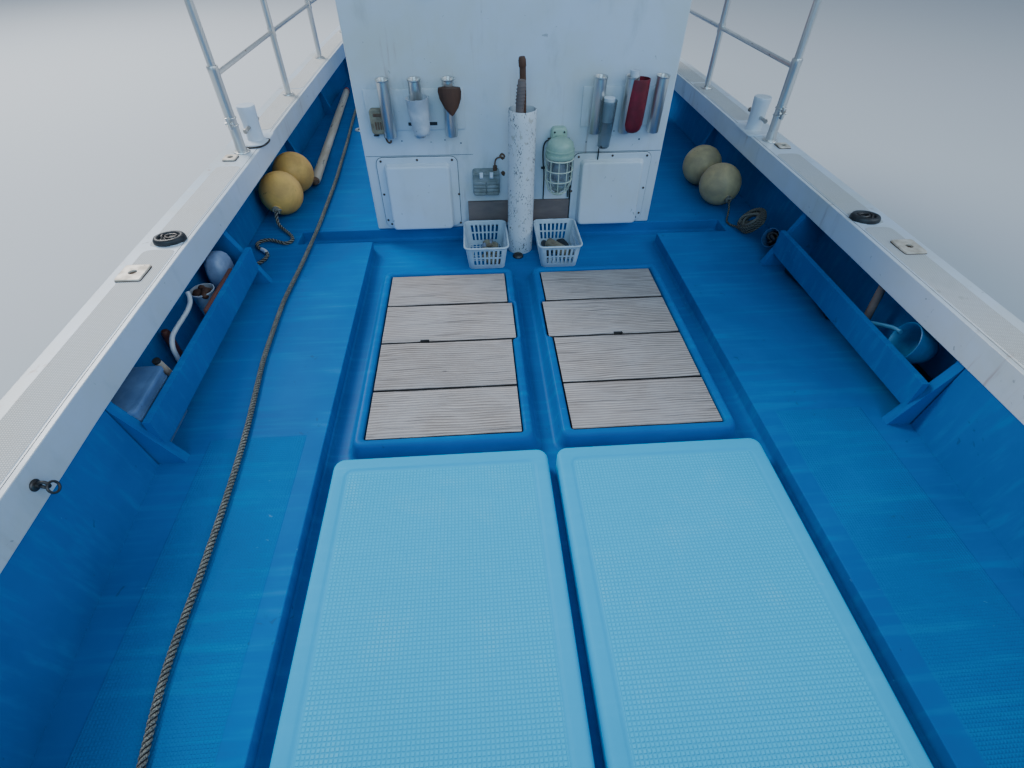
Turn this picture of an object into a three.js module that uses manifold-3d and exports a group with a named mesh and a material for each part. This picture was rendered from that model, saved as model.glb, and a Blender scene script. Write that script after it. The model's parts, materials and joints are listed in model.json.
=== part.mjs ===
// Inshore fishing boat, about 10 m long, as an assembly of separate named pieces.
// Units are millimetres. X is to starboard, Y forward, Z up. The origin is amidships on the waterline.
import * as THREE from "three";
import { mergeVertices } from "three/addons/utils/BufferGeometryUtils.js";
import Module from "manifold-3d";

const wasm = await Module();
wasm.setup();

// Driving dimensions
const GAP = 0.4; // clearance between pieces that touch
const DECK = 420; // walking level above the water
const FLOOR = 360; // level of the drain channels round the hatches
const HULL_TOP = 348; // underside of the deck moulding
const SKIN = 30; // thickness of the bulwark
const CAP = { width: 175, height: 100, overhang: 15 }; // box-section gunwale
const STERN = -5000;
const STEM = 5200;
const BOW_DECK = { y: 2600, z: 720 }; // raised foredeck: aft edge and top
const PLATFORM = { x: 715, y0: 125, y1: 2595 }; // raised side decks beside the hatches
const GUTTER = { y0: 4, end: 1080 }; // cross drain in front of the wheelhouse
const HOUSE = { half: 700, back: -2000, wall: 40, sill: 1370, eaves: 2250, rake: 120 }; // wheelhouse
// Frames on the inside of the bulwark: y, inner edge at the foot, how far the top stands in from the skin
const RIBS = [
  // y, foot, top
  [450, 1118, 0],
  [1430, 1118, 0],
  [-870, 1250, 114],
  [-1880, 1250, 114],
  [-2900, 1235, 108],
  [-3950, 1205, 100],
];
const RIB_THICK = 30;

// Hull sections: y, half beam and height of the gunwale's top, half beam at mid side, half beam and height
// of the chine, height of the keel
const SECTIONS = [
  // y, beam, top, mid, chine, chineZ, keel
  [-5000, 1235, 760, 1180, 1090, 20, -170],
  [-3400, 1345, 757, 1295, 1195, 0, -235],
  [-1700, 1380, 764, 1335, 1240, -10, -310],
  [0, 1382, 770, 1335, 1240, 0, -350],
  [1500, 1376, 774, 1310, 1180, 50, -350],
  [2400, 1300, 808, 1200, 1030, 140, -320],
  [3200, 1120, 868, 965, 770, 260, -240],
  [3900, 860, 950, 675, 490, 400, -90],
  [4600, 490, 1060, 335, 215, 570, 190],
  [5200, 36, 1190, 26, 16, 850, 700],
];
const HULL_STEPS = [-5000, -4200, -3400, -2500, -1700, -800, 0, 800, 1500, 2000, 2400, 2800, 3200, 3550, 3900, 4250,
  4600, 4900, 5200];

const interpolant = (Kind, rows) => new Kind(rows.map((row) => row[0]), rows.flatMap((row) => row.slice(1)), 6);
const fair = interpolant(THREE.CubicInterpolant, SECTIONS);
const chords = interpolant(THREE.LinearInterpolant, HULL_STEPS.map((y) => [y, ...fair.evaluate(y)]));
function sectionAt(y) {
  const [beam, top, mid, chine, chineZ, keel] = chords.evaluate(Math.min(Math.max(y, STERN), STEM));
  return { beam, top, mid, chine, chineZ, keel, under: top - CAP.height - GAP };
}

// Half width of the outside of the hull at a height
function sideAt(y, z) {
  const s = sectionAt(y);
  const midZ = (s.chineZ + s.under) / 2;
  const low = z < midZ;
  const [z0, x0, z1, x1] = low ? [s.chineZ, s.chine, midZ, s.mid] : [midZ, s.mid, s.under, s.beam];
  return x0 + ((x1 - x0) * (z - z0)) / (z1 - z0);
}

// Solids
function solid(geometry) {
  const g = geometry.index ? geometry.toNonIndexed() : geometry.clone();
  for (const name of Object.keys(g.attributes)) {
    if (name !== "position") g.deleteAttribute(name);
  }
  const merged = mergeVertices(g, 1e-3);
  return new wasm.Manifold(new wasm.Mesh({
    numProp: 3, vertProperties: merged.attributes.position.array, triVerts: new Uint32Array(merged.index.array) }));
}
function geometryOf(manifold) {
  const mesh = manifold.getMesh();
  const g = new THREE.BufferGeometry();
  const points = new Float32Array(mesh.numVert * 3);
  for (let i = 0; i < mesh.numVert; i++) {
    points.set(mesh.vertProperties.subarray(i * mesh.numProp, i * mesh.numProp + 3), i * 3);
  }
  g.setAttribute("position", new THREE.BufferAttribute(points, 3));
  g.setIndex(new THREE.BufferAttribute(new Uint32Array(mesh.triVerts), 1));
  g.computeVertexNormals();
  return g;
}
const union = (...list) => list.reduce((a, b) => a.add(b));

// A block between two corners
function block(x0, x1, y0, y1, z0, z1) {
  const g = new THREE.BoxGeometry(Math.abs(x1 - x0), Math.abs(y1 - y0), Math.abs(z1 - z0));
  g.translate((x0 + x1) / 2, (y0 + y1) / 2, (z0 + z1) / 2);
  return solid(g);
}
// A rod from one point to another
function rod(from, to, radius, sides = 12, endRadius = radius) {
  const a = new THREE.Vector3(...from);
  const b = new THREE.Vector3(...to);
  const g = new THREE.CylinderGeometry(endRadius, radius, a.distanceTo(b), sides);
  g.applyQuaternion(new THREE.Quaternion().setFromUnitVectors(
    new THREE.Vector3(0, 1, 0), b.clone().sub(a).normalize()));
  g.translate((a.x + b.x) / 2, (a.y + b.y) / 2, (a.z + b.z) / 2);
  return solid(g);
}
function ball(centre, radius, scale = [1, 1, 1]) {
  const g = new THREE.SphereGeometry(radius, 14, 9);
  g.scale(...scale).translate(...centre);
  return solid(g);
}
// A flat outline pushed along one axis: the outline's two columns are the other two axes, in X, Y, Z order
function prism(outline, axis, from, to) {
  const shape = new THREE.Shape(outline.map(([a, b]) => new THREE.Vector2(a, b)));
  const g = new THREE.ExtrudeGeometry(shape, { depth: to - from, bevelEnabled: false });
  const turn = {
    x: [0, 0, 1, 1, 0, 0, 0, 1, 0], // outline is y, z
    y: [1, 0, 0, 0, 0, 1, 0, 1, 0], // outline is x, z
    z: [1, 0, 0, 0, 1, 0, 0, 0, 1], // outline is x, y
  }[axis];
  const m = new THREE.Matrix4().set(
    turn[0], turn[1], turn[2], 0, turn[3], turn[4], turn[5], 0, turn[6], turn[7], turn[8], 0, 0, 0, 0, 1);
  g.applyMatrix4(m);
  g.translate(axis === "x" ? from : 0, axis === "y" ? from : 0, axis === "z" ? from : 0);
  return outward(g);
}
// Turns a closed geometry's faces out, if they point in
function outward(geometry) {
  const g = geometry.index ? geometry.toNonIndexed() : geometry;
  const p = g.attributes.position.array;
  let volume = 0;
  for (let i = 0; i < p.length; i += 9) {
    volume += p[i] * (p[i + 4] * p[i + 8] - p[i + 5] * p[i + 7])
      - p[i + 1] * (p[i + 3] * p[i + 8] - p[i + 5] * p[i + 6])
      + p[i + 2] * (p[i + 3] * p[i + 7] - p[i + 4] * p[i + 6]);
  }
  if (volume < 0) {
    for (let i = 0; i < p.length; i += 9) {
      for (let k = 0; k < 3; k++) [p[i + 3 + k], p[i + 6 + k]] = [p[i + 6 + k], p[i + 3 + k]];
    }
  }
  return solid(new THREE.BufferGeometry().setAttribute("position", new THREE.BufferAttribute(p, 3)));
}
// A loft through rings of points, each ring with as many points as the next
function loft(rings) {
  const n = rings[0].length;
  const p = [];
  const face = (a, b, c) => p.push(...a, ...b, ...c);
  for (let i = 0; i + 1 < rings.length; i++) {
    for (let k = 0; k < n; k++) {
      const [a, b] = [rings[i][k], rings[i][(k + 1) % n]];
      const [c, d] = [rings[i + 1][k], rings[i + 1][(k + 1) % n]];
      // The second half of a ring mirrors the first
      if (k > n / 2) {
        face(a, b, c);
        face(b, d, c);
      } else {
        face(a, b, d);
        face(a, d, c);
      }
    }
  }
  for (const [ring, turn] of [[rings[0], 1], [rings[rings.length - 1], -1]]) {
    const flat = ring.map((q) => new THREE.Vector2(q[0], q[2]));
    const flip = THREE.ShapeUtils.isClockWise(flat) ? -1 : 1;
    for (const [i, j, k] of THREE.ShapeUtils.triangulateShape(flat, [])) {
      if (turn * flip > 0) face(ring[k], ring[j], ring[i]);
      else face(ring[i], ring[j], ring[k]);
    }
  }
  return p;
}
function loftSolid(rings) {
  const p = new Float32Array(loft(rings));
  return outward(new THREE.BufferGeometry().setAttribute("position", new THREE.BufferAttribute(p, 3)));
}
// A strip along the boat: for each station a four-cornered ring from inner to outer, low to high
function strip(side, stations, ring) {
  return loftSolid(stations.map((y) => {
    const { inner, outer, low, high, outerHigh = outer, innerHigh = inner } = ring(y);
    return [[side * inner, y, low], [side * outer, y, low], [side * outerHigh, y, high], [side * innerHigh, y, high]];
  }));
}

// Hull body between the keel and a height, drawn in by an inset
function hullSolid(inset, stations, raise) {
  return loftSolid(stations.map((y) => {
    const s = sectionAt(y);
    const midZ = (s.chineZ + s.under) / 2;
    const x = (v) => Math.max(v - inset, 2);
    const slope = (s.beam - s.mid) / (s.under - midZ);
    return [
      [0, y, s.keel + inset],
      [x(s.chine), y, s.chineZ],
      [x(s.mid), y, midZ],
      [x(s.beam + slope * raise), y, s.under + raise],
      [-x(s.beam + slope * raise), y, s.under + raise],
      [-x(s.mid), y, midZ],
      [-x(s.chine), y, s.chineZ],
    ];
  }));
}
const insideSteps = [STERN + 40, ...HULL_STEPS.slice(1, -1), 5050];
const outside = hullSolid(0, HULL_STEPS, 0);
const inside = hullSolid(SKIN, insideSteps, 60);
const fitted = hullSolid(SKIN + 1, [STERN + 40 + GAP, ...insideSteps.slice(1, -1), 5050], 60);
const within = (y0, y1, z0, z1, x0 = -2000, x1 = 2000) => block(x0, x1, y0, y1, z0, z1);

// Hatches: two covered with boards, two with moulded lids
const WELL = { inner: 98, outer: 574, y0: 455, y1: 1368, floor: -60 };
const BOARD_HOLE = { inner: 79, outer: 594, y0: 433, y1: 1390 };
const BOARD_RIM = { inner: 32, outer: 641, y0: 390, y1: 1433 };
const LID = { inner: 14, outer: 666, y0: 1471, y1: 2431, top: 432, skin: 12 };
const LID_WELL = { inner: 92, outer: 592, y0: 1550, y1: 2342, floor: 40 };
const ENGINE_BAY = { half: 450, y0: -1900, y1: -500, floor: -120 };

const SCREW = { y: -4300, z: -440, radius: 185 };
const RUDDER_STOCK = 28;
function makeHull() {
  let body = outside.intersect(within(STERN - 10, STEM + 10, -900, HULL_TOP));
  const fin = prism([[-4100, -150], [3300, -160], [2500, -400], [-500, -480], [-3900, -560], [-4100, -560]],
    "x", -35, 35);
  body = body.add(fin);
  body = body.subtract(rod([0, -4200, SCREW.z], [0, -3960, SCREW.z], 21, 14));
  body = body.subtract(rod([0, -4700, -400], [0, -4700, 80], RUDDER_STOCK + 1.5, 14));
  for (const side of [-1, 1]) {
    for (const w of [WELL, LID_WELL]) {
      body = body.subtract(block(side * w.inner, side * w.outer, w.y0, w.y1, w.floor, 600));
    }
  }
  const bay = ENGINE_BAY;
  return body.subtract(block(-bay.half, bay.half, bay.y0, bay.y1, bay.floor, 600));
}

// Bulwark skin with its frames and, forward, its box lining
function makeBulwark(side) {
  const half = within(STERN - 10, STEM + 10, HULL_TOP + GAP, 2000, side * 0.2, side * 2000);
  let skin = outside.subtract(inside).intersect(half);
  const room = outside.intersect(within(STERN + 20, 5080, DECK + GAP, 2000));
  for (const [y, foot, top] of RIBS) {
    const s = sectionAt(y);
    const innerTop = s.beam + CAP.overhang - CAP.width + 6 + top;
    const rib = prism([[foot, DECK + GAP], [1400, DECK + GAP], [1400, s.under], [innerTop, s.under],
      [innerTop, s.under - 12]].map(([x, z]) => [side * x, z]), "y", y - RIB_THICK / 2, y + RIB_THICK / 2);
    skin = skin.add(rib.intersect(room));
  }
  const lining = strip(side, [1450, 1800, 2150, BOW_DECK.y - 5], (y) => {
    const s = sectionAt(y);
    const top = s.beam + CAP.overhang - CAP.width + 6;
    return { inner: top - 26, outer: 1420, low: DECK + GAP, high: s.under, innerHigh: top };
  });
  const board = block(side * 1152, side * 1174, RIBS[0][0], RIBS[1][0], DECK + 64, DECK + 170);
  return skin.add(lining.intersect(room)).add(board);
}

function makeGunwale(side) {
  const steps = [STERN + 150, ...HULL_STEPS.slice(1)];
  const beam = strip(side, steps, (y) => {
    const s = sectionAt(y);
    const outer = s.beam + CAP.overhang;
    return { inner: Math.max(outer - CAP.width, 0.2), outer, low: s.top - CAP.height, high: s.top };
  });
  let cap = beam;
  // Deck plates and the low oval cleats stand on the beam
  for (const [y, w, l] of [[932, 80, 92], [-48, 56, 64]]) {
    const s = sectionAt(y);
    const x = side * (s.beam - 62);
    cap = cap.add(block(x - w / 2, x + w / 2, y - l / 2, y + l / 2, s.top - 20, s.top + 6));
    cap = cap.subtract(rod([x, y, s.top - 40], [x, y, s.top + 30], 12, 12));
  }
  const s = sectionAt(700);
  const oval = new THREE.CylinderGeometry(1, 1.12, 24, 18).rotateX(Math.PI / 2).scale(30, 62, 1);
  oval.translate(side * (s.beam - 90), 700, s.top + 8);
  return cap.add(solid(oval));
}
function makeSternGunwale() {
  const s = sectionAt(STERN);
  const cap = prism([[-1, 0], [1, 0], [1, 1], [-1, 1]].map(([x, z]) => [
    x * (s.beam + CAP.overhang), s.top - (1 - z) * CAP.height]), "y", STERN - CAP.overhang, STERN + 150 - GAP);
  return cap;
}
const STRAKE_OFF = 5;
function makeStrake(side) {
  return strip(side, HULL_STEPS, (y) => {
    const s = sectionAt(y);
    const [low, high] = [s.under - 105, s.under - 35];
    const x = sideAt(y, high) + STRAKE_OFF;
    return { inner: x, outer: x + 30, low, high, outerHigh: x + 30 };
  });
}
// Deck moulding: aft deck, side decks and raised foredeck, open over the hatches and the cross drain
function makeDeck() {
  const [g, p] = [GUTTER, PLATFORM];
  const low = fitted.intersect(within(STERN + 41, BOW_DECK.y + 1, HULL_TOP + GAP, DECK));
  const fore = fitted.intersect(within(BOW_DECK.y, 4980, HULL_TOP + GAP, BOW_DECK.z));
  return low.add(fore)
    .subtract(block(-g.end, g.end, g.y0, p.y0, 0, 1000))
    .subtract(block(-p.x, p.x, g.y0, p.y1 + GAP, 0, 1000));
}

// Centre moulding between the side decks, with the coamings under the two lids
function makeHatchDeck() {
  const x = PLATFORM.x - GAP;
  const g = GUTTER;
  let deck = block(-x, x, g.y0 + GAP, PLATFORM.y1, HULL_TOP + GAP, FLOOR);
  deck = deck.add(block(-g.end + GAP, g.end - GAP, g.y0 + GAP, PLATFORM.y0 - GAP, HULL_TOP + GAP, FLOOR));
  for (const side of [-1, 1]) {
    const [w, l] = [WELL, LID_WELL];
    deck = deck.add(block(side * (l.inner - 35), side * (l.outer + 35), l.y0 - 35, l.y1 + 35, HULL_TOP + 1, 405));
    deck = deck.subtract(block(side * w.inner, side * w.outer, w.y0, w.y1, 0, 600));
    deck = deck.subtract(block(side * l.inner, side * l.outer, l.y0, l.y1, 0, 600));
  }
  return deck;
}
// Rim of a hatch that is covered with boards: its outside slopes, and the boards lie on a ledge inside it
function makeHatchRim(side) {
  const [r, h, w] = [BOARD_RIM, BOARD_HOLE, WELL];
  const level = (inset, z) => [
    [side * (r.inner + inset), r.y0 + inset, z], [side * (r.outer - inset), r.y0 + inset, z],
    [side * (r.outer - inset), r.y1 - inset, z], [side * (r.inner + inset), r.y1 - inset, z]];
  return ringLoft([level(0, FLOOR + GAP), level(4, FLOOR + 16), level(16, DECK - 8), level(22, DECK)])
    .subtract(block(side * h.inner, side * h.outer, h.y0, h.y1, DECK - 34, 600))
    .subtract(block(side * (h.inner - 20), side * (h.inner + 20), 672, 905, DECK - 34, 600))
    .subtract(block(side * w.inner, side * w.outer, w.y0, w.y1, 0, 600));
}
// Four boards on two battens
function makeBoards(side) {
  const h = BOARD_HOLE;
  const seams = [h.y0 + 5, 665, 908, 1168, h.y1 - 5];
  const gaps = [8, 4, 6];
  let boards = null;
  for (let i = 0; i < 4; i++) {
    const y0 = seams[i] + (i ? gaps[i - 1] / 2 : 0);
    const y1 = seams[i + 1] - (i < 3 ? gaps[i] / 2 : 0);
    const board = block(side * (h.inner + 5), side * (h.outer - 6), y0, y1, DECK - 33, DECK - 6);
    boards = boards ? boards.add(board) : board;
  }
  const middle = side * 345;
  boards = boards.subtract(block(middle - 20, middle + 20, 893, 912, 0, 1000));
  for (const x of [w0(side, 170), w0(side, 505)]) {
    boards = boards.add(block(x - 25, x + 25, WELL.y0 + 20, WELL.y1 - 20, DECK - 62, DECK - 32));
  }
  return boards;
}
const w0 = (side, x) => side * x;

function makeLid(side) {
  const l = LID;
  const outline = new THREE.Shape();
  const [w, d, r] = [l.outer - l.inner, l.y1 - l.y0, 26];
  outline.moveTo(r, 0).lineTo(w - r, 0).absarc(w - r, r, r, -Math.PI / 2, 0, false);
  outline.lineTo(w, d - r).absarc(w - r, d - r, r, 0, Math.PI / 2, false);
  outline.lineTo(r, d).absarc(r, d - r, r, Math.PI / 2, Math.PI, false);
  outline.lineTo(0, r).absarc(r, r, r, Math.PI, 1.5 * Math.PI, false);
  const tray = new THREE.ExtrudeGeometry(outline, { depth: l.top - 366, bevelEnabled: false, curveSegments: 4 });
  tray.translate(side > 0 ? l.inner : -l.outer, l.y0, 366);
  const body = solid(tray);
  return body.subtract(block(side * (l.inner + l.skin), side * (l.outer - l.skin), l.y0 + l.skin, l.y1 - l.skin,
    0, l.top - l.skin));
}

// Wheelhouse
function houseFace(z) {
  return z <= HOUSE.sill ? 0 : (-HOUSE.rake * (z - HOUSE.sill)) / (HOUSE.eaves - HOUSE.sill);
}
const FRONT_PANES = [[-640, -20], [20, 640]];
const PANE = { z0: 1430, z1: 2130 };
const SIDE_PANE = { y0: -1560, y1: -330, z0: 1430, z1: 2060 };
const DOOR = { half: 330, low: DECK + 60, high: 2120, thick: 36 };
const DOOR_PANE = { half: 220, z0: 1380, z1: 1980 };

function makeFrontWall() {
  const t = HOUSE.wall;
  const [z0, z1, z2] = [DECK + GAP, HOUSE.sill, HOUSE.eaves];
  let wall = prism([[0, z0], [0, z1], [houseFace(z2), z2], [houseFace(z2) - t, z2], [-t, z1], [-t, z0]],
    "x", -HOUSE.half, HOUSE.half);
  for (const [x0, x1] of FRONT_PANES) {
    wall = wall.subtract(prism([[60, PANE.z0], [60, PANE.z1], [-260, PANE.z1], [-260, PANE.z0]], "x", x0, x1));
  }
  return wall;
}
function makeSideWall(side) {
  const t = HOUSE.wall;
  const [z0, z1, z2] = [DECK + GAP, HOUSE.sill, HOUSE.eaves];
  const back = HOUSE.back;
  let wall = prism([[-t - GAP, z0], [-t - GAP, z1], [houseFace(z2) - t - GAP, z2], [back, z2], [back, z0]], "x",
    side > 0 ? HOUSE.half - t : -HOUSE.half, side > 0 ? HOUSE.half : -HOUSE.half + t);
  const p = SIDE_PANE;
  return wall.subtract(block(side * 500, side * 900, p.y0, p.y1, p.z0, p.z1));
}
function makeAftWall() {
  const x = HOUSE.half - HOUSE.wall - GAP;
  const wall = block(-x, x, HOUSE.back, HOUSE.back + HOUSE.wall, DECK + GAP, HOUSE.eaves);
  const d = DOOR;
  return wall.subtract(block(-d.half, d.half, HOUSE.back - 100, HOUSE.back + 100, d.low, d.high));
}
function makeRoof() {
  const [x, y0, y1] = [HOUSE.half + 70, HOUSE.back - 420, 60];
  const z = HOUSE.eaves + GAP;
  const rings = [y0, y0 + 60, y1 - 90, y1].map((y, i) => {
    const end = i === 0 || i === 3;
    const w = end ? x - 40 : x;
    const [low, edge, crown] = end ? [z, z + 38, z + 62] : [z, z + 50, z + 95];
    return [[-w, y, low], [w, y, low], [w, y, edge], [w - 150, y, crown - 8], [0, y, crown], [-w + 150, y, crown - 8],
      [-w, y, edge]];
  });
  return loftSolid(rings);
}
function makeDoor() {
  const d = DOOR;
  const leaf = block(-d.half + 6, d.half - 6, HOUSE.back + 2, HOUSE.back + 2 + d.thick, d.low + 6, d.high - 6);
  const p = DOOR_PANE;
  const door = leaf.subtract(block(-p.half, p.half, HOUSE.back - 100, HOUSE.back + 100, p.z0, p.z1));
  const knob = union(rod([-275, HOUSE.back - 40, 1250], [-275, HOUSE.back + 5, 1250], 11),
    block(-284, -190, HOUSE.back - 50, HOUSE.back - 34, 1240, 1260));
  return door.add(knob);
}
function makeDoorPane() {
  const [p, g] = [DOOR_PANE, GAP];
  return block(-p.half + g, p.half - g, HOUSE.back + 17, HOUSE.back + 23, p.z0 + g, p.z1 - g);
}
function makeFrontPane([x0, x1]) {
  const [z0, z1] = [PANE.z0 + GAP, PANE.z1 - GAP];
  const y = (z) => houseFace(z) - 18;
  return prism([[y(z0), z0], [y(z1), z1], [y(z1) - 6, z1], [y(z0) - 6, z0]], "x", x0 + GAP, x1 - GAP);
}
function makeSidePane(side) {
  const p = SIDE_PANE;
  const x = HOUSE.half - 18;
  return block(side * x, side * (x - 6), p.y0 + GAP, p.y1 - GAP, p.z0 + GAP, p.z1 - GAP);
}

// Fittings on the front wall; COVER columns: side, inner and outer edge of the flange
const COVER = { inner: 288, outer: 640, z0: 432, z1: 776, flange: 8, raise: 62 };
function makeCover(side) {
  const c = COVER;
  const y = GAP;
  const flange = block(side * c.inner, side * c.outer, y, y + c.flange, c.z0, c.z1);
  const [a, b] = [side * (c.inner + 22), side * (c.outer - 22)];
  const x0 = Math.min(a, b);
  const x1 = Math.max(a, b);
  const box = prism([[y + 2, c.z0 + 2], [y + c.raise, c.z0 + 2], [y + c.raise - 8, c.z0 + 26], [y + 30, c.z1 - 30],
    [y + 2, c.z1 - 24]], "x", x0, x1);
  return flange.add(box);
}
const HOLDERS = [[-560, -430, -290], [355, 490, 622]];
const HOLDER = { radius: 27, wall: 3, z0: 882, z1: 1110, off: 38 };
function makeRodRack(side) {
  const h = HOLDER;
  const xs = HOLDERS[side > 0 ? 0 : 1].map((x) => -x);
  const plate = block(Math.min(...xs) - 42, Math.max(...xs) + 42, GAP, 6, 900, 1060);
  let rack = plate;
  for (const x of xs) {
    const [low, high] = [[x, h.off, h.z0], [x, h.off + 14, h.z1]];
    rack = rack.add(rod(low, high, h.radius, 16));
    rack = rack.add(block(x - 14, x + 14, 3, h.off - 8, 930, 1040));
  }
  for (const x of xs) {
    rack = rack.subtract(rod([x, h.off - 1, h.z0 - 20], [x, h.off + 15.5, h.z1 + 20], h.radius - h.wall, 16));
  }
  return rack;
}
function makeLamp() {
  const [x, y] = [-196, 82];
  return union(
    block(x - 34, x + 34, GAP, 30, 808, 868),
    block(x - 14, x + 14, 24, y, 826, 850),
    rod([x, y, 800], [x, y, 858], 58, 20),
    rod([x, y, 700], [x, y, 801], 54, 20),
    rod([x, y, 620], [x, y, 701], 30, 20, 54),
  );
}
function makeSocketBox() {
  const body = block(76, 206, GAP, 44, 602, 716);
  return body.add(block(82, 200, 40, 58, 606, 676));
}
function makeTube() {
  const [x, y] = [-16, 126];
  const tube = rod([x, y, FLOOR + GAP], [x, y, 1014], 57, 24);
  return tube.subtract(rod([x, y, FLOOR + 20], [x, y, 1100], 52, 24));
}
function makeBasket(x, y) {
  const [w, d, h, t] = [198, 270, 118, 4];
  const z = FLOOR + GAP;
  const ringAt = (hw, hd, zz) => [[x - hw, y - hd, zz], [x + hw, y - hd, zz], [x + hw, y + hd, zz], [x - hw, y + hd, zz]];
  const taper = (hw, hd, z0, z1, grow) => {
    const rings = [ringAt(hw, hd, z0), ringAt(hw + grow, hd + grow, z1)];
    return ringLoft(rings);
  };
  let body = taper(w / 2 - 14, d / 2 - 16, z, z + h, 14);
  body = body.add(block(x - w / 2 - 8, x + w / 2 + 8, y - d / 2 - 8, y + d / 2 + 8, z + h - 8, z + h));
  return body.subtract(taper(w / 2 - 14 - t, d / 2 - 16 - t, z + t, z + h + 2, 14));
}
// A loft of level rings, whose caps lie in planes across Z
function ringLoft(rings) {
  const swapped = rings.map((ring) => ring.map(([a, b, c]) => [a, c, b]));
  const p = new Float32Array(loft(swapped));
  for (let i = 0; i < p.length; i += 3) [p[i + 1], p[i + 2]] = [p[i + 2], p[i + 1]];
  return outward(new THREE.BufferGeometry().setAttribute("position", new THREE.BufferAttribute(p, 3)));
}

// Inside the wheelhouse
function makeConsole() {
  const y0 = -HOUSE.wall - GAP;
  return prism([[y0, DECK + GAP], [y0, 1330], [y0 - 120, 1330], [y0 - 330, 1180], [y0 - 330, DECK + GAP]], "x",
    -600, 600);
}
const HELM = { x: 240, y: -420, z: 1120, radius: 190 };
function makeHelm() {
  const h = HELM;
  const rim = new THREE.TorusGeometry(h.radius, 13, 6, 20).rotateX(Math.PI / 2).translate(h.x, h.y, h.z);
  let wheel = solid(rim);
  for (let i = 0; i < 5; i++) {
    const a = (i * 2 * Math.PI) / 5;
    const tip = [h.x + h.radius * Math.cos(a), h.y, h.z + h.radius * Math.sin(a)];
    wheel = wheel.add(rod([h.x, h.y, h.z], tip, 9, 8));
  }
  return wheel.add(rod([h.x, h.y - 22, h.z], [h.x, h.y + 42, h.z], 32, 14));
}
function makeBench() {
  return union(block(-640, -180, -1900, -1420, DECK + GAP, 860), block(-640, -160, -1910, -1400, 858, 885));
}
function makeEngine() {
  return block(-290, 290, -1780, -640, ENGINE_BAY.floor + GAP, 300);
}

// Rails, bitts and the bow fitting
const RAIL_RADIUS = 17;
const RAIL_POSTS = [-135, -1060, -1990, -2920, -3850, -4780];
function makeRail(side) {
  const at = (y, up) => [side * (sectionAt(y).beam - 86), y, sectionAt(y).top + up];
  let rail = null;
  RAIL_POSTS.forEach((y, i) => {
    const post = rod(at(y, GAP), at(y, 640), RAIL_RADIUS, 10).add(rod(at(y, GAP), at(y, 8), 30, 10));
    rail = rail ? rail.add(post) : post;
    const next = RAIL_POSTS[i + 1];
    if (next !== undefined) {
      rail = rail.add(rod(at(y, 623), at(next, 623), RAIL_RADIUS, 10));
      rail = rail.add(rod(at(y, 320), at(next, 320), 11, 8));
    }
  });
  return rail;
}
function makeBitt(x, y, z, radius, height) {
  return union(
    block(x - radius - 22, x + radius + 22, y - radius - 50, y + radius + 50, z + GAP, z + 8),
    rod([x, y, z + 4], [x, y, z + height], radius, 20),
    rod([x, y - radius - 55, z + height * 0.45], [x, y + radius + 55, z + height * 0.45], 9, 10),
  );
}
function makeBowRoller() {
  const ys = [4640, 4900, 5200];
  const low = ys.map((y) => [y, sectionAt(y).top + GAP]);
  const z = low[2][1];
  const outline = [...low, [5410, z + 12], [5410, z + 24], ...low.map(([y, v]) => [y, v + 12]).reverse()];
  const plate = prism(outline, "x", -75, 75);
  const cheek = [[5180, z + 4], [5424, z + 4], [5424, z + 90], [5330, z + 112], [5180, z + 60]];
  return union(plate, prism(cheek, "x", -75, -63), prism(cheek, "x", 63, 75));
}
const ROLLER = { y: 5372, z: 1268 };
function makeRoller() {
  const { y, z } = ROLLER;
  return union(rod([-61, y, z], [-20, y, z], 38, 18, 24), rod([20, y, z], [61, y, z], 24, 18, 38),
    rod([-22, y, z], [22, y, z], 24, 18));
}

// Mast on the roof, with its scanner dome and lights
function makeMast() {
  const foot = HOUSE.eaves + 95 + 2;
  const y = -1450;
  const legs = [[-380, y], [380, y]];
  const top = 3330;
  let mast = rod([0, y, foot - 30], [0, y, top], 30, 14);
  mast = mast.subtract(block(-100, 100, y - 100, y + 100, 0, foot));
  for (const [x] of legs) {
    mast = mast.add(rod([x, y, foot], [x, y, 2960], 21, 12));
    mast = mast.add(block(x - 60, x + 60, y - 60, y + 60, foot, foot + 10));
  }
  mast = mast.add(rod([-420, y, 2940], [420, y, 2940], 21, 12));
  mast = mast.add(block(-80, 80, y - 80, y + 80, foot, foot + 10));
  mast = mast.add(block(-120, 120, y, y + 330, 2640, 2654));
  mast = mast.add(rod([0, y + 190, 2652], [0, y + 190, 2840], 220, 24, 195));
  return mast;
}
const BLADES = 3;
function makePropeller() {
  const s = SCREW;
  let screw = rod([0, s.y - 70, s.z], [0, s.y + 60, s.z], 42, 18, 48);
  for (let i = 0; i < BLADES; i++) {
    const shape = new THREE.Shape();
    shape.moveTo(-30, 30).quadraticCurveTo(-95, 130, -18, s.radius).quadraticCurveTo(85, 165, 30, 30);
    const blade = new THREE.ExtrudeGeometry(shape, { depth: 12, bevelEnabled: false, curveSegments: 6 });
    blade.translate(0, 0, -6).rotateX(Math.PI / 2).rotateZ(0);
    blade.applyMatrix4(new THREE.Matrix4().makeRotationZ(0.62));
    blade.applyMatrix4(new THREE.Matrix4().makeRotationY((i * 2 * Math.PI) / BLADES));
    blade.translate(0, s.y, s.z);
    screw = screw.add(outward(blade));
  }
  return screw.add(rod([0, s.y + 50, s.z], [0, -3980, s.z], 20, 14));
}
function makeRudder() {
  const y = -4700;
  const blade = prism([[y - 250, -660], [y - 260, -260], [y + 110, -240], [y + 120, -620]], "x", -22, 22);
  return blade.add(rod([0, y, -640], [0, y, 60], RUDDER_STOCK, 14));
}

// Gear on deck
const FLOAT = { radius: 108, z: DECK + 108 + 1 };
function makeFloats(side, first, second) {
  const z = FLOAT.z;
  const pair = union(ball([...first, z], FLOAT.radius), ball([...second, z], FLOAT.radius));
  return pair.add(rod([...first, z], [...second, z], 20, 10));
}
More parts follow.
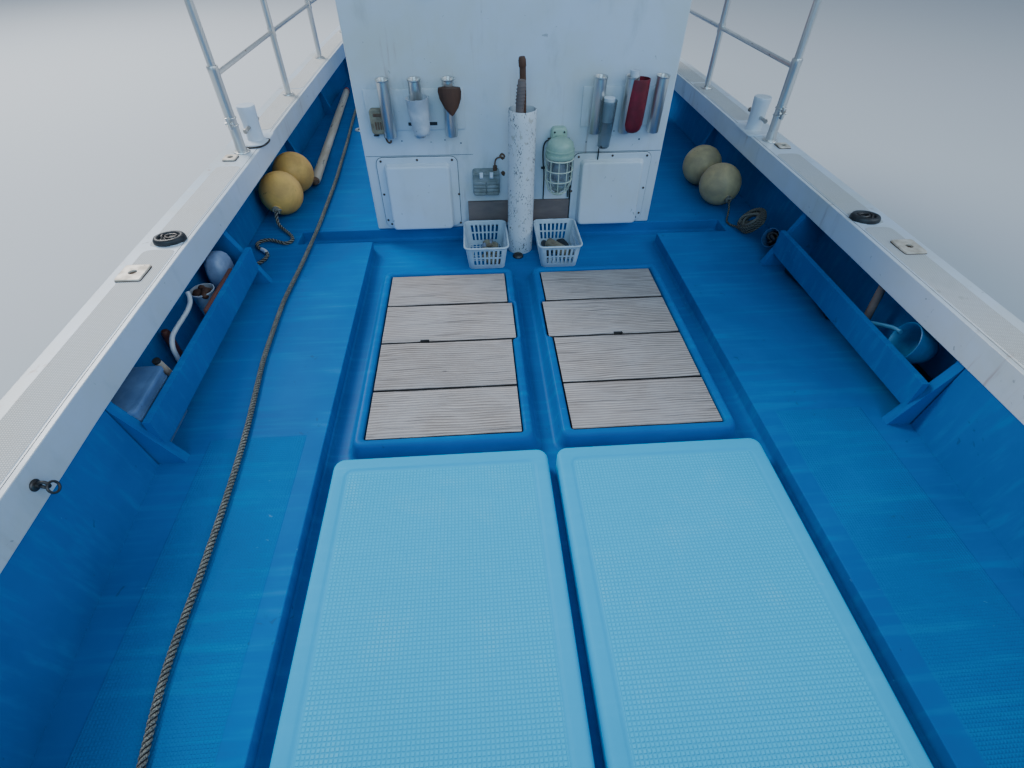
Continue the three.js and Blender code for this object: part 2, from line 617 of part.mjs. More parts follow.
// Ropes: diameter and route
const ROPES = {
  mooring_rope: {
    diameter: 24, route: [
      [44, 3975, 790], [75, 3915, 752], [140, 3820, 734], [280, 3600, 734], [470, 3300, 734], [640, 3000, 734],
      [760, 2780, 734], [800, 2680, 736], [814, 2632, 740], [824, 2600, 738], [832, 2578, 720], [838, 2569, 670],
      [848, 2560, 560], [856, 2538, 470], [868, 2490, 438], [888, 2390, 433], [915, 2220, 433], [938, 2044, 433],
      [942, 1809, 433], [953, 1534, 433], [967, 1342, 433], [987, 1161, 433], [1005, 1004, 433], [1015, 828, 433], [1022, 627, 433], [1012, 353, 433], [1008, 160, 433],
      [1006, -30, 433], [1010, -300, 433], [1016, -584, 433], [1032, -910, 433], [1049, -1241, 433],
      [1075, -1640, 433], [1092, -2012, 433], [1088, -2350, 433], [1070, -2700, 433], [1035, -3050, 433]],
  },
  lanyard_starboard: {
    diameter: 18, route: [
      [1217, -96, 487], [1216, -72, 462], [1206, -48, 440], [1180, -18, 431], [1140, 30, 430], [1112, 76, 430],
      [1108, 112, 430], [1130, 130, 430], [1170, 112, 430], [1212, 92, 430], [1250, 98, 430], [1268, 128, 430],
      [1250, 166, 430], [1214, 198, 430], [1190, 236, 430], [1196, 282, 430], [1222, 322, 430], [1244, 372, 430],
      [1250, 433, 430]],
  },
  lanyard_port: {
    diameter: 12, route: [
      [-1146, -79, 496], [-1148, -66, 482], [-1149, -54, 466], [-1145, -38, 444], [-1136, -20, 431],
      [-1122, 0, 427], [-1110, 22, 427], [-1108, 42, 427], [-1118, 56, 427.5], [-1132, 67, 433],
      [-1143.1, 79.7, 442.8], [-1150.8, 93.6, 451.8]],
  },
};
function makeRope({ diameter, route }) {
  const path = new THREE.CatmullRomCurve3(route.map((p) => new THREE.Vector3(...p)), false, "centripetal");
  // Steps follow the route's own points, which are closer where it bends
  path.getPointAt = path.getPoint;
  path.getTangentAt = path.getTangent;
  const ring = new THREE.Shape().absarc(0, 0, diameter / 2, 0, 2 * Math.PI, false);
  const circle = new THREE.Shape(ring.getSpacedPoints(8).slice(0, 8));
  const steps = 2 * (route.length - 1);
  return outward(new THREE.ExtrudeGeometry(circle, { steps, bevelEnabled: false, extrudePath: path }));
}
function makeRopeKnot() {
  return ball([1030, -3082, DECK + 27], 26, [1, 1.1, 1]);
}
// Coil at the end of the port lanyard, tipped outboard
const COIL = { x: -1183, y: 152, z: DECK + 70, axis: [0.7, -0.1, 0.71], radius: 60, deep: 15, wide: 21 };
function makeCoil() {
  const c = COIL;
  const profile = [];
  for (let i = 0; i < 10; i++) {
    const a = (i * 2 * Math.PI) / 10;
    profile.push(new THREE.Vector2(c.radius + c.deep * Math.cos(a), c.wide * Math.sin(a)));
  }
  profile.push(profile[0].clone());
  const ring = new THREE.LatheGeometry(profile, 20);
  ring.applyQuaternion(new THREE.Quaternion().setFromUnitVectors(
    new THREE.Vector3(0, 1, 0), new THREE.Vector3(...c.axis).normalize()));
  return outward(ring.translate(c.x, c.y, c.z));
}

function makeBoathook() {
  return rod([1120, -530, DECK + 22], [1228, -2390, DECK + 22], 20, 12);
}

const BLUE = 0x0e7fc8;
const WHITE = 0xe6e8ea;
const finish = {
  blue: { color: BLUE, roughness: 0.42, metalness: 0 },
  white: { color: WHITE, roughness: 0.35, metalness: 0 },
  wood: { color: 0x9c8c7c, roughness: 0.85, metalness: 0 },
  steel: { color: 0xb9bcc0, roughness: 0.25, metalness: 1 },
  glass: { color: 0x9fb6bd, roughness: 0.05, metalness: 0 },
  rope: { color: 0x6f6657, roughness: 0.9, metalness: 0 },
  rubber: { color: 0x24262a, roughness: 0.8, metalness: 0 },
  green: { color: 0x8fae9c, roughness: 0.5, metalness: 0 },
  basket: { color: 0xb8c6cf, roughness: 0.5, metalness: 0 },
  yellow: { color: 0xc9ad62, roughness: 0.55, metalness: 0 },
  bronze: { color: 0xa9823f, roughness: 0.35, metalness: 1 },
  grey: { color: 0x8c9196, roughness: 0.5, metalness: 0 },
};

const boat = new THREE.Group();
function add(name, manifold, look) {
  const mesh = new THREE.Mesh(geometryOf(manifold), new THREE.MeshStandardMaterial(finish[look]));
  mesh.name = name;
  boat.add(mesh);
}

add("hull", makeHull(), "white");
add("gunwale_stern", makeSternGunwale(), "white");
for (const [word, side] of [["starboard", 1], ["port", -1]]) {
  add(`bulwark_${word}`, makeBulwark(side), "blue");
  add(`gunwale_${word}`, makeGunwale(side), "white");
  const aft = sectionAt(-288);
  add(`side_bitt_${word}`, makeBitt(side * (aft.beam - 110), -288, aft.top, 43, 160), "white");
  add(`hatch_rim_${word}`, makeHatchRim(side), "blue");
  add(`strake_${word}`, makeStrake(side), "rubber");
  add(`hatch_boards_${word}`, makeBoards(side), "wood");
  add(`hatch_lid_${word}`, makeLid(side), "blue");
  add(`wheelhouse_side_${word}`, makeSideWall(side), "white");
  add(`side_pane_${word}`, makeSidePane(side), "glass");
  add(`access_cover_${word}`, makeCover(side), "white");
  add(`rod_rack_${word}`, makeRodRack(side), "steel");
  add(`rail_${word}`, makeRail(side), "steel");
}
add("deck", makeDeck(), "blue");
add("hatch_deck", makeHatchDeck(), "blue");
add("wheelhouse_front", makeFrontWall(), "white");
add("wheelhouse_back", makeAftWall(), "white");
add("wheelhouse_roof", makeRoof(), "white");
add("wheelhouse_door", makeDoor(), "white");
add("door_pane", makeDoorPane(), "glass");
add("front_pane_port", makeFrontPane(FRONT_PANES[0]), "glass");
add("front_pane_starboard", makeFrontPane(FRONT_PANES[1]), "glass");
add("deck_lamp", makeLamp(), "green");
add("socket_box", makeSocketBox(), "grey");
add("gaff_tube", makeTube(), "white");
add("basket_starboard", makeBasket(158, 190), "basket");
add("basket_port", makeBasket(-190, 196), "basket");
add("console", makeConsole(), "white");
add("helm_wheel", makeHelm(), "rubber");
add("bench", makeBench(), "wood");
add("engine", makeEngine(), "grey");
add("bow_bitt", makeBitt(0, 4050, BOW_DECK.z, 55, 260), "white");
add("bow_fitting", makeBowRoller(), "steel");
add("bow_roller", makeRoller(), "rubber");
add("mast", makeMast(), "white");
add("propeller", makePropeller(), "bronze");
add("rudder", makeRudder(), "grey");
add("floats_starboard", makeFloats(1, [1208, -217], [1206, -480]), "yellow");
add("floats_port", makeFloats(-1, [-1129, -185], [-1120, -448]), "yellow");
add("boathook", makeBoathook(), "wood");
for (const [name, rope] of Object.entries(ROPES)) add(name, makeRope(rope), "rope");
add("mooring_rope_knot", makeRopeKnot(), "rope");
add("lanyard_coil_port", makeCoil(), "rope");

export default boat;
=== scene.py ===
import json
from math import atan2, ceil, cos, exp, pi, radians, sin, sqrt
import random
import bmesh
import bpy
from mathutils import Matrix, Vector, noise


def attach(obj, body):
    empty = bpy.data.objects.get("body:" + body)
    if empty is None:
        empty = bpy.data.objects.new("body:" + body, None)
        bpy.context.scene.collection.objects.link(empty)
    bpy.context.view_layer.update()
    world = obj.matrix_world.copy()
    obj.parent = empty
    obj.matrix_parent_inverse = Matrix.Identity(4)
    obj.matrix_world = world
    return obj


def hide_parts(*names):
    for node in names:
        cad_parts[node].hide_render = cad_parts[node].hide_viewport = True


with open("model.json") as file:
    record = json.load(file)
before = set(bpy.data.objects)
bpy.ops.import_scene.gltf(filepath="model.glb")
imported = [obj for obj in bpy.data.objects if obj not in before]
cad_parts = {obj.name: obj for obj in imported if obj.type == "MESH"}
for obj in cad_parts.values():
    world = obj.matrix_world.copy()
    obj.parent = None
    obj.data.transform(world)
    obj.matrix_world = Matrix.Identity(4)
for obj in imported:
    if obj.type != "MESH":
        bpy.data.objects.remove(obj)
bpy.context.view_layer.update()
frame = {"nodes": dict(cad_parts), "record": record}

# Inshore fishing boat, in metres. X is to starboard, Y forward, Z up, and the water is at Z = 0

scene = bpy.context.scene
nodeBody = {n: b for b, ns in frame["record"]["behaviour"]["bodies"].items() for n in ns}

# Camera, solved from the photograph's edges: it stands near the bow and looks aft and down
cameraPlace = {
    "at": (0.2005, 2.4531, 1.6856),
    "yaw": -0.0775,
    "pitch": 0.7773,
    "roll": 0.007,
    "lens": 17.872,
}


def makeCamera(p):
    cp = cos(p["pitch"])
    ahead = Vector((sin(p["yaw"]) * cp, -cos(p["yaw"]) * cp, -sin(p["pitch"])))
    right = Vector((-cos(p["yaw"]), -sin(p["yaw"]), 0))
    up = right.cross(ahead)
    right, up = (cos(p["roll"]) * right + sin(p["roll"]) * up, -sin(p["roll"]) * right + cos(p["roll"]) * up)
    data = bpy.data.cameras.new("camera")
    data.lens = p["lens"]
    data.sensor_width = 36
    data.sensor_fit = "HORIZONTAL"
    data.clip_start = 0.02
    camera = bpy.data.objects.new("camera", data)
    scene.collection.objects.link(camera)
    camera.matrix_world = Matrix.Translation(p["at"]) @ Matrix((right, up, -ahead)).transposed().to_4x4()
    scene.camera = camera


makeCamera(cameraPlace)
print("camera placed")


# Shader groups

def newGroup(name, inputs, outputs=("Mask",)):
    # A group that takes the vector and then numbers. It gives back the tree and the sockets of both ends
    group = bpy.data.node_groups.new(name, "ShaderNodeTree")
    group.interface.new_socket("Vector", in_out="INPUT", socket_type="NodeSocketVector")
    for label, value in inputs.items():
        group.interface.new_socket(label, in_out="INPUT", socket_type="NodeSocketFloat").default_value = value
    for label in outputs:
        group.interface.new_socket(label, in_out="OUTPUT", socket_type="NodeSocketFloat")
    return group, group.nodes.new("NodeGroupInput").outputs, group.nodes.new("NodeGroupOutput").inputs


def put(tree, kind, links=None, **values):
    node = tree.nodes.new(kind)
    for key, value in values.items():
        setattr(node, key, value)
    for key, value in (links or {}).items():
        socket = node.inputs[key]
        if isinstance(value, bpy.types.NodeSocket):
            tree.links.new(value, socket)
        else:
            socket.default_value = value
    return node


def calc(tree, operation, a, b=0.0, c=0.0, clamp=False):
    return put(tree, "ShaderNodeMath", {0: a, 1: b, 2: c}, operation=operation, use_clamp=clamp).outputs[0]


def times(tree, a, b):
    return calc(tree, "MULTIPLY", a, b)


def less(tree, a, b):
    return calc(tree, "SUBTRACT", a, b)


def plus(tree, a, b):
    return calc(tree, "ADD", a, b)


def split(tree, vector):
    return put(tree, "ShaderNodeSeparateXYZ", {0: vector}).outputs


def joined(tree, x, y, z):
    return put(tree, "ShaderNodeCombineXYZ", {0: x, 1: y, 2: z}).outputs[0]


def upward(tree):
    # How far each face looks up, 1 when it lies level
    return split(tree, put(tree, "ShaderNodeTexCoord").outputs["Normal"])[2]


def mixColor(tree, factor, a, b, blend="MIX"):
    return put(tree, "ShaderNodeMix", {0: factor, 6: a, 7: b}, data_type="RGBA", blend_type=blend).outputs[2]


def tint(tree, color, mask, share, other):
    return mixColor(tree, times(tree, mask, share), color, other)


def remap(tree, value, low, high, toLow=0.0, toHigh=1.0):
    return put(tree, "ShaderNodeMapRange", {0: value, 1: low, 2: high, 3: toLow, 4: toHigh},
        interpolation_type="SMOOTHSTEP").outputs[0]


def noiseOf(tree, vector, scale, detail=3.0, rough=0.55, warp=0.0):
    return put(tree, "ShaderNodeTexNoise", {"Vector": vector, "Scale": scale, "Detail": detail, "Roughness": rough,
        "Distortion": warp}).outputs[0]


def scaled(tree, vector, amounts):
    return put(tree, "ShaderNodeVectorMath", {0: vector, 1: amounts}, operation="MULTIPLY").outputs[0]


def makePatchGroup():
    # Broad faded or dirty patches
    g, i, o = newGroup("fadedPatches", {"Scale": 3.0, "Cover": 0.5, "Edge": 0.15})
    big = noiseOf(g, i[0], i[1], 5.0, 0.6, 0.3)
    low = less(g, less(g, 1.0, i[2]), i[3])
    high = plus(g, less(g, 1.0, i[2]), i[3])
    g.links.new(remap(g, big, low, high), o[0])
    return g


def makeSpeckGroup():
    # Small chips and dark specks, longer along one axis through the vector's scale
    g, i, o = newGroup("chipsAndSpecks", {"Scale": 60.0, "Cover": 0.1})
    fine = noiseOf(g, i[0], i[1], 2.0, 0.5, 0.6)
    where = noiseOf(g, i[0], times(g, i[1], 0.13), 2.0, 0.5)
    both = calc(g, "MULTIPLY_ADD", where, 0.35, times(g, fine, 0.65))
    edge = less(g, 0.72, times(g, i[2], 0.4))
    g.links.new(remap(g, both, edge, plus(g, edge, 0.025)), o[0])
    return g


def makeRustGroup():
    # Brown runs that hang down from small sources
    g, i, o = newGroup("rustRuns", {"Across": 26.0, "Along": 2.4, "Amount": 0.4})
    size = joined(g, i[1], i[1], i[2])
    runs = noiseOf(g, scaled(g, i[0], size), 1.0, 4.0, 0.6)
    patch = noiseOf(g, i[0], 2.3, 2.0, 0.5)
    line = remap(g, runs, 0.56, 0.74)
    g.links.new(times(g, times(g, line, remap(g, patch, 0.45, 0.65)), i[3]), o[0])
    return g


def makeTreadGroup():
    # Moulded square studs, a height from 0 to 1
    g, i, o = newGroup("nonSlipStuds", {"Pitch": 0.0096, "Sharp": 0.5}, ["Height"])
    parts = split(g, i[0])
    half = times(g, i[1], 0.5)
    x = calc(g, "DIVIDE", calc(g, "PINGPONG", parts[0], half), half)
    y = calc(g, "DIVIDE", calc(g, "PINGPONG", parts[1], half), half)
    g.links.new(remap(g, calc(g, "MINIMUM", x, y), 0.12, i[2]), o[0])
    return g


def makeFieldGroup():
    # 1 inside a rectangle on the deck, in distance from the centreline and along the boat
    g, i, o = newGroup("deckField", {"Inner": 0.0, "Outer": 1.0, "Aft": 0.0, "Fore": 1.0, "Edge": 0.002})
    parts = split(g, i[0])
    x = calc(g, "ABSOLUTE", parts[0])
    a = calc(g, "MINIMUM", less(g, x, i[1]), less(g, i[2], x))
    b = calc(g, "MINIMUM", less(g, parts[1], i[3]), less(g, i[4], parts[1]))
    g.links.new(calc(g, "DIVIDE", calc(g, "MINIMUM", a, b), i[5], clamp=True), o[0])
    return g


def makeGrainGroup():
    # Weathered plank grain along X: fine fibre, growth rings and dark checks
    g, i, o = newGroup("plankGrain", {"Rings": 60.0, "Shift": 0.0}, ["Fibre", "Figure", "Check"])
    shift = joined(g, i[2], times(g, i[2], 0.37), 0.0)
    moved = put(g, "ShaderNodeVectorMath", {0: i[0], 1: shift}, operation="ADD").outputs[0]
    bend = noiseOf(g, scaled(g, moved, (2.4, 7.0, 1.0)), 1.0, 2.0, 0.5)
    wander = noiseOf(g, scaled(g, moved, (9.0, 22.0, 1.0)), 1.0, 1.0, 0.5)
    parts = split(g, moved)
    y = calc(g, "MULTIPLY_ADD", bend, 0.034, calc(g, "MULTIPLY_ADD", wander, 0.006, parts[1]))
    ring = calc(g, "SINE", times(g, times(g, y, i[1]), 6.2832))
    fibre = noiseOf(g, joined(g, times(g, parts[0], 7.0), times(g, y, 330.0), 0.0), 1.0, 4.0, 0.7)
    crack = noiseOf(g, joined(g, times(g, parts[0], 3.2), times(g, y, 120.0), 4.0), 1.0, 2.0, 0.5)
    g.links.new(remap(g, fibre, 0.28, 0.72), o[0])
    g.links.new(remap(g, ring, -1.0, 1.0), o[1])
    g.links.new(remap(g, crack, 0.6, 0.68), o[2])
    return g


patches = makePatchGroup()
specks = makeSpeckGroup()
rust = makeRustGroup()
tread = makeTreadGroup()
field = makeFieldGroup()
grain = makeGrainGroup()
print("shader groups made")


# Materials. Each recipe gets its tree, the object coordinates and the shader

def useGroup(tree, group, **inputs):
    node = put(tree, "ShaderNodeGroup", node_tree=group)
    for key, value in inputs.items():
        socket = node.inputs[key]
        if isinstance(value, bpy.types.NodeSocket):
            tree.links.new(value, socket)
        else:
            socket.default_value = value
    return node.outputs


def srgb(r, g, b):
    def one(v):
        v = v / 255
        return v / 12.92 if v <= 0.04045 else ((v + 0.055) / 1.055) ** 2.4
    return (one(r), one(g), one(b), 1.0)


def material(name, recipe=None, slot=None, **plain):
    made = bpy.data.materials.new(name)
    made.use_nodes = True
    tree = made.node_tree
    shader = tree.nodes["Principled BSDF"]
    for key, value in plain.items():
        shader.inputs[key.replace("_", " ")].default_value = value
    place = put(tree, "ShaderNodeTexCoord").outputs["Object"]
    if recipe:
        recipe(tree, place, shader)
    made.diffuse_color = shader.inputs["Base Color"].default_value
    made["slot"] = slot or ""
    return made


def feed(tree, shader, color=None, rough=None, height=None, strength=0.3, distance=0.002, metal=None):
    if color is not None:
        tree.links.new(color, shader.inputs["Base Color"])
    if rough is not None:
        tree.links.new(rough, shader.inputs["Roughness"])
    if metal is not None:
        tree.links.new(metal, shader.inputs["Metallic"])
    if height is not None:
        bump = put(tree, "ShaderNodeBump", {"Strength": strength, "Distance": distance, "Height": height})
        tree.links.new(bump.outputs[0], shader.inputs["Normal"])


bluePaint = {
    "color": srgb(3, 108, 176),
    # deep also serves as the painted shade in the grooves between the studs
    "deep": srgb(2, 86, 150),
    "faded": srgb(44, 214, 255),
    "worn": srgb(138, 214, 232),
    "stain": srgb(48, 62, 52),
    "chip": srgb(150, 200, 220),
}


def bluePaintBase(tree, place):
    p = bluePaint
    broad = useGroup(tree, patches, Vector=place, Scale=1.3, Cover=0.5, Edge=0.25)[0]
    color = mixColor(tree, broad, p["color"], p["deep"])
    brush = noiseOf(tree, scaled(tree, place, (3, 40, 8)), 1.0, 3.0)
    color = mixColor(tree, times(tree, remap(tree, brush, 0.45, 0.8), 0.08), color, p["faded"])
    chips = useGroup(tree, specks, Vector=scaled(tree, place, (0.5, 1, 1)), Scale=46.0, Cover=0.05)[0]
    color = tint(tree, color, chips, 0.14, p["chip"])
    dirt = useGroup(tree, specks, Vector=place, Scale=42.0, Cover=0.12)[0]
    color = tint(tree, color, dirt, 0.3, p["stain"])
    return color, brush


def blueSmooth(tree, place, shader):
    color, brush = bluePaintBase(tree, place)
    dirt = useGroup(tree, patches, Vector=place, Scale=6.0, Cover=0.3, Edge=0.1)[0]
    rough = remap(tree, plus(tree, brush, dirt), 0.3, 1.6, 0.4, 0.55)
    feed(tree, shader, color, rough, brush, 0.06, 0.001)


def blueTread(inner, outer, aft, fore, pitch, fade, depth, base):
    def recipe(tree, place, shader):
        p = bluePaint
        color, brush = bluePaintBase(tree, place)
        color = mixColor(tree, base, color, p["faded"])
        inside = useGroup(tree, field, Vector=place, Inner=inner, Outer=outer, Aft=aft, Fore=fore, Edge=0.004)[0]
        up = upward(tree)
        inside = times(tree, inside, remap(tree, up, 0.8, 0.9))
        studs = useGroup(tree, tread, Vector=place, Pitch=pitch, Sharp=0.55)[0]
        pale = mixColor(tree, fade, color, p["faded"])
        worn = useGroup(tree, patches, Vector=place, Scale=7.5, Cover=0.38, Edge=0.12)[0]
        pale = mixColor(tree, times(tree, times(tree, worn, studs), 0.5 * base), pale, p["worn"])
        # Painted shade: the grooves between the studs go darker towards the deep blue, as much as depth says
        groove = mixColor(tree, times(tree, less(tree, 1.0, studs), depth), pale, p["deep"])
        color = mixColor(tree, inside, color, groove)
        rough = remap(tree, inside, 0.0, 1.0, 0.5, 0.6)
        ridge = times(tree, calc(tree, "MULTIPLY_ADD", studs, 0.9, 0.35), inside)
        feed(tree, shader, color, rough, calc(tree, "MULTIPLY_ADD", brush, 0.06, ridge), 0.75, 0.0016)
    return recipe


gelcoat = {
    # The white is tinted blue: partly the gelcoat's own cool white, partly painted blue shade of the sky
    "color": srgb(206, 218, 232),
    "yellowed": srgb(204, 206, 200),
    # grime also serves as the painted shade in the gaps between the studs
    "grime": srgb(118, 122, 120),
    # sunlitTop is painted sunlight: the warm white of the tread's level tops
    "sunlitTop": srgb(222, 215, 206),
    "rust": srgb(150, 92, 48),
}


def gelcoatRecipe(runs=0.5, grime=0.35, treadField=None):
    def recipe(tree, place, shader):
        p = gelcoat
        tone = useGroup(tree, patches, Vector=place, Scale=2.2, Cover=0.45, Edge=0.25)[0]
        color = mixColor(tree, tone, p["color"], p["yellowed"])
        smear = useGroup(tree, patches, Vector=scaled(tree, place, (1, 1, 0.4)), Scale=9.0, Cover=0.32,
            Edge=0.14)[0]
        color = mixColor(tree, times(tree, smear, grime), color, p["grime"])
        brown = useGroup(tree, rust, Vector=place, Across=26.0, Along=2.2, Amount=runs)[0]
        color = mixColor(tree, brown, color, p["rust"])
        dots = useGroup(tree, specks, Vector=place, Scale=46.0, Cover=0.14)[0]
        color = tint(tree, color, dots, 0.5, p["grime"])
        height = noiseOf(tree, place, 11.0, 2.0)
        rough = remap(tree, smear, 0.0, 1.0, 0.28, 0.5)
        strength, distance = 0.08, 0.001
        if treadField:
            studs = useGroup(tree, tread, Vector=place, Pitch=treadField, Sharp=0.6)[0]
            up = upward(tree)
            flat = remap(tree, up, 0.8, 0.9)
            # Painted shade: the gaps between the studs on level tops go darker towards the grime colour
            gap = times(tree, times(tree, less(tree, 1.0, studs), flat), 0.5)
            # Painted sunlight: level tops tinted warm white
            color = tint(tree, color, flat, 0.5, p["sunlitTop"])
            color = mixColor(tree, gap, color, p["grime"])
            height = calc(tree, "MULTIPLY_ADD", height, 0.1, times(tree, studs, flat))
            rough = remap(tree, flat, 0.0, 1.0, 0.32, 0.6)
            strength, distance = 0.6, 0.0012
        feed(tree, shader, color, rough, height, strength, distance)
    return recipe


plank = {
    "light": srgb(216, 208, 204),
    "ring": srgb(122, 112, 108),
    "dark": srgb(86, 76, 72),
    "silver": srgb(192, 192, 198),
    # crack is also the painted shade on the boards' sides
    "crack": srgb(34, 29, 28),
}


def plankRecipe(tree, place, shader):
    p = plank
    shift = put(tree, "ShaderNodeAttribute", attribute_name="plankShift").outputs["Fac"]
    fibre, figure, check = useGroup(tree, grain, Vector=place, Rings=88.0, Shift=shift)[:3]
    tone = times(tree, noiseOf(tree, joined(tree, shift, 0.0, 0.0), 3.7, 0.0), 0.9)
    color = mixColor(tree, times(tree, figure, 0.72), p["light"], p["ring"])
    color = mixColor(tree, times(tree, less(tree, 1.0, fibre), 0.6), color, p["dark"])
    grey = useGroup(tree, patches, Vector=place, Scale=4.0, Cover=0.5, Edge=0.2)[0]
    color = tint(tree, color, grey, 0.45, p["silver"])
    color = tint(tree, color, tone, 0.48, p["dark"])
    color = tint(tree, color, check, 0.5, p["crack"])
    # Painted shade: faces that turn away from up go dark, so that the gaps between the boards read dark
    up = upward(tree)
    color = mixColor(tree, remap(tree, up, 0.35, 0.8, 0.92, 0.0), color, p["crack"])
    knots = put(tree, "ShaderNodeTexVoronoi", {"Vector": scaled(tree, place, (2.2, 5.4, 0.0)), "Scale": 1.0},
        feature="F1").outputs["Distance"]
    color = mixColor(tree, remap(tree, knots, 0.022, 0.045, 0.9, 0.0), color, p["crack"])
    ridge = less(tree, calc(tree, "MULTIPLY_ADD", figure, 0.25, fibre), times(tree, check, 0.9))
    feed(tree, shader, color, remap(tree, fibre, 0.0, 1.0, 0.92, 0.72), ridge, 0.7, 0.0014)


def metalRecipe(tree, place, shader):
    streak = noiseOf(tree, scaled(tree, place, (60, 60, 4)), 1.0, 3.0)
    color = mixColor(tree, streak, srgb(226, 224, 220), srgb(192, 192, 190))
    tea = useGroup(tree, specks, Vector=place, Scale=30.0, Cover=0.15)[0]
    color = tint(tree, color, tea, 0.6, srgb(120, 78, 46))
    feed(tree, shader, color, remap(tree, plus(tree, streak, tea), 0.3, 1.4, 0.28, 0.46), streak, 0.03, 0.0005)


def twoTone(first, second, scale=8.0, rough=(0.4, 0.6), bump=0.15, distance=0.001, dots=0.0, stretch=(1, 1, 1)):
    def recipe(tree, place, shader):
        where = scaled(tree, place, stretch)
        mask = useGroup(tree, patches, Vector=where, Scale=scale, Cover=0.5, Edge=0.2)[0]
        color = mixColor(tree, mask, first, second)
        fine = noiseOf(tree, where, scale * 12, 2.0)
        if dots:
            chip = useGroup(tree, specks, Vector=where, Scale=scale * 9, Cover=dots)[0]
            color = mixColor(tree, chip, color, tuple(v * 0.25 for v in first[:3]) + (1,))
        feed(tree, shader, color, remap(tree, mask, 0.0, 1.0, *rough), fine, bump, distance)
    return recipe


def pipeRecipe(tree, place, shader):
    # White plastic pipe, peeling and specked with dark flecks that run upwards
    color = mixColor(tree, noiseOf(tree, place, 6.0, 3.0), srgb(226, 229, 232), srgb(196, 202, 208))
    flecks = useGroup(tree, specks, Vector=scaled(tree, place, (1.0, 1.0, 0.4)), Scale=230.0, Cover=0.33)[0]
    color = mixColor(tree, flecks, color, srgb(98, 88, 82))
    pale = useGroup(tree, specks, Vector=scaled(tree, place, (1.0, 1.0, 0.6)), Scale=70.0, Cover=0.24)[0]
    color = tint(tree, color, pale, 0.6, srgb(170, 158, 140))
    feed(tree, shader, color, remap(tree, flecks, 0.0, 1.0, 0.42, 0.8), less(tree, 1.0, flecks), 0.5, 0.001)


def ropeRecipe(light, dark):
    def recipe(tree, place, shader):
        fibre = noiseOf(tree, place, 420.0, 3.0, 0.6)
        dirt = useGroup(tree, patches, Vector=place, Scale=5.0, Cover=0.5, Edge=0.2)[0]
        color = mixColor(tree, remap(tree, fibre, 0.35, 0.7), dark, light)
        color = tint(tree, color, dirt, 0.4, dark)
        # Painted shade: the rope goes dark deep in the grooves between its strands
        deep = put(tree, "ShaderNodeAttribute", attribute_name="strandDeep").outputs["Fac"]
        color = mixColor(tree, remap(tree, deep, 0.04, 0.24), color, srgb(12, 14, 18))
        feed(tree, shader, color, None, fibre, 0.7, 0.0012)
    return recipe


def hullRecipe(tree, place, shader):
    # White topsides, a blue band and blue bottom paint with a grubby waterline
    gelcoatRecipe(0.5, 0.3)(tree, place, shader)
    topside = shader.inputs["Base Color"].links[0].from_socket
    z = split(tree, place)[2]
    bottom = mixColor(tree, noiseOf(tree, place, 5.0, 4.0), srgb(20, 66, 128), srgb(34, 88, 140))
    scum = times(tree, remap(tree, z, 0.0, 0.1, 1.0, 0.0), noiseOf(tree, place, 9.0, 4.0))
    weedy = mixColor(tree, scum, bottom, srgb(78, 84, 58))
    below = remap(tree, z, 0.068, 0.072, 1.0, 0.0)
    tree.links.new(mixColor(tree, below, topside, weedy), shader.inputs["Base Color"])


# depth is how dark the painted shade in the grooves between the studs is
lidField = {"inner": 0.062, "outer": 0.618, "aft": 1.523, "fore": 2.38, "pitch": 0.0096, "fade": 0.35,
    "depth": 0.22, "base": 0.5}
sideField = {"inner": 0.775, "outer": 1.075, "aft": 1.36, "fore": 2.54, "pitch": 0.0078, "fade": 0.05, "depth": 0.1,
    "base": 0.0}


def glassMaterial(name, color, rough, slot="window_glass", clear=1.0):
    def recipe(tree, place, shader):
        haze = noiseOf(tree, place, 7.0, 4.0)
        feed(tree, shader, None, remap(tree, haze, 0.3, 0.8, rough, rough + 0.12))
    return material(name, recipe, slot, Base_Color=srgb(*color), Transmission_Weight=clear, IOR=1.45)


mats = {
    "blue": material("bluePaint", blueSmooth, "blue_deck", Specular_IOR_Level=0.06),
    "blueDeck": material("blueDeckNonSlip", blueTread(*sideField.values()), "blue_deck", Specular_IOR_Level=0.05),
    "blueLid": material("blueLidNonSlip", blueTread(*lidField.values()), "blue_deck", Specular_IOR_Level=0.05),
    "white": material("whiteGelcoat", gelcoatRecipe(), "white_gelcoat"),
    "whiteClean": material("whiteGelcoatClean", gelcoatRecipe(0.15, 0.12), "white_gelcoat"),
    "whiteTread": material("whiteGunwaleTread", gelcoatRecipe(0.25, 0.25, 0.0062), "white_gelcoat"),
    "gunwaleWhite": material("gunwaleGelcoat", gelcoatRecipe(0.6, 0.22), "white_gelcoat"),
    "hull": material("hullPaint", hullRecipe, "white_gelcoat"),
    "plank": material("weatheredPlank", plankRecipe, "weathered_wood", Roughness=0.85),
    "steel": material("stainlessTube", metalRecipe, "stainless", Metallic=0.84, Roughness=0.3),
    "pipe": material("speckedPipe", pipeRecipe, "white_pipe"),
    "rope": material("ropeDark", ropeRecipe(srgb(186, 182, 164), srgb(54, 60, 66)), "rope_fibre", Roughness=0.9),
    "ropeTan": material("ropeTan", ropeRecipe(srgb(150, 146, 132), srgb(70, 70, 68)), "rope_fibre", Roughness=0.9),
    "glass": glassMaterial("windowGlass", (186, 206, 208), 0.03),
    "clear": glassMaterial("clearPlastic", (206, 216, 220), 0.16, "grey_plastic"),
    "lensGreen": glassMaterial("lensGreen", (20, 130, 84), 0.12, clear=0.25),
    "lensRed": glassMaterial("lensRed", (170, 26, 30), 0.12, clear=0.25),
    "lensWhite": glassMaterial("lensWhite", (226, 230, 228), 0.12, clear=0.3),
    "smoked": glassMaterial("smoked", (38, 44, 50), 0.12, clear=0.3),
}

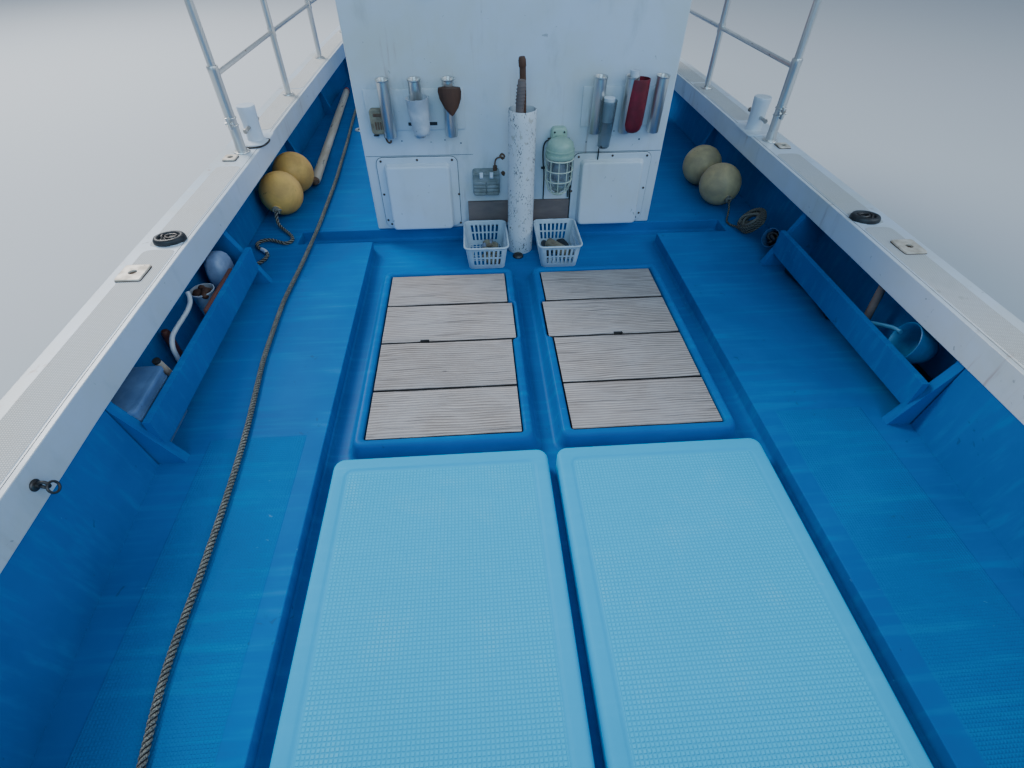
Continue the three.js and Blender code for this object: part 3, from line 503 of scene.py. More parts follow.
# Everything in two tones: material, colours, scale, roughness and slot. Bump, its depth, dots and stretch can follow,
# and the shader's plain inputs
twoTones = {
    "rubber": ("blackRubber", (26, 27, 30), (46, 48, 52), 9, (0.6, 0.8), "black_rubber"),
    "lampGreen": ("lampGreen", (164, 188, 170), (140, 168, 152), 14, (0.4, 0.6), "lamp_plastic"),
    "cage": ("lampCage", (208, 216, 200), (180, 192, 176), 20, (0.4, 0.6), "lamp_plastic"),
    "basket": ("basketPlastic", (192, 208, 220), (168, 186, 200), 12, (0.35, 0.55), "basket_plastic"),
    "floatOchre": ("floatOchre", (230, 180, 92), (192, 148, 80), 9, (0.45, 0.7), "float_plastic", 0.2, 0.001, 0.12),
    "floatBeige": ("floatBeige", (188, 166, 120), (150, 134, 104), 9, (0.45, 0.7), "float_plastic",
        0.2, 0.001, 0.12),
    "socket": ("socketPlastic", (142, 150, 152), (112, 120, 118), 22, (0.5, 0.7), "grey_plastic", 0.2, 0.001, 0.15),
    "greyPlastic": ("greyPlastic", (150, 158, 178), (120, 130, 152), 16, (0.35, 0.5), "grey_plastic"),
    "redPlastic": ("redPlastic", (132, 24, 44), (92, 18, 32), 14, (0.35, 0.5), "grey_plastic"),
    "brown": ("brownWood", (92, 58, 40), (58, 38, 30), 16, (0.6, 0.8), "weathered_wood",
        0.3, 0.001, 0.1, (1, 1, 0.2)),
    "darkBoard": ("darkBoard", (128, 112, 106), (98, 88, 88), 12, (0.7, 0.85), "weathered_wood",
        0.3, 0.001, 0.1, (0.2, 1, 1)),
    "rustIron": ("rustyIron", (96, 70, 54), (126, 104, 88), 30, (0.6, 0.85), "stainless",
        0.5, 0.001, 0.2, {"Metallic": 0.4}),
    "dark": ("darkFitting", (22, 24, 28), (44, 48, 54), 18, (0.4, 0.6), "black_rubber"),
    "bronze": ("castBronze", (168, 132, 74), (128, 104, 66), 14, (0.3, 0.5), "bronze",
        0.2, 0.001, 0.1, {"Metallic": 1.0}),
    "bottom": ("bottomPaint", (20, 66, 128), (40, 84, 122), 6, (0.6, 0.8), "bottom_paint"),
    "iron": ("engineIron", (120, 124, 126), (84, 88, 90), 9, (0.5, 0.7), "engine_iron", 0.3, 0.002, 0.12),
    "grimeLine": ("grimeLine", (96, 92, 88), (140, 136, 130), 30, (0.7, 0.9), "white_gelcoat"),
    "steelWorn": ("wornStainless", (206, 204, 200), (158, 150, 140), 22, (0.3, 0.5), "stainless",
        0.1, 0.0005, 0.16, {"Metallic": 0.85}),
    "holeBrown": ("holeBrown", (50, 38, 30), (82, 60, 44), 60, (0.7, 0.9), "stainless"),
    "plateCream": ("creamPlate", (226, 216, 202), (186, 172, 154), 24, (0.4, 0.6), "stainless",
        0.15, 0.0005, 0.14, {"Metallic": 0.15}),
    "darkMetal": ("darkMetal", (92, 88, 86), (58, 54, 54), 26, (0.35, 0.6), "stainless",
        0.2, 0.0005, 0.12, {"Metallic": 0.7}),
    "greyBlue": ("greyBluePlastic", (74, 104, 148), (56, 84, 124), 14, (0.35, 0.55), "grey_plastic",
        0.1, 0.001, 0.1),
    "canister": ("canisterPlastic", (150, 170, 202), (122, 144, 178), 14, (0.35, 0.55), "grey_plastic",
        0.1, 0.001, 0.08),
    "teal": ("tealPlastic", (22, 128, 178), (18, 100, 150), 14, (0.3, 0.5), "grey_plastic", 0.1, 0.001, 0.08),
    "paleBlue": ("paleBluePlastic", (92, 160, 196), (72, 138, 178), 14, (0.35, 0.55), "grey_plastic"),
    "rustWood": ("orangeWood", (112, 62, 50), (84, 50, 44), 18, (0.6, 0.8), "weathered_wood",
        0.3, 0.001, 0.14, (1, 0.2, 1)),
    "redBrown": ("redBrownPlastic", (112, 66, 56), (86, 52, 46), 18, (0.4, 0.6), "grey_plastic"),
    "poleWood": ("paintedPole", (206, 200, 186), (168, 152, 130), 9, (0.5, 0.75), "weathered_wood",
        0.3, 0.001, 0.2, (1, 0.15, 1)),
    "milky": ("milkyPlastic", (206, 212, 220), (176, 184, 194), 16, (0.3, 0.5), "grey_plastic",
        0.1, 0.001, 0.1, {"Subsurface_Weight": 0.15, "Subsurface_Radius": (0.01, 0.01, 0.01)}),
    "agedBeige": ("agedBeige", (150, 142, 120), (112, 100, 84), 26, (0.5, 0.75), "stainless", 0.4, 0.001, 0.2),
    "buoyOrange": ("buoyOrange", (226, 92, 34), (206, 78, 34), 7, (0.45, 0.65), "float_plastic", 0.1, 0.001, 0.08),
    "cratePlastic": ("cratePlastic", (104, 134, 172), (82, 112, 152), 14, (0.35, 0.55), "grey_plastic",
        0.1, 0.001, 0.08),
    "screen": ("instrumentScreen", (18, 26, 36), (26, 38, 50), 5, (0.12, 0.2), "black_rubber", 0.0),
    "cushion": ("cushionVinyl", (44, 66, 104), (56, 78, 116), 12, (0.45, 0.6), "black_rubber", 0.3, 0.0006),
    "zinc": ("zincAnode", (168, 170, 168), (132, 134, 134), 30, (0.6, 0.8), "stainless",
        0.6, 0.001, 0.2, {"Metallic": 0.4}),
}
for key, (name, first, second, scale, rough, slot, *more) in twoTones.items():
    plain = more.pop() if more and isinstance(more[-1], dict) else {}
    mats[key] = material(name, twoTone(srgb(*first), srgb(*second), scale, rough, *more), slot, **plain)
print("materials made", len(mats))


# Making pieces

def asPiece(name, bm, mat, body="boat", smooth=45):
    mesh = bpy.data.meshes.new(name)
    bmesh.ops.recalc_face_normals(bm, faces=bm.faces)
    bm.to_mesh(mesh)
    bm.free()
    piece = bpy.data.objects.new(name, mesh)
    scene.collection.objects.link(piece)
    for one in mat if isinstance(mat, (list, tuple)) else [mat]:
        mesh.materials.append(mats[one])
    for face in mesh.polygons:
        face.use_smooth = True
    if smooth is not None:
        mesh.set_sharp_from_angle(angle=radians(smooth))
    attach(piece, body)
    return piece


def addBox(bm, low, high, bevel=0.0, segments=2, turn=None, index=0):
    size = [b - a for a, b in zip(low, high)]
    own = bmesh.new()
    bmesh.ops.create_cube(own, size=1.0)
    bmesh.ops.scale(own, vec=size, verts=own.verts)
    if bevel:
        bmesh.ops.bevel(own, geom=own.edges, offset=bevel, segments=segments, affect="EDGES", profile=0.5)
    if turn is not None:
        bmesh.ops.transform(own, matrix=turn.to_4x4(), verts=own.verts)
    bmesh.ops.translate(own, vec=[(a + b) / 2 for a, b in zip(low, high)], verts=own.verts)
    # Bevel's own order differs from run to run, so the corners and faces are sorted
    corners = sorted(own.verts, key=lambda v: [round(c, 6) for c in v.co])
    rank = {v: k for k, v in enumerate(corners)}
    made = [bm.verts.new(v.co) for v in corners]
    rows = []
    for face in own.faces:
        row = [rank[v] for v in face.verts]
        first = row.index(min(row))
        rows.append(row[first:] + row[:first])
    own.free()
    for row in sorted(rows):
        bm.faces.new([made[k] for k in row]).material_index = index
    return made


def turns(count):
    # Angles once round a circle
    return [2 * pi * k / count for k in range(count)]


def frameAlong(direction):
    z = Vector(direction).normalized()
    x = z.orthogonal().normalized()
    return Matrix((x, z.cross(x), z)).transposed()


def addRod(bm, start, end, radius, endRadius=None, sides=16, index=0, caps=True):
    a, b = Vector(start), Vector(end)
    made = bmesh.ops.create_cone(bm, cap_ends=caps, segments=sides, radius1=radius,
        radius2=radius if endRadius is None else endRadius, depth=(b - a).length)["verts"]
    bmesh.ops.transform(bm, matrix=Matrix.Translation((a + b) / 2) @ frameAlong(b - a).to_4x4(), verts=made)
    for face in {f for v in made for f in v.link_faces}:
        face.material_index = index
    return made


def addTurned(bm, profile, centre, direction=(0, 0, 1), sides=24, index=0):
    # Profile rows are radius and height along the direction. A radius of 0 closes it to a point
    turn = Matrix.Translation(centre) @ frameAlong(direction).to_4x4()
    rings = []
    for radius, height in profile:
        if radius < 1e-6:
            rings.append([bm.verts.new(turn @ Vector((0, 0, height)))])
        else:
            rings.append([bm.verts.new(turn @ Vector((radius * cos(a), radius * sin(a), height)))
                for a in turns(sides)])
    for low, high in zip(rings, rings[1:]):
        for k in range(sides):
            n = (k + 1) % sides
            corners = [low[k % len(low)], low[n % len(low)], high[n % len(high)], high[k % len(high)]]
            unique = list(dict.fromkeys(corners))
            if len(unique) > 2:
                bm.faces.new(unique).material_index = index
    return rings


def addLathe(bm, rows, centre, direction=(0, 0, 1), sides=24, index=0):
    # Its rows are in millimetres
    return addTurned(bm, [(r / 1000, h / 1000) for r, h in rows], centre, direction, sides, index)


def addSweep(bm, points, radius, sides=10, index=0, closed=False, flat=1.0, caps=True):
    # A tube along points, which may have its own radius at each
    pts = [Vector(p) for p in points]
    count = len(pts)
    rings = []
    normal = None
    for k, p in enumerate(pts):
        before = pts[k - 1] if k or closed else p
        after = pts[(k + 1) % count] if k + 1 < count or closed else p
        ahead = (after - before).normalized()
        if normal is None:
            normal = ahead.orthogonal().normalized()
        normal = (normal - ahead * normal.dot(ahead)).normalized()
        side = ahead.cross(normal)
        r = radius[k] if isinstance(radius, (list, tuple)) else radius
        rings.append([bm.verts.new(p + r * (cos(a) * normal + flat * sin(a) * side)) for a in turns(sides)])
    for k in range(count if closed else count - 1):
        low, high = rings[k], rings[(k + 1) % count]
        for j in range(sides):
            n = (j + 1) % sides
            bm.faces.new((low[j], low[n], high[n], high[j])).material_index = index
    if not closed and caps:
        bm.faces.new(list(reversed(rings[0]))).material_index = index
        bm.faces.new(rings[-1]).material_index = index
    return rings


def addHoop(bm, centre, radius, wire, sides=8, index=0, steps=24):
    # A ring of wire that lies level
    x, y, z = centre
    addSweep(bm, [(x + radius * cos(a), y + radius * sin(a), z) for a in turns(steps)], wire, sides, index,
        closed=True)


def addSideBox(bm, side, low, high, bevel=0.0, segments=2, index=0):
    # A box given for starboard, on either side
    a, b = sorted((side * low[0], side * high[0]))
    addBox(bm, (a, *low[1:]), (b, *high[1:]), bevel, segments, index=index)


def smoothLine(points, steps):
    # Centripetal curve through the points, as in the part's own ropes
    pts = [Vector(p) for p in points]
    first, last = 2 * pts[0] - pts[1], 2 * pts[-1] - pts[-2]
    pts = [first] + pts + [last]
    made = []
    for k in range(1, len(pts) - 2):
        p0, p1, p2, p3 = pts[k - 1:k + 3]
        t = [0.0]
        for a, b in ((p0, p1), (p1, p2), (p2, p3)):
            t.append(t[-1] + max((b - a).length, 1e-6) ** 0.5)
        count = steps if isinstance(steps, int) else max(2, ceil((p2 - p1).length / steps))
        for s in range(count):
            u = t[1] + (t[2] - t[1]) * s / count
            a1 = p0 + (p1 - p0) * ((u - t[0]) / (t[1] - t[0]))
            a2 = p1 + (p2 - p1) * ((u - t[1]) / (t[2] - t[1]))
            a3 = p2 + (p3 - p2) * ((u - t[2]) / (t[3] - t[2]))
            b1 = a1 + (a2 - a1) * ((u - t[0]) / (t[2] - t[0]))
            b2 = a2 + (a3 - a2) * ((u - t[1]) / (t[3] - t[1]))
            made.append(b1 + (b2 - b1) * ((u - t[1]) / (t[2] - t[1])))
    return made + [pts[-2]]


def pathLength(points):
    return sum((b - a).length for a, b in zip(points, points[1:]))


def topEdges(node):
    # y, inner x, outer x and z along the top of a gunwale, all for its own side
    rows = {}
    for v in frame["nodes"][node].data.vertices:
        rows.setdefault(round(v.co.y, 3), []).append(v.co)
    made = []
    for y, points in sorted(rows.items()):
        top = max(p.z for p in points)
        across = [abs(p.x) for p in points if p.z > top - 0.003]
        if max(across) - min(across) > 0.16:
            made.append((y, min(across), max(across), top))
    return made


def alongEdge(rows, y):
    for a, b in zip(rows, rows[1:]):
        if a[0] <= y <= b[0]:
            return between(a, b, (y - a[0]) / (b[0] - a[0]))[1:]
    return list(rows[0][1:] if y < rows[0][0] else rows[-1][1:])


def between(a, b, t):
    return [u + (v - u) * t for u, v in zip(a, b)]


def levelTop(node, bm):
    # The plates and the cleat that are fused to the beam go down to its top
    rows = topEdges(node)
    for v in bm.verts:
        if rows[0][0] < v.co.y < rows[-1][0]:
            v.co.z = min(v.co.z, alongEdge(rows, v.co.y)[2])


def softened(node, width, mat, before=None, segments=3, angle=25):
    # The CAD node's own mesh with rounded edges, which then stands for it
    source = frame["nodes"][node]
    bm = bmesh.new()
    bm.from_mesh(source.data)
    if before:
        before(node, bm)
    bmesh.ops.remove_doubles(bm, verts=bm.verts, dist=2e-5)
    bmesh.ops.dissolve_limit(bm, angle_limit=radians(0.05 if before else 0.6), verts=bm.verts, edges=bm.edges)
    mesh = bpy.data.meshes.new(node + "_soft")
    bm.to_mesh(mesh)
    bm.free()
    piece = bpy.data.objects.new(node + "_soft", mesh)
    scene.collection.objects.link(piece)
    bevel = piece.modifiers.new("round", "BEVEL")
    bevel.width = width
    bevel.segments = segments
    bevel.limit_method = "ANGLE"
    bevel.angle_limit = radians(angle)
    bevel.use_clamp_overlap = True
    bevel.miter_outer = "MITER_ARC"
    even = piece.modifiers.new("even", "WEIGHTED_NORMAL")
    even.weight = 80
    for face in mesh.polygons:
        face.use_smooth = True
    bpy.context.view_layer.update()
    rounded = bpy.data.meshes.new_from_object(piece.evaluated_get(bpy.context.evaluated_depsgraph_get()))
    piece.modifiers.clear()
    piece.data = rounded
    rounded.materials.clear()
    rounded.materials.append(mats[mat])
    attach(piece, nodeBody[node])
    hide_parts(node)
    return piece


def paintNode(node, mat):
    target = frame["nodes"][node]
    target.data.materials.clear()
    target.data.materials.append(mats[mat])


# Cords

cords = {
    "mooring": {
        "node": "mooring_rope", "diameter": 0.019, "pitch": 0.037, "mat": "rope", "far": "knot", "route": [
            (0.044, 3.975, 0.79), (0.075, 3.915, 0.7495), (0.14, 3.82, 0.7315), (0.28, 3.6, 0.7315),
            (0.47, 3.3, 0.7305), (0.64, 3.0, 0.7305), (0.76, 2.78, 0.7305), (0.806, 2.66, 0.7305),
            (0.824, 2.6, 0.7295), (0.83, 2.5815, 0.728), (0.834, 2.5635, 0.716), (0.837, 2.5515, 0.698),
            (0.839, 2.5475, 0.677), (0.842, 2.5475, 0.63), (0.847, 2.5475, 0.56), (0.852, 2.5475, 0.488),
            (0.855, 2.5435, 0.467), (0.859, 2.5315, 0.449), (0.864, 2.511, 0.4345), (0.87, 2.49, 0.4305)] + [
            (x, y, 0.4305) for x, y in (
                (0.888, 2.4), (0.915, 2.22), (0.938, 2.044), (0.942, 1.809), (0.953, 1.534), (0.967, 1.342),
                (0.987, 1.161), (1.005, 1.004), (1.015, 0.828), (1.022, 0.627), (1.012, 0.353), (1.008, 0.16),
                (1.006, -0.03), (1.01, -0.3), (1.016, -0.584), (1.032, -0.91), (1.049, -1.241), (1.075, -1.64),
                (1.092, -2.012), (1.088, -2.35), (1.07, -2.7), (1.035, -3.05))]},
    "lanyardStarboard": {
        "node": "lanyard_starboard", "diameter": 0.018, "pitch": 0.058, "mat": "rope", "far": "object", "route": [
            (1.217, -0.096, 0.487), (1.216, -0.072, 0.462), (1.206, -0.048, 0.44), (1.18, -0.018, 0.431),
            (1.14, 0.03, 0.43), (1.112, 0.076, 0.43), (1.108, 0.112, 0.43), (1.13, 0.13, 0.43),
            (1.17, 0.112, 0.43), (1.212, 0.092, 0.43), (1.25, 0.098, 0.43), (1.268, 0.128, 0.43),
            (1.25, 0.166, 0.43), (1.214, 0.198, 0.43), (1.19, 0.236, 0.43), (1.196, 0.282, 0.43),
            (1.222, 0.322, 0.43), (1.244, 0.372, 0.43), (1.25, 0.433, 0.43)]},
    "lanyardPort": {
        "node": "lanyard_port", "diameter": 0.012, "pitch": 0.04, "mat": "ropeTan", "far": "bare", "route": [
            (-1.146, -0.079, 0.496), (-1.148, -0.066, 0.482), (-1.149, -0.054, 0.466), (-1.146, -0.038, 0.446),
            (-1.138, -0.018, 0.431), (-1.126, 0.006, 0.427), (-1.115, 0.032, 0.427), (-1.113, 0.056, 0.427),
            (-1.12, 0.084, 0.4285), (-1.13, 0.11, 0.435)]},
}
# The port lanyard goes on into a coil of its own turns
coilRing = {"centre": (-1.183, 0.152, 0.4895), "axis": (0.7, -0.1, 0.71), "radius": 0.06, "turns": 6, "steps": 24}


def coilTurns(p):
    axis = Vector(p["axis"]).normalized()
    down = (Vector((0, 0, -1)) + axis * axis.z).normalized()
    ahead = axis.cross(down)
    if ahead.y < 0:
        ahead = -ahead
    cells = [(0.0065, -0.0135), (-0.0065, -0.013), (-0.006, 0.0005), (0.0065, 0.0005), (0.006, 0.014),
        (-0.0065, 0.0135)]
    made = []
    for k in range(2, p["turns"] * p["steps"] - 2):
        turn, part = divmod(k, p["steps"])
        blend = part / p["steps"]
        blend = blend * blend * (3 - 2 * blend)
        a, b = cells[turn], cells[min(turn + 1, p["turns"] - 1)]
        rad = a[0] + (b[0] - a[0]) * blend
        ax = a[1] + (b[1] - a[1]) * blend
        t = 2 * pi * k / p["steps"]
        r = p["radius"] + rad + 0.0018 * sin(2 * t + turn)
        made.append(tuple(Vector(p["centre"]) + r * (cos(t) * down + sin(t) * ahead) + ax * axis))
    return made


cords["lanyardPort"]["route"] += coilTurns(coilRing)


def layRope(bm, line, diameter, pitch, strands=3, sides=6, index=0):
    # Strands twisted round the line, with how deep each point lies in the groove, which the rope's material darkens
    # as painted shade
    depth = bm.verts.layers.float.get("strandDeep") or bm.verts.layers.float.new("strandDeep")
    step = min(diameter * 0.3, pitch / 12)
    even = [line[0]]
    spare = 0.0
    for a, b in zip(line, line[1:]):
        gap = (b - a).length
        at = step - spare
        while at <= gap:
            even.append(a.lerp(b, at / gap))
            at += step
        spare = gap - (at - step)
    if (even[-1] - line[-1]).length > step * 0.3:
        even.append(line[-1])
    r = diameter / 2
    for s in range(strands):
        points = []
        normal = None
        for k, p in enumerate(even):
            ahead = (even[min(k + 1, len(even) - 1)] - even[max(k - 1, 0)]).normalized()
            if normal is None:
                normal = ahead.orthogonal().normalized()
            normal = (normal - ahead * normal.dot(ahead)).normalized()
            angle = 2 * pi * (k * step / pitch + s / strands)
            points.append(p + r * 0.536 * (cos(angle) * normal + sin(angle) * ahead.cross(normal)))
        for p, ring in zip(even, addSweep(bm, points, r * 0.464, sides, index)):
            for v in ring:
                v[depth] = max(0.0, 1 - (v.co - p).length / r)


def makeCord(key, p):
    line = smoothLine(p["route"], max(0.008, p["diameter"] * 0.7))
    bm = bmesh.new()
    layRope(bm, line, p["diameter"], p["pitch"])
    piece = asPiece(key, bm, p["mat"], smooth=60)
    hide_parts(p["node"])
    return piece, line


ropePieces = {}
for key, p in cords.items():
    ropePieces[key], p["line"] = makeCord(key, p)


def makeRopeKnot():
    # Overhand knot on the mooring rope's end, in the ball that its solid gives it
    bm = bmesh.new()
    centre = Vector((1.03, -3.079, 0.4445))
    loops = []
    for a in turns(72):
        r = 0.0135 + 0.0045 * cos(3 * a)
        loops.append(centre + Vector((r * cos(2 * a), 1.12 * r * sin(2 * a), 0.0095 * sin(3 * a))))
    addSweep(bm, loops, 0.0088, 8, closed=True)
    knot = asPiece("mooringKnot", bm, "rope", smooth=60)
    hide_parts("mooring_rope_knot")
    return knot


def makeSleeve():
    # White plastic sleeve round the starboard lanyard
    line = cords["lanyardStarboard"]["line"]
    at = min(range(len(line)), key=lambda k: (line[k] - Vector((1.214, 0.198, 0.43))).length)
    part = line[at - 2:at + 3]
    bm = bmesh.new()
    addSweep(bm, part, [0.0092, 0.0098, 0.0099, 0.0098, 0.0092], 16)
    return asPiece("lanyardSleeve", bm, "whiteClean", smooth=60)


def makeHank():
    # Loose turns through the middle of the coil
    bm = bmesh.new()
    centre = Vector(coilRing["centre"])
    turn = frameAlong(coilRing["axis"])
    for k, (shift, wide, tall, lift) in enumerate(((0.01, 0.034, 0.052, 0.016), (-0.012, 0.03, 0.05, -0.01),
            (0.0, 0.044, 0.036, 0.004), (0.004, 0.026, 0.056, -0.02))):
        points = []
        for j in range(44):
            a = 2 * pi * j / 44
            r = 1 + 0.16 * sin(3 * a + k * 1.7)
            points.append(centre + turn @ Vector((shift + wide * r * cos(a + k * 0.8), tall * r * sin(a + k * 0.8),
                lift + 0.01 * sin(2 * a + k))))
        addSweep(bm, points, 0.006, 8, closed=True)
    return asPiece("lanyardHank", bm, "ropeTan", smooth=60)


mooringKnot = makeRopeKnot()
hank = makeHank()
lanyardSleeve = makeSleeve()
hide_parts("lanyard_coil_port")
for key, others, lay in (("mooring", [mooringKnot], "loose"), ("lanyardStarboard", [lanyardSleeve], "loose"),
        ("lanyardPort", [hank], "coiled")):
    p = cords[key]
print("cords laid", {k: round(pathLength(p["line"]), 2) for k, p in cords.items()})

# Hatch floor, rims, lids and planks

def roundedLoop(x0, x1, y0, y1, r, corner=5, notch=None):
    # Points round a rectangle. The notch is a low and high y and a depth, in the side at x0
    made = []
    for cx, cy, turn in ((x1 - r, y0 + r, -0.5), (x1 - r, y1 - r, 0.0), (x0 + r, y1 - r, 0.5),
            (x0 + r, y0 + r, 1.0)):
        made += [(cx + r * cos(pi * (turn + 0.5 * k / corner)), cy + r * sin(pi * (turn + 0.5 * k / corner)))
            for k in range(corner + 1)]
        if notch and turn == 0.5:
            low, high, deep = notch
            made += [(x0, high + 0.014), (x0 - deep * 0.85, high + 0.001), (x0 - deep, high - 0.01),
                (x0 - deep, low + 0.01), (x0 - deep * 0.85, low - 0.001), (x0, low - 0.014)]
    return made


def addLoops(bm, loops, ring=False, caps=(), index=0):
    made = [[bm.verts.new(p) for p in loop] for loop in loops]
    for low, high in list(zip(made, made[1:])) + ([(made[-1], made[0])] if ring else []):
        for k in range(len(low)):
            n = (k + 1) % len(low)
            bm.faces.new((low[k], low[n], high[n], high[k])).material_index = index
    for which in caps:
        bm.faces.new(made[which]).material_index = index
    return made


def addSlab(bm, box, corner, rows, shrink=0, up="z", base=0, side=1, caps=(0, -1), index=0, steps=5, ring=False):
    # Rounded rectangles one over the other. Rows are inset and height in millimetres, and up is the height's axis
    x0, x1, y0, y1 = box
    loops = []
    for inset, rise in rows:
        d, h = inset / 1000, base + rise / 1000
        flat = roundedLoop(x0 + d, x1 - d, y0 + d, y1 - d, corner - shrink * d, steps)
        loops.append([{"x": (side * h, u, v), "y": (side * u, h, v), "z": (side * u, v, h)}[up] for u, v in flat])
    addLoops(bm, loops, ring, caps, index)


def smoothStep(t):
    t = min(1.0, max(0.0, t))
    return t * t * (3 - 2 * t)


floorPlan = {
    "outline": [(-1.0794, 0.0046), (1.0794, 0.0046), (1.0794, 0.1244), (0.7144, 0.1244), (0.7144, 2.5948),
                (-0.7144, 2.5948), (-0.7144, 0.1244), (-1.0794, 0.1244)],
    "top": 0.36, "under": 0.3488, "fillet": 0.016,
    "boardWell": (0.098, 0.574, 0.455, 1.368), "lidWell": (0.092, 0.592, 1.55, 2.342),
    "coaming": (0.057, 0.627, 1.515, 2.377), "coamingTop": 0.405,
}


def insetPolygon(points, d):
    # Each side moved inwards by d, with square corners
    made = []
    for k, (x, y) in enumerate(points):
        ax, ay = points[k - 1]
        bx, by = points[(k + 1) % len(points)]
        a = Vector((x - ax, y - ay)).normalized()
        b = Vector((bx - x, by - y)).normalized()
        made.append((x - (a.y + b.y) * d, y + (a.x + b.x) * d))
    return made


def makeFloor(p):
    bm = bmesh.new()
    outline, r, top = p["outline"], p["fillet"], p["top"]
    loops = []
    for angle in (0, 22.5, 45, 67.5, 90):
        a = radians(angle)
        loops.append([(x, y, top + r * (1 - cos(a))) for x, y in insetPolygon(outline, r * (1 - sin(a)))])
    loops.insert(0, [(x, y, top) for x, y in insetPolygon(outline, r + 0.002)])
    loops.append([(x, y, p["under"]) for x, y in outline])
    made = addLoops(bm, loops)
    holesTop, holesLow = [], []
    for side in (1, -1):
        for kind in ("boardWell", "lidWell"):
            x0, x1, y0, y1 = p[kind]
            loop = [(side * x, y) for x, y in roundedLoop(x0, x1, y0, y1, 0.012)]
            low = [bm.verts.new((x, y, p["under"])) for x, y in loop]
            if kind == "lidWell":
                a, b, c, d = p["coaming"]
                rise = [(side * x, y) for x, y in roundedLoop(a, b, c, d, 0.03)]
                rows = [[(x, y, top) for x, y in insetLoop(rise, -0.012, side)],
                    [(x, y, top + 0.004) for x, y in insetLoop(rise, -0.004, side)],
                    [(x, y, top + 0.012) for x, y in rise], [(x, y, p["coamingTop"] - 0.004) for x, y in rise],
                    [(x, y, p["coamingTop"]) for x, y in insetLoop(rise, 0.004, side)],
                    [(x, y, p["coamingTop"]) for x, y in loop]]
                walls = addLoops(bm, rows)
                holesTop.append(walls[0])
                upper = walls[-1]
            else:
                upper = [bm.verts.new((x, y, top)) for x, y in loop]
                holesTop.append(upper)
            for k in range(len(loop)):
                n = (k + 1) % len(loop)
                bm.faces.new((upper[k], upper[n], low[n], low[k]))
            holesLow.append(low)
    for outer, holes in ((made[0], holesTop), (made[-1], holesLow)):
        edges = []
        for loop in [outer] + holes:
            for k, v in enumerate(loop):
                n = loop[(k + 1) % len(loop)]
                edges.append(bm.edges.get((v, n)) or bm.edges.new((v, n)))
        bmesh.ops.triangle_fill(bm, edges=edges, use_beauty=True)
    piece = asPiece("hatchFloor", bm, "blue", smooth=50)
    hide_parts("hatch_deck")


def insetLoop(loop, d, side=1):
    # A rounded loop with each point moved along its own normal, inwards for a positive d
    made = []
    for k, (x, y) in enumerate(loop):
        ax, ay = loop[k - 1]
        bx, by = loop[(k + 1) % len(loop)]
        t = Vector((bx - ax, by - ay)).normalized() * side
        made.append((x - t.y * d, y + t.x * d))
    return made


hatchRim = {
    "outer": (0.032, 0.641, 0.39, 1.433), "hole": (0.079, 0.594, 0.433, 1.39), "well": (0.098, 0.574, 0.455, 1.368),
    "corners": (0.04, 0.012), "notch": (0.672, 0.905, 0.02), "width": 0.047,
    # inset from the outer edge and height
    "rows": [(-0.0135, 0.3606), (-0.007, 0.3622), (-0.001, 0.3668), (0.003, 0.375), (0.009, 0.394), (0.0125, 0.406),
             (0.0155, 0.4135), (0.0195, 0.418), (0.0245, 0.4199), (0.033, 0.4202), (0.04, 0.4192), (0.044, 0.4165),
             (0.046, 0.4115), (0.047, 0.404), (0.047, 0.3862)],
}


def makeRim(name, side):
    p = hatchRim
    low, high, deep = p["notch"]
    bm = bmesh.new()
    loops = []
    for inset, z in p["rows"]:
        t = inset / p["width"]
        cut = (low, high, deep * smoothStep((inset - 0.01) / 0.031) + 1e-5)
        box = between(p["outer"], p["hole"], t)
        loop = roundedLoop(*box, max(0.008, p["corners"][0] + (p["corners"][1] - p["corners"][0]) * t), notch=cut)
        loops.append([(side * x, y, z) for x, y in loop])
    for z in (0.3862, 0.3606):
        loops.append([(side * x, y, z) for x, y in roundedLoop(*p["well"], 0.008, notch=(low, high, 1e-5))])
    addLoops(bm, loops, ring=True)
    rim = asPiece("hatchRim" + name, bm, "blue", smooth=60)
    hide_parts("hatch_rim_" + name.lower())


hatchLid = {
    "box": (0.014, 0.666, 1.471, 2.431), "field": (0.056, 0.624, 1.517, 2.386),
    "skirt": [(0.0, 0.3665), (0.0, 0.4185)],
    "edge": [(0.0012, 0.4235), (0.004, 0.4282), (0.008, 0.431), (0.013, 0.432), (0.018, 0.432)],
    "step": [(-0.0065, 0.432), (-0.003, 0.4316), (0.0, 0.43), (0.003, 0.4292), (0.008, 0.429)],
    "under": [(0.012, 0.419), (0.012, 0.3665)],
}


def makeLid(name, side):
    p = hatchLid
    bm = bmesh.new()
    loops = []
    for base, rows, r in (("box", p["skirt"] + p["edge"], 0.034), ("field", p["step"], 0.024)):
        for d, z in rows:
            x0, x1, y0, y1 = p[base]
            loops.append([(side * x, y, z) for x, y in roundedLoop(x0 + d, x1 - d, y0 + d, y1 - d,
                max(0.01, r - d))])
    made = addLoops(bm, loops, caps=(-1,))
    x0, x1, y0, y1 = p["box"]
    d = p["under"][0][0]
    tray = [[(side * x, y, z) for x, y in roundedLoop(x0 + d, x1 - d, y0 + d, y1 - d, 0.024)]
        for _, z in p["under"]]
    inner = addLoops(bm, tray, caps=(0,))
    for k in range(len(made[0])):
        n = (k + 1) % len(made[0])
        bm.faces.new((made[0][k], made[0][n], inner[-1][n], inner[-1][k]))
    lid = asPiece("hatchLid" + name, bm, "blueLid", body=nodeBody["hatch_lid_" + name.lower()], smooth=50)
    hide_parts("hatch_lid_" + name.lower())


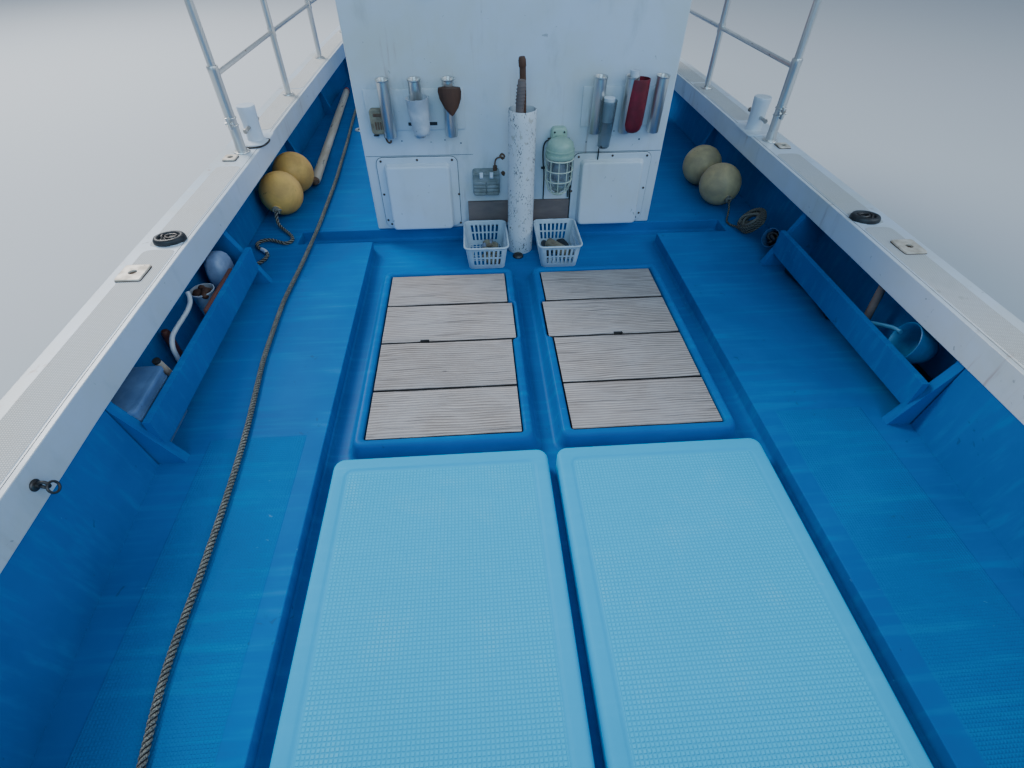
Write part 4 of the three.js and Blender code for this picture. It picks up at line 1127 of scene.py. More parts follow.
planks = {
    "x": (0.084, 0.588), "z": (0.3872, 0.4135), "corner": 0.0022,
    # aft and fore edge
    "rows": [(0.438, 0.6595), (0.6695, 0.904), (0.9125, 1.1635), (1.1725, 1.385)],
    "slot": {"starboard": (1, 0.405, 0.44, 0.01), "port": (1, 0.325, 0.362, 0.012)},
    "battens": (0.17, 0.505),
}


def makePlanks(name, side):
    p = planks
    bm = bmesh.new()
    shift = bm.verts.layers.float.new("plankShift")
    x0, x1 = p["x"]
    low, high = p["z"]
    for row, (a, b) in enumerate(p["rows"]):
        seed = row * 7.3 + (50 if side < 0 else 0)
        slotRow, s0, s1, deep = p["slot"][name]
        stations = [x0 + (x1 - x0) * k / 46 for k in range(47)]
        if row == slotRow:
            stations = sorted([x for x in stations if not s0 - 0.004 < x < s1 + 0.004] + [s0, s0 + 0.0006,
                s0 + 0.004, s1 - 0.004, s1 - 0.0006, s1])
        a0 = a + 0.001 * noise.noise((seed, 1, 0))
        if row == 1:
            stations = [x for x in stations if x > x0 + 0.004]
            stations = [0.0655, 0.0665, 0.076] + [x0] + stations
        loops = []
        for x in stations:
            lift = 0.0009 * noise.noise((x * 5, seed, 2)) + (0.001 * noise.noise((0, seed, 9)))
            e0 = a0 + 0.0011 * noise.noise((x * 13, seed, 0)) + 0.0006 * noise.noise((x * 60, seed, 0))
            e1 = b + 0.0011 * noise.noise((x * 13, seed, 5)) + 0.0006 * noise.noise((x * 60, seed, 5))
            if row == slotRow and s0 < x < s1:
                e1 = b - deep
            c = p["corner"]
            top = high + lift - 0.0012
            ring = [(e0 + c, low), (e1 - c, low), (e1, low + c), (e1, top - c), (e1 - c * 0.3, top - c * 0.3),
                (e1 - c, top)]
            count = 9
            for k in range(1, count):
                y = e1 - c + (e0 - e1 + 2 * c) * k / count
                cup = 0.0006 * noise.noise((x * 3, y * 9, seed)) + 0.0007 * cos(pi * (y - e0) / (e1 - e0)) ** 2
                ring.append((y, top + cup))
            ring += [(e0 + c, top), (e0 + c * 0.3, top - c * 0.3), (e0, top - c), (e0, low + c)]
            loops.append([(side * x, y, z) for y, z in ring])
        for loop in addLoops(bm, loops, caps=(0, -1)):
            for v in loop:
                v[shift] = seed + 1
    for x in p["battens"]:
        made = addBox(bm, (side * x - 0.025, 0.476, 0.3585), (side * x + 0.025, 1.347, 0.3878), 0.002, 1)
        for v in made:
            v[shift] = x * 9
    boards = asPiece("hatchPlanks" + name.capitalize(), bm, "plank", body=nodeBody["hatch_boards_" + name],
        smooth=35)
    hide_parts("hatch_boards_" + name)


makeFloor(floorPlan)
for name, side in (("starboard", 1), ("port", -1)):
    makeRim(name.capitalize(), side)
    makeLid(name.capitalize(), side)
    makePlanks(name, side)
print("hatches made")


# Hull, deck and bulwarks

roundings = [
    # node, width, material
    ("deck", 0.013, "blueDeck"),
    ("bulwark_starboard", 0.006, "blue"),
    ("bulwark_port", 0.006, "blue"),
    ("gunwale_starboard", 0.008, "gunwaleWhite"),
    ("gunwale_port", 0.008, "gunwaleWhite"),
    ("gunwale_stern", 0.008, "gunwaleWhite"),
    ("strake_starboard", 0.009, "rubber"),
    ("strake_port", 0.009, "rubber"),
    ("wheelhouse_front", 0.008, "white"),
    ("wheelhouse_side_starboard", 0.006, "white"),
    ("wheelhouse_side_port", 0.006, "white"),
    ("wheelhouse_back", 0.004, "white"),
    ("wheelhouse_roof", 0.012, "whiteClean"),
    ("wheelhouse_door", 0.004, "white"),
    ("mast", 0.006, "whiteClean"),
    ("console", 0.015, "whiteClean"),
    ("bench", 0.01, "plank"),
]
for node, width, mat in roundings:
    softened(node, width, mat, levelTop if node in ("gunwale_starboard", "gunwale_port") else None)
for node, mat in (("hull", "hull"), ("rudder", "bottom"), ("propeller", "bronze"), ("bow_bitt", "whiteClean"),
        ("bow_fitting", "steel"), ("bow_roller", "rubber"), ("rail_starboard", "steel"), ("rail_port", "steel"),
        ("helm_wheel", "rubber"), ("side_pane_starboard", "glass"), ("side_pane_port", "glass"),
        ("front_pane_starboard", "glass"), ("front_pane_port", "glass"), ("door_pane", "glass")):
    paintNode(node, mat)
print("hull, deck and house dressed")


# Front wall of the wheelhouse: covers, seam, screws

covers = {
    "flange": (0.276, 0.652, 0.434, 0.778), "thick": 0.008, "corner": 0.03,
    "box": (0.309, 0.619, 0.436, 0.752), "low": 0.0605, "slope": 0.0945,
    "screws": [(0.3, 0.763), (0.462, 0.766), (0.63, 0.763), (0.278, 0.598), (0.64, 0.606), (0.279, 0.449),
               (0.641, 0.474), (0.626, 0.452)],
}


def makeCover(name, side):
    p = covers
    bm = bmesh.new()
    x0, x1, z0, z1 = p["flange"]

    def flat(box, r, y):
        return [(side * x, y(z), z) for x, z in roundedLoop(*box, r)]

    plate = [flat((x0 + d, x1 - d, z0 + d, z1 - d), p["corner"] - d, lambda z, y=y: y)
        for d, y in ((0, 0.0006), (0, 0.0062), (0.0018, 0.008), (0.0045, 0.008))]
    addLoops(bm, plate, caps=(0, -1))
    a0, a1, c0, c1 = p["box"]
    front = lambda z, off=0.0: p["low"] - (z - c0) * p["slope"] - off
    rows = [(0.0, lambda z: 0.0075), (0.0006, lambda z: 0.011), (0.003, lambda z: front(z) * 0.55)]
    rows += [(0.005 + 0.011 * (1 - cos(a)), lambda z, a=a: front(z, 0.013 * (1 - sin(a))))
        for a in (0.0, 0.4, 0.8, 1.2, pi / 2)]
    rows.append((0.02, lambda z: front(z)))
    body = [flat((a0 + d, a1 - d, c0 + d, c1 - d), max(0.006, 0.022 - d * 0.5), y) for d, y in rows]
    addLoops(bm, body, caps=(0, -1))
    cover = asPiece("accessCover" + name, bm, "whiteClean", smooth=50)
    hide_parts("access_cover_" + name.lower())
    bm = bmesh.new()
    rim = [Vector((side * x, 0.0022, z)) for x, z in roundedLoop(x0, x1, z0, z1, p["corner"])]
    addSweep(bm, rim, 0.0021, 6, closed=True)
    asPiece("coverSealant" + name, bm, "dark", smooth=35)
    bm = bmesh.new()
    for x, z in p["screws"]:
        addLathe(bm, [(0, 9.2), (3, 9.2), (4, 10.4), (5.2, 10), (6, 7.8), (0, 7.8)], (side * x, 0, z), (0, 1, 0),
            12)
        addLathe(bm, [(0, 10.8), (2.2, 10.8), (2.2, 9), (0, 9)], (side * x, 0, z), (0, 1, 0), 6, 1)
    asPiece("coverScrews" + name, bm, ["rustIron", "dark"], smooth=35)


wallMarks = {
    "seam": 0.7835,
    # x, z and radius of old screw holes
    "holes": [(0.52, 0.849, 0.003), (0.389, 0.842, 0.0022), (0.325, 0.85, 0.003), (0.253, 0.835, 0.0035),
              (-0.329, 0.828, 0.003), (-0.454, 0.874, 0.003), (-0.579, 0.836, 0.004)],
    "rust": [(0.063, 0.771, 0.012), (0.06, 0.692, 0.009)],
}


def makeWallMarks(p):
    bm = bmesh.new()
    for x0, x1 in ((0.668, 0.694), (0.2, 0.668), (-0.25, -0.694)):
        points = [(x0 + (x1 - x0) * k / 10, 0.0002, p["seam"] + 0.0007 * noise.noise((k, x0 * 9, 0)))
            for k in range(11)]
        addSweep(bm, points, [0.0009 + 0.0005 * abs(noise.noise((k * 3.1, x0, 5))) for k in range(11)], 5)
    for x, z, r in p["holes"]:
        addTurned(bm, [(0.0, 0.0008), (r * 0.6, 0.0011), (r, 0.0006), (r, -0.0006), (0.0, -0.0006)], (x, 0, z),
            (0, 1, 0), 10)
    asPiece("wallSeamsAndHoles", bm, "dark", smooth=60)
    bm = bmesh.new()
    for x, z, r in p["rust"]:
        loop = [(x + r * cos(a) * (1 + 0.35 * noise.noise((cos(a) * 2, sin(a) * 2, x * 40))), 0.0002,
            z + 1.3 * r * sin(a) * (1 + 0.35 * noise.noise((cos(a) * 2, sin(a) * 2, z * 40)))) for a in turns(28)]
        addLoops(bm, [[(u, -0.001, w) for u, _, w in loop], [(u, 0.0005, w) for u, _, w in loop],
            [(x + (u - x) * 0.9, 0.0007, z + (w - z) * 0.9) for u, _, w in loop]], caps=(0, -1), index=1)
    x, z, r = p["rust"][0]
    addLathe(bm, [(0, 6.6), (4, 6.2), (5.8, 4), (6.2, 0), (0, 0)], (x, 0.0002, z), (0, 1, 0), 12)
    asPiece("wallRustMarks", bm, ["steelWorn", "rustIron"], smooth=50)


def addTube(bm, low, high, outer, inner, lip=0.0, index=0, sides=28):
    # An open tube, with a rolled lip at its top
    a, b = Vector(low), Vector(high)
    h = (b - a).length
    profile = [(inner, 0.001), (outer - 0.0006, 0.0), (outer, 0.0008), (outer, h - 0.006)]
    if lip:
        profile += [(outer + lip, h - 0.004), (outer + lip * 1.2, h - 0.001), (outer + lip, h + 0.0015)]
    profile += [(inner + 0.0006, h), (inner, h - 0.001), (inner, 0.001)]
    addTurned(bm, profile, a, b - a, sides, index)


holders = {
    # x of each holder
    "starboard": (0.56, 0.43, 0.29), "port": (-0.355, -0.49, -0.622),
    "slots": {"starboard": [(0.462, 0.48), (0.352, 0.398)], "port": [(-0.44, -0.424)]},
    "low": (0.038, 0.882), "high": (0.052, 1.11), "outer": 0.027, "inner": 0.0245,
    "plate": {"starboard": (0.229, 0.655), "port": (-0.664, -0.293), "z": (0.897, 1.062)},
}


def makeHolders(name):
    p = holders
    bm = bmesh.new()
    x0, x1 = p["plate"][name]
    addBox(bm, (x0, 0.0005, p["plate"]["z"][0]), (x1, 0.0085, p["plate"]["z"][1]), 0.0025, 2)
    asPiece("holderPlate" + name.capitalize(), bm, "white", smooth=35)
    bm = bmesh.new()
    for x in p[name]:
        addTube(bm, (x, *p["low"]), (x, *p["high"]), p["outer"], p["inner"], 0.0022)
        addRod(bm, (x, p["low"][0] + 0.001, p["low"][1] + 0.004), (x, p["low"][0] + 0.0015, p["low"][1] + 0.01),
            0.0244, sides=20, index=1)
        for z in (0.932, 1.036):
            addBox(bm, (x - 0.009, 0.008, z - 0.012), (x + 0.009, 0.018, z + 0.012), 0.002, 1)
    for x0, x1 in p["slots"][name]:
        addBox(bm, (x0, 0.008, 0.916), (x1, 0.0105, 0.93), 0.001, 1, index=1)
    rack = asPiece("rodHolders" + name.capitalize(), bm, ["steel", "dark"], smooth=40)
    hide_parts("rod_rack_" + name)


def makeHolderGear():
    # White cup over the middle starboard holder, a dark sheath, and the port cup, sheath and red holder
    bm = bmesh.new()
    addLathe(bm, [(0, 0), (14, 1), (27, 6), (34, 16), (38, 34), (43, 90), (47, 150), (48.5, 152), (45.5, 152),
        (41, 90), (36, 36), (32, 18), (0, 6)], (0.4165, 0.0835, 0.897), (0.05, 0.0, 1), 28)
    asPiece("whiteCup", bm, "milky", smooth=50)
    bm = bmesh.new()
    ring = [(0.0, 0.978), (0.012, 0.985), (0.03, 1.008), (0.045, 1.042), (0.049, 1.07), (0.046, 1.085)]
    loops = []
    for half, z in [(0.002, 0.9775)] + ring[1:]:
        loops.append([(0.281 + half * cos(a) + 0.05 * (z - 0.98), 0.086 + (0.01 + half * 0.16) * sin(a), z)
            for a in turns(20)])
    addLoops(bm, loops, caps=(0, -1))
    asPiece("leatherSheath", bm, "brown", smooth=50)
    bm = bmesh.new()
    addLathe(bm, [(0, 0), (20, 2), (27, 10), (30, 60), (34, 140), (36, 200), (34.5, 200), (32.5, 140), (28.5, 60),
        (25, 12), (0, 4)], (-0.394, 0.0735, 0.826), (0.0, 0.03, 1), 24)
    asPiece("portCup", bm, "clear", smooth=50)
    bm = bmesh.new()
    addLathe(bm, [(0, 0), (22.5, 1), (23.5, 90), (24.5, 96), (0, 100)], (-0.3945, 0.0785, 0.94), (0.0, 0.03, 1), 20)
    addRod(bm, (-0.391, 0.0115, 0.712), (-0.391, 0.0115, 0.826), 0.0032, sides=8, index=1)
    addRod(bm, (-0.391, 0.004, 0.815), (-0.391, 0.07, 0.829), 0.0032, sides=8, index=1)
    asPiece("portCupLiner", bm, ["whiteClean", "dark"], smooth=50)
    bm = bmesh.new()

    def oval(z, half, deep):
        return [(-0.5205 + half * cos(a), 0.05 + deep * sin(a), z) for a in turns(24)]

    outside = [(0.884, 0.018, 0.016), (0.888, 0.028, 0.024), (0.898, 0.038, 0.03), (0.92, 0.044, 0.033),
        (0.99, 0.0465, 0.035), (1.096, 0.0485, 0.037), (1.1, 0.0478, 0.0363)]
    inside = [(1.1, 0.0455, 0.034), (0.99, 0.0435, 0.032), (0.924, 0.041, 0.03), (0.903, 0.033, 0.026)]
    addLoops(bm, [oval(*row) for row in outside + inside], caps=(0, -1))
    asPiece("redHolder", bm, "redPlastic", smooth=50)
    bm = bmesh.new()
    addLoops(bm, [[(-0.516 + 0.02 * cos(a) + (z - 0.95) * 0.12, 0.0555 + 0.015 * sin(a), z) for a in turns(14)]
        for z in (0.925, 1.0, 1.085, 1.132)], caps=(0, -1))
    asPiece("redHolderGrip", bm, "milky", smooth=50)


clipBox = {"x": (0.566, 0.641), "z": (0.889, 0.992), "deep": 0.03}


def makeClipBox(p):
    # Corroded beige catch with slots, and a rusty hook below it
    bm = bmesh.new()
    (x0, x1), (z0, z1), y = p["x"], p["z"], p["deep"]
    addSlab(bm, (x0, x1, z0, z1), 0.014, [(0, -21.2), (0, 0), (1.5, 2.5), (5, 3.2), (8, 3.2), (10, 1)], 1, "y", y)
    for k in range(4):
        x = x0 + 0.021 + 0.0105 * k
        addSlab(bm, (x - 0.0022, x + 0.0022, z0 + 0.02, z0 + 0.05), 0.002, [(-1.5, 1.2), (-0.8, 2.2), (0, 2.2)], 1,
            "y", y, index=1)
    addBox(bm, (x0 + 0.016, y, z1 - 0.03), (x1 - 0.016, y + 0.0045, z1 - 0.018), 0.002, 2, index=1)
    for x in (x0 + 0.014, x1 - 0.014):
        addBox(bm, (x - 0.012, 0.009, z0 - 0.012), (x + 0.012, 0.02, z0 - 0.006), 0.002, 1, index=2)
    asPiece("catchBox", bm, ["agedBeige", "rustIron", "dark"], smooth=40)
    bm = bmesh.new()
    hook = [(0.587, 0.014, 0.884), (0.5865, 0.0145, 0.868), (0.584, 0.015, 0.856), (0.577, 0.0155, 0.8485),
        (0.5685, 0.016, 0.8495), (0.5655, 0.016, 0.8575)]
    addSweep(bm, smoothLine(hook, 5), 0.0042, 8)
    addBox(bm, (0.579, 0.0085, 0.868), (0.594, 0.0165, 0.893), 0.003, 2)
    asPiece("rustyHook", bm, "rustIron", smooth=50)


def makeSocketBox():
    bm = bmesh.new()
    addSlab(bm, (0.0785, 0.2075, 0.6045, 0.719), 0.014, [(0, 0.6), (0, 40), (2, 43.5), (6, 44)], 1, "y")
    # Two spring lids with ridges and scalloped lower edges
    for x0, x1 in ((0.083, 0.1425), (0.1445, 0.2035)):
        for row in range(4):
            z, y = 0.615 + 0.0165 * row, 54 - 1.8 * row
            addSlab(bm, (x0, x1, z - 0.0085, z + 0.008), 0.0075, [(0, 43.6), (0, y - 3), (1.6, y), (4, y + 0.8)], 1,
                "y")
    for x in (0.118, 0.166):
        addBox(bm, (x - 0.0085, 0.042, 0.69), (x + 0.0085, 0.0565, 0.7165), 0.0022, 2, index=1)
        addBox(bm, (x - 0.0065, 0.056, 0.693), (x + 0.0065, 0.06, 0.704), 0.0012, 1, index=1)
    addBox(bm, (0.08, 0.0436, 0.701), (0.206, 0.049, 0.713), 0.002, 2)
    addRod(bm, (0.1, 0.03, 0.719), (0.1, 0.03, 0.74), 0.01, index=2)
    addSweep(bm, smoothLine([(0.1, 0.03, 0.739), (0.1, 0.027, 0.752), (0.094, 0.014, 0.764), (0.08, 0.0048, 0.768),
        (0.061, 0.004, 0.77)], 6), 0.0038, 8, index=2)
    box = asPiece("socketBox", bm, ["socket", "whiteClean", "rustIron"], smooth=50)
    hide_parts("socket_box")


deckLamp = {"at": (-0.196, 0.082), "bars": 10, "wire": 0.0021, "grow": 1.1}


def makeLamp(p):
    x, y = p["at"]
    bm = bmesh.new()
    cap = [(0.0, 0.876), (0.012, 0.8755), (0.03, 0.8725), (0.043, 0.8665), (0.052, 0.857), (0.0552, 0.845),
        (0.0556, 0.833), (0.0592, 0.8315), (0.06, 0.8285), (0.0592, 0.8255), (0.056, 0.824), (0.056, 0.816),
        (0.06, 0.8145), (0.061, 0.81), (0.0608, 0.8), (0.059, 0.7965), (0.048, 0.796), (0.0, 0.796)]
    grow = p["grow"]
    addTurned(bm, [(r * grow, z) for r, z in cap], (x, y, 0), sides=36)
    addSlab(bm, (x - 0.037, x + 0.037, 0.806, 0.902), 0.02, [(0, 0.6), (0, 26), (3, 31), (9, 33.5)], 1, "y")
    addBox(bm, (x - 0.017, 0.028, 0.828), (x + 0.017, y, 0.872), 0.007, 3)
    addRod(bm, (x + 0.036, 0.018, 0.848), (x + 0.05, 0.018, 0.846), 0.0095, index=1)
    addRod(bm, (x - 0.036, 0.018, 0.846), (x - 0.05, 0.018, 0.844), 0.0095, index=1)
    for u in (-0.022, 0.022):
        addLathe(bm, [(0, 37.2), (3.5, 36.6), (4.6, 34.5), (4.6, 30), (0, 30)], (x + u, 0, 0.884), (0, 1, 0), 10, 1)
    lampBody = asPiece("deckLampBody", bm, ["lampGreen", "dark"])
    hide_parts("deck_lamp")
    bm = bmesh.new()
    shape = [(0.0575, 0.795), (0.057, 0.75), (0.056, 0.7), (0.05, 0.666), (0.038, 0.638), (0.022, 0.6235),
        (0.01, 0.6195)]
    for k in range(p["bars"]):
        a = 2 * pi * (k + 0.25) / p["bars"]
        addSweep(bm, smoothLine([(x + r * grow * cos(a), y + r * grow * sin(a), z) for r, z in shape], 4),
            p["wire"], 7)
    for r, z, w in ((0.0578, 0.79, 0.0034), (0.0578, 0.742, 0.0024), (0.056, 0.695, 0.0024),
            (0.038, 0.6375, 0.0022), (0.0105, 0.62, 0.003)):
        addHoop(bm, (x, y, z), r * grow, w, steps=36)
    asPiece("deckLampCage", bm, "cage", smooth=50)
    bm = bmesh.new()
    addLathe(bm, [(0, 794.5), (44, 794.5), (45.5, 790), (47, 760), (47, 700), (43, 672), (32, 648), (17, 636),
        (0, 633)], (x, y, 0), sides=32)
    for v in bm.verts:
        v.co.x, v.co.y = x + (v.co.x - x) * grow, y + (v.co.y - y) * grow
    asPiece("deckLampGlass", bm, "clear", smooth=60)
    bm = bmesh.new()
    addLathe(bm, [(0, 793), (15, 793), (15, 770), (20, 755), (27, 730), (27, 713), (20, 696), (0, 690)], (x, y, 0),
        sides=20)
    asPiece("deckLampBulb", bm, "milky", smooth=60)


wires = {
    "radius": 0.0032,
    "runs": [
        # from the lamp down its starboard side, and the two that run behind the port cover
        [(-0.146, 0.018, 0.846), (-0.136, 0.016, 0.838), (-0.13, 0.01, 0.82), (-0.128, 0.0052, 0.79),
         (-0.131, 0.004, 0.74), (-0.137, 0.004, 0.69), (-0.139, 0.004, 0.6), (-0.139, 0.004, 0.562)],
        [(-0.246, 0.018, 0.844), (-0.256, 0.014, 0.832), (-0.261, 0.007, 0.806), (-0.264, 0.0045, 0.764),
         (-0.2655, 0.0042, 0.7), (-0.267, 0.0042, 0.64), (-0.269, 0.0042, 0.585), (-0.2705, 0.0042, 0.566),
         (-0.2705, 0.0042, 0.45), (-0.2705, 0.0042, 0.424)],
        [(-0.257, 0.0042, 0.77), (-0.2575, 0.0042, 0.7), (-0.259, 0.0042, 0.62), (-0.261, 0.0042, 0.568)],
    ],
}


def makeWires(p):
    bm = bmesh.new()
    for run in p["runs"]:
        addSweep(bm, smoothLine(run, 0.012), p["radius"], 8)
    for x, z in ((-0.134, 0.715), (-0.265, 0.723), (-0.266, 0.62)):
        addBox(bm, (x - 0.012, 0.0003, z - 0.005), (x + 0.012, 0.008, z + 0.005), 0.0015, 1, index=1)
    asPiece("lampWires", bm, ["rubber", "dark"], smooth=60)


def makeBackBoard():
    bm = bmesh.new()
    loops = []
    for k in range(31):
        x = -0.268 + 0.504 * k / 30
        e = 0.0012 * noise.noise((x * 14, 3, 0))
        z0, z1 = 0.4495 + e, 0.559 + 0.0015 * noise.noise((x * 9, 8, 0))
        loops.append([(x, y, z) for y, z in ((0.0006, z0), (0.018, z0), (0.02, z0 + 0.002), (0.0204, 0.49),
            (0.02, 0.53), (0.0196, z1 - 0.002), (0.0176, z1), (0.0006, z1))])
    addLoops(bm, loops, caps=(0, -1))
    asPiece("wallBoard", bm, "darkBoard", smooth=35)


gearTube = {"at": (-0.016, 0.126), "z": (0.3606, 1.0138), "outer": 0.061, "inner": 0.0563}


def makeTube(p):
    bm = bmesh.new()
    x, y = p["at"]
    z0, z1 = p["z"]
    count = 40

    def ring(r, z, rough=0.0):
        return [(x + r * cos(a), y + r * sin(a), z + rough * noise.noise((cos(a) * 2, sin(a) * 2, z * 9)))
            for a in turns(count)]

    outer = [ring(p["outer"] - 0.001, z0), ring(p["outer"], z0 + 0.002)]
    outer += [ring(p["outer"], z0 + (z1 - z0) * k / 8) for k in range(1, 8)]
    outer += [ring(p["outer"], z1 - 0.004, 0.002), ring(p["outer"] - 0.0012, z1 - 0.0022, 0.002)]
    inner = [ring(p["inner"] + 0.001, z1 - 0.0022, 0.002), ring(p["inner"], z1 - 0.005, 0.002),
        ring(p["inner"], 0.385)]
    addLoops(bm, outer + inner, caps=(0, -1))
    pipe = asPiece("gearTube", bm, "pipe", smooth=40)
    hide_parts("gaff_tube")
    bm = bmesh.new()
    addLathe(bm, [(0, 360.4), (26, 360.4), (26, 366), (22, 370.5), (0, 371.5)], (0.0, 0.205, 0), sides=20)
    addHoop(bm, (0.0, 0.205, 0.3708), 0.019, 0.0018, 6)
    asPiece("deckDrain", bm, "darkMetal")
    # Handles that stand in the tube
    bm = bmesh.new()
    addSweep(bm, [(-0.028, 0.12, 0.392), (-0.024, 0.122, 0.8), (-0.018, 0.124, 1.06), (-0.014, 0.126, 1.17)],
        [0.011, 0.012, 0.014, 0.013], 14)
    addLathe(bm, [(0, 0), (12, 1), (15.5, 8), (15.5, 30), (12, 40), (0, 41)], (-0.0142, 0.1262, 1.16),
        (0.1, 0.05, 1), 16)
    asPiece("gaffHandle", bm, "brown")
    bm = bmesh.new()
    addSweep(bm, [(0.012, 0.14, 0.392), (0.006, 0.146, 0.8), (-0.004, 0.152, 1.05), (-0.01, 0.156, 1.125)],
        [0.015, 0.016, 0.017, 0.0165], 14)
    for k in range(6):
        z = 1.04 + 0.013 * k
        addHoop(bm, (-0.0036 - 0.075 * (z - 1.05), 0.152 + 0.053 * (z - 1.05), z), 0.0182, 0.0018, 6, steps=18)
    asPiece("brushHandle", bm, "darkBoard")


baskets = {
    "starboard": (0.158, 0.19), "port": (-0.19, 0.196),
    "half": (0.085, 0.119), "grow": 0.0135, "z": (0.3606, 0.476), "corner": 0.022, "wall": 0.0024,
    "rows": [(0.02, 0.056), (0.063, 0.1)],
}


def makeBasket(name, p):
    cx, cy = p[name]
    hx, hy = p["half"]
    z0, z1 = p["z"]
    bm = bmesh.new()
    # Distance round the base, with slots on the straight sides only
    slots = {0: 9, 1: 7, 2: 9, 3: 7}
    marks = []
    r = p["corner"]
    for side in range(4):
        length = 2 * ((hy if side % 2 == 0 else hx) - r)
        n = slots[side]
        pitch = length / n
        for k in range(n):
            marks.append((side, (k + 0.16) * pitch, False))
            marks.append((side, (k + 0.3) * pitch, True))
            marks.append((side, (k + 0.86) * pitch, False))
        for k in range(5):
            marks.append((side, ("turn", k / 5), False))
    corners = [((1, -1), (0, 1)), ((1, 1), (-1, 0)), ((-1, 1), (0, -1)), ((-1, -1), (1, 0))]

    def at(mark, grow):
        side, along, _ = mark
        (sx, sy), (tx, ty) = corners[side]
        ax, ay = hx + grow, hy + grow
        if isinstance(along, tuple):
            nx, ny = corners[(side + 1) % 4][0]
            a0 = pi * side / 2
            a = a0 + pi / 2 * along[1]
            return cx + nx * (ax - r) + r * cos(a), cy + ny * (ay - r) + r * sin(a)
        length = 2 * ((hy if side % 2 == 0 else hx) - r)
        full = 2 * ((ay if side % 2 == 0 else ax) - r)
        u = along / length * full
        x = sx * (ax if side % 2 == 0 else ax - r) + tx * u
        y = sy * (ay - r if side % 2 == 0 else ay) + ty * u
        return cx + x, cy + y

    levels = [0.0, p["rows"][0][0], p["rows"][0][1], p["rows"][1][0], p["rows"][1][1], z1 - z0]
    rings = []
    for h in levels:
        grow = p["grow"] * h / (z1 - z0)
        rings.append([bm.verts.new((*at(m, grow), z0 + 0.0012 + h * 0.985)) for m in marks])
    for row, (low, high) in enumerate(zip(rings, rings[1:])):
        for k in range(len(marks)):
            if row in (1, 3) and marks[k][2]:
                continue
            n = (k + 1) % len(marks)
            bm.faces.new((low[k], low[n], high[n], high[k]))
    # Base: bars across with gaps between them
    base = rings[0]
    middle = [bm.verts.new((cx + (v.co.x - cx) * 0.9, cy + (v.co.y - cy) * 0.93, z0 + 0.0012)) for v in base]
    for k in range(len(base)):
        n = (k + 1) % len(base)
        bm.faces.new((base[k], middle[k], middle[n], base[n]))
    bm.normal_update()
    mesh = bpy.data.meshes.new("basketWall")
    bmesh.ops.recalc_face_normals(bm, faces=bm.faces)
    bm.to_mesh(mesh)
    bm.free()
    shell = bpy.data.objects.new("basketWall", mesh)
    scene.collection.objects.link(shell)
    thick = shell.modifiers.new("thick", "SOLIDIFY")
    thick.thickness = p["wall"]
    thick.offset = 0
    bpy.context.view_layer.update()
    solid = bpy.data.meshes.new_from_object(shell.evaluated_get(bpy.context.evaluated_depsgraph_get()))
    bpy.data.objects.remove(shell)
    bm = bmesh.new()
    bm.from_mesh(solid)
    rim = [Vector((x, y, z1 - 0.0005)) for x, y in roundedLoop(cx - hx - p["grow"] - 0.004,
        cx + hx + p["grow"] + 0.004, cy - hy - p["grow"] - 0.004, cy + hy + p["grow"] + 0.004, r + 0.004)]
    addSweep(bm, rim, 0.005, 10, closed=True)
    for k in range(8):
        x = cx - 0.065 + 0.13 * k / 7
        addBox(bm, (x - 0.0035, cy - hy * 0.945, z0 + 0.0001), (x + 0.0035, cy + hy * 0.945, z0 + 0.0024), 0.0)
    for k in range(5):
        y = cy - 0.09 + 0.18 * k / 4
        addBox(bm, (cx - hx * 0.91, y - 0.0035, z0 + 0.0002), (cx + hx * 0.91, y + 0.0035, z0 + 0.0022), 0.0)
    piece = asPiece("basket" + name.capitalize(), bm, "basket", smooth=50)
    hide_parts("basket_" + name)


def makeBasketLoads():
    # Starboard: shackles and shells of sinkers. Port: a dark offcut of pipe and a pale roll
    cx, cy = baskets["starboard"]
    z = baskets["z"][0] + 0.003
    rng = random.Random(11)
    bm = bmesh.new()
    for k in range(15):
        u, v = rng.uniform(-0.048, 0.048), rng.uniform(-0.078, 0.078)
        size = rng.uniform(0.013, 0.022)
        turn = Matrix.Rotation(rng.uniform(0, 3.1), 3, "Z") @ Matrix.Rotation(rng.uniform(0.3, 1.2), 3, "X")
        centre = Vector((cx + u, cy + v, z + size * 0.55 + 0.01 * (k % 3)))
        if k % 3 == 0:
            ring = [centre + turn @ Vector((size * 1.2 * cos(a), size * sin(a), 0)) for a in turns(18)]
            addSweep(bm, ring, size * 0.28, 8, closed=True, index=k % 2)
        else:
            made = bmesh.ops.create_icosphere(bm, subdivisions=3, radius=size)["verts"]
            for one in made:
                n = noise.noise(one.co * 60 + Vector((k, 0, 0)))
                one.co = turn @ (Vector((one.co.x * 1.3, one.co.y, one.co.z * 0.62)) * (1 + 0.25 * n))
                one.co += centre
            for face in {f for one in made for f in one.link_faces}:
                face.material_index = 2 if k % 4 == 1 else 0
    asPiece("basketShackles", bm, ["agedBeige", "rustIron", "greyPlastic"], smooth=50)
    cx, cy = baskets["port"]
    bm = bmesh.new()
    addTube(bm, (cx - 0.05, cy + 0.055, z + 0.03), (cx + 0.038, cy - 0.035, z + 0.042), 0.0265, 0.0215)
    addTube(bm, (cx + 0.052, cy - 0.08, z + 0.018), (cx + 0.048, cy + 0.06, z + 0.02), 0.015, 0.0115, index=1)
    addBox(bm, (cx - 0.062, cy - 0.09, z), (cx - 0.02, cy - 0.02, z + 0.034), 0.006, 2,
        turn=Matrix.Rotation(0.3, 3, "Z"), index=1)
    addBox(bm, (cx - 0.014, cy - 0.094, z), (cx + 0.03, cy - 0.06, z + 0.02), 0.005, 2,
        turn=Matrix.Rotation(-0.4, 3, "Z"), index=1)
    asPiece("basketOffcuts", bm, ["agedBeige", "dark"])


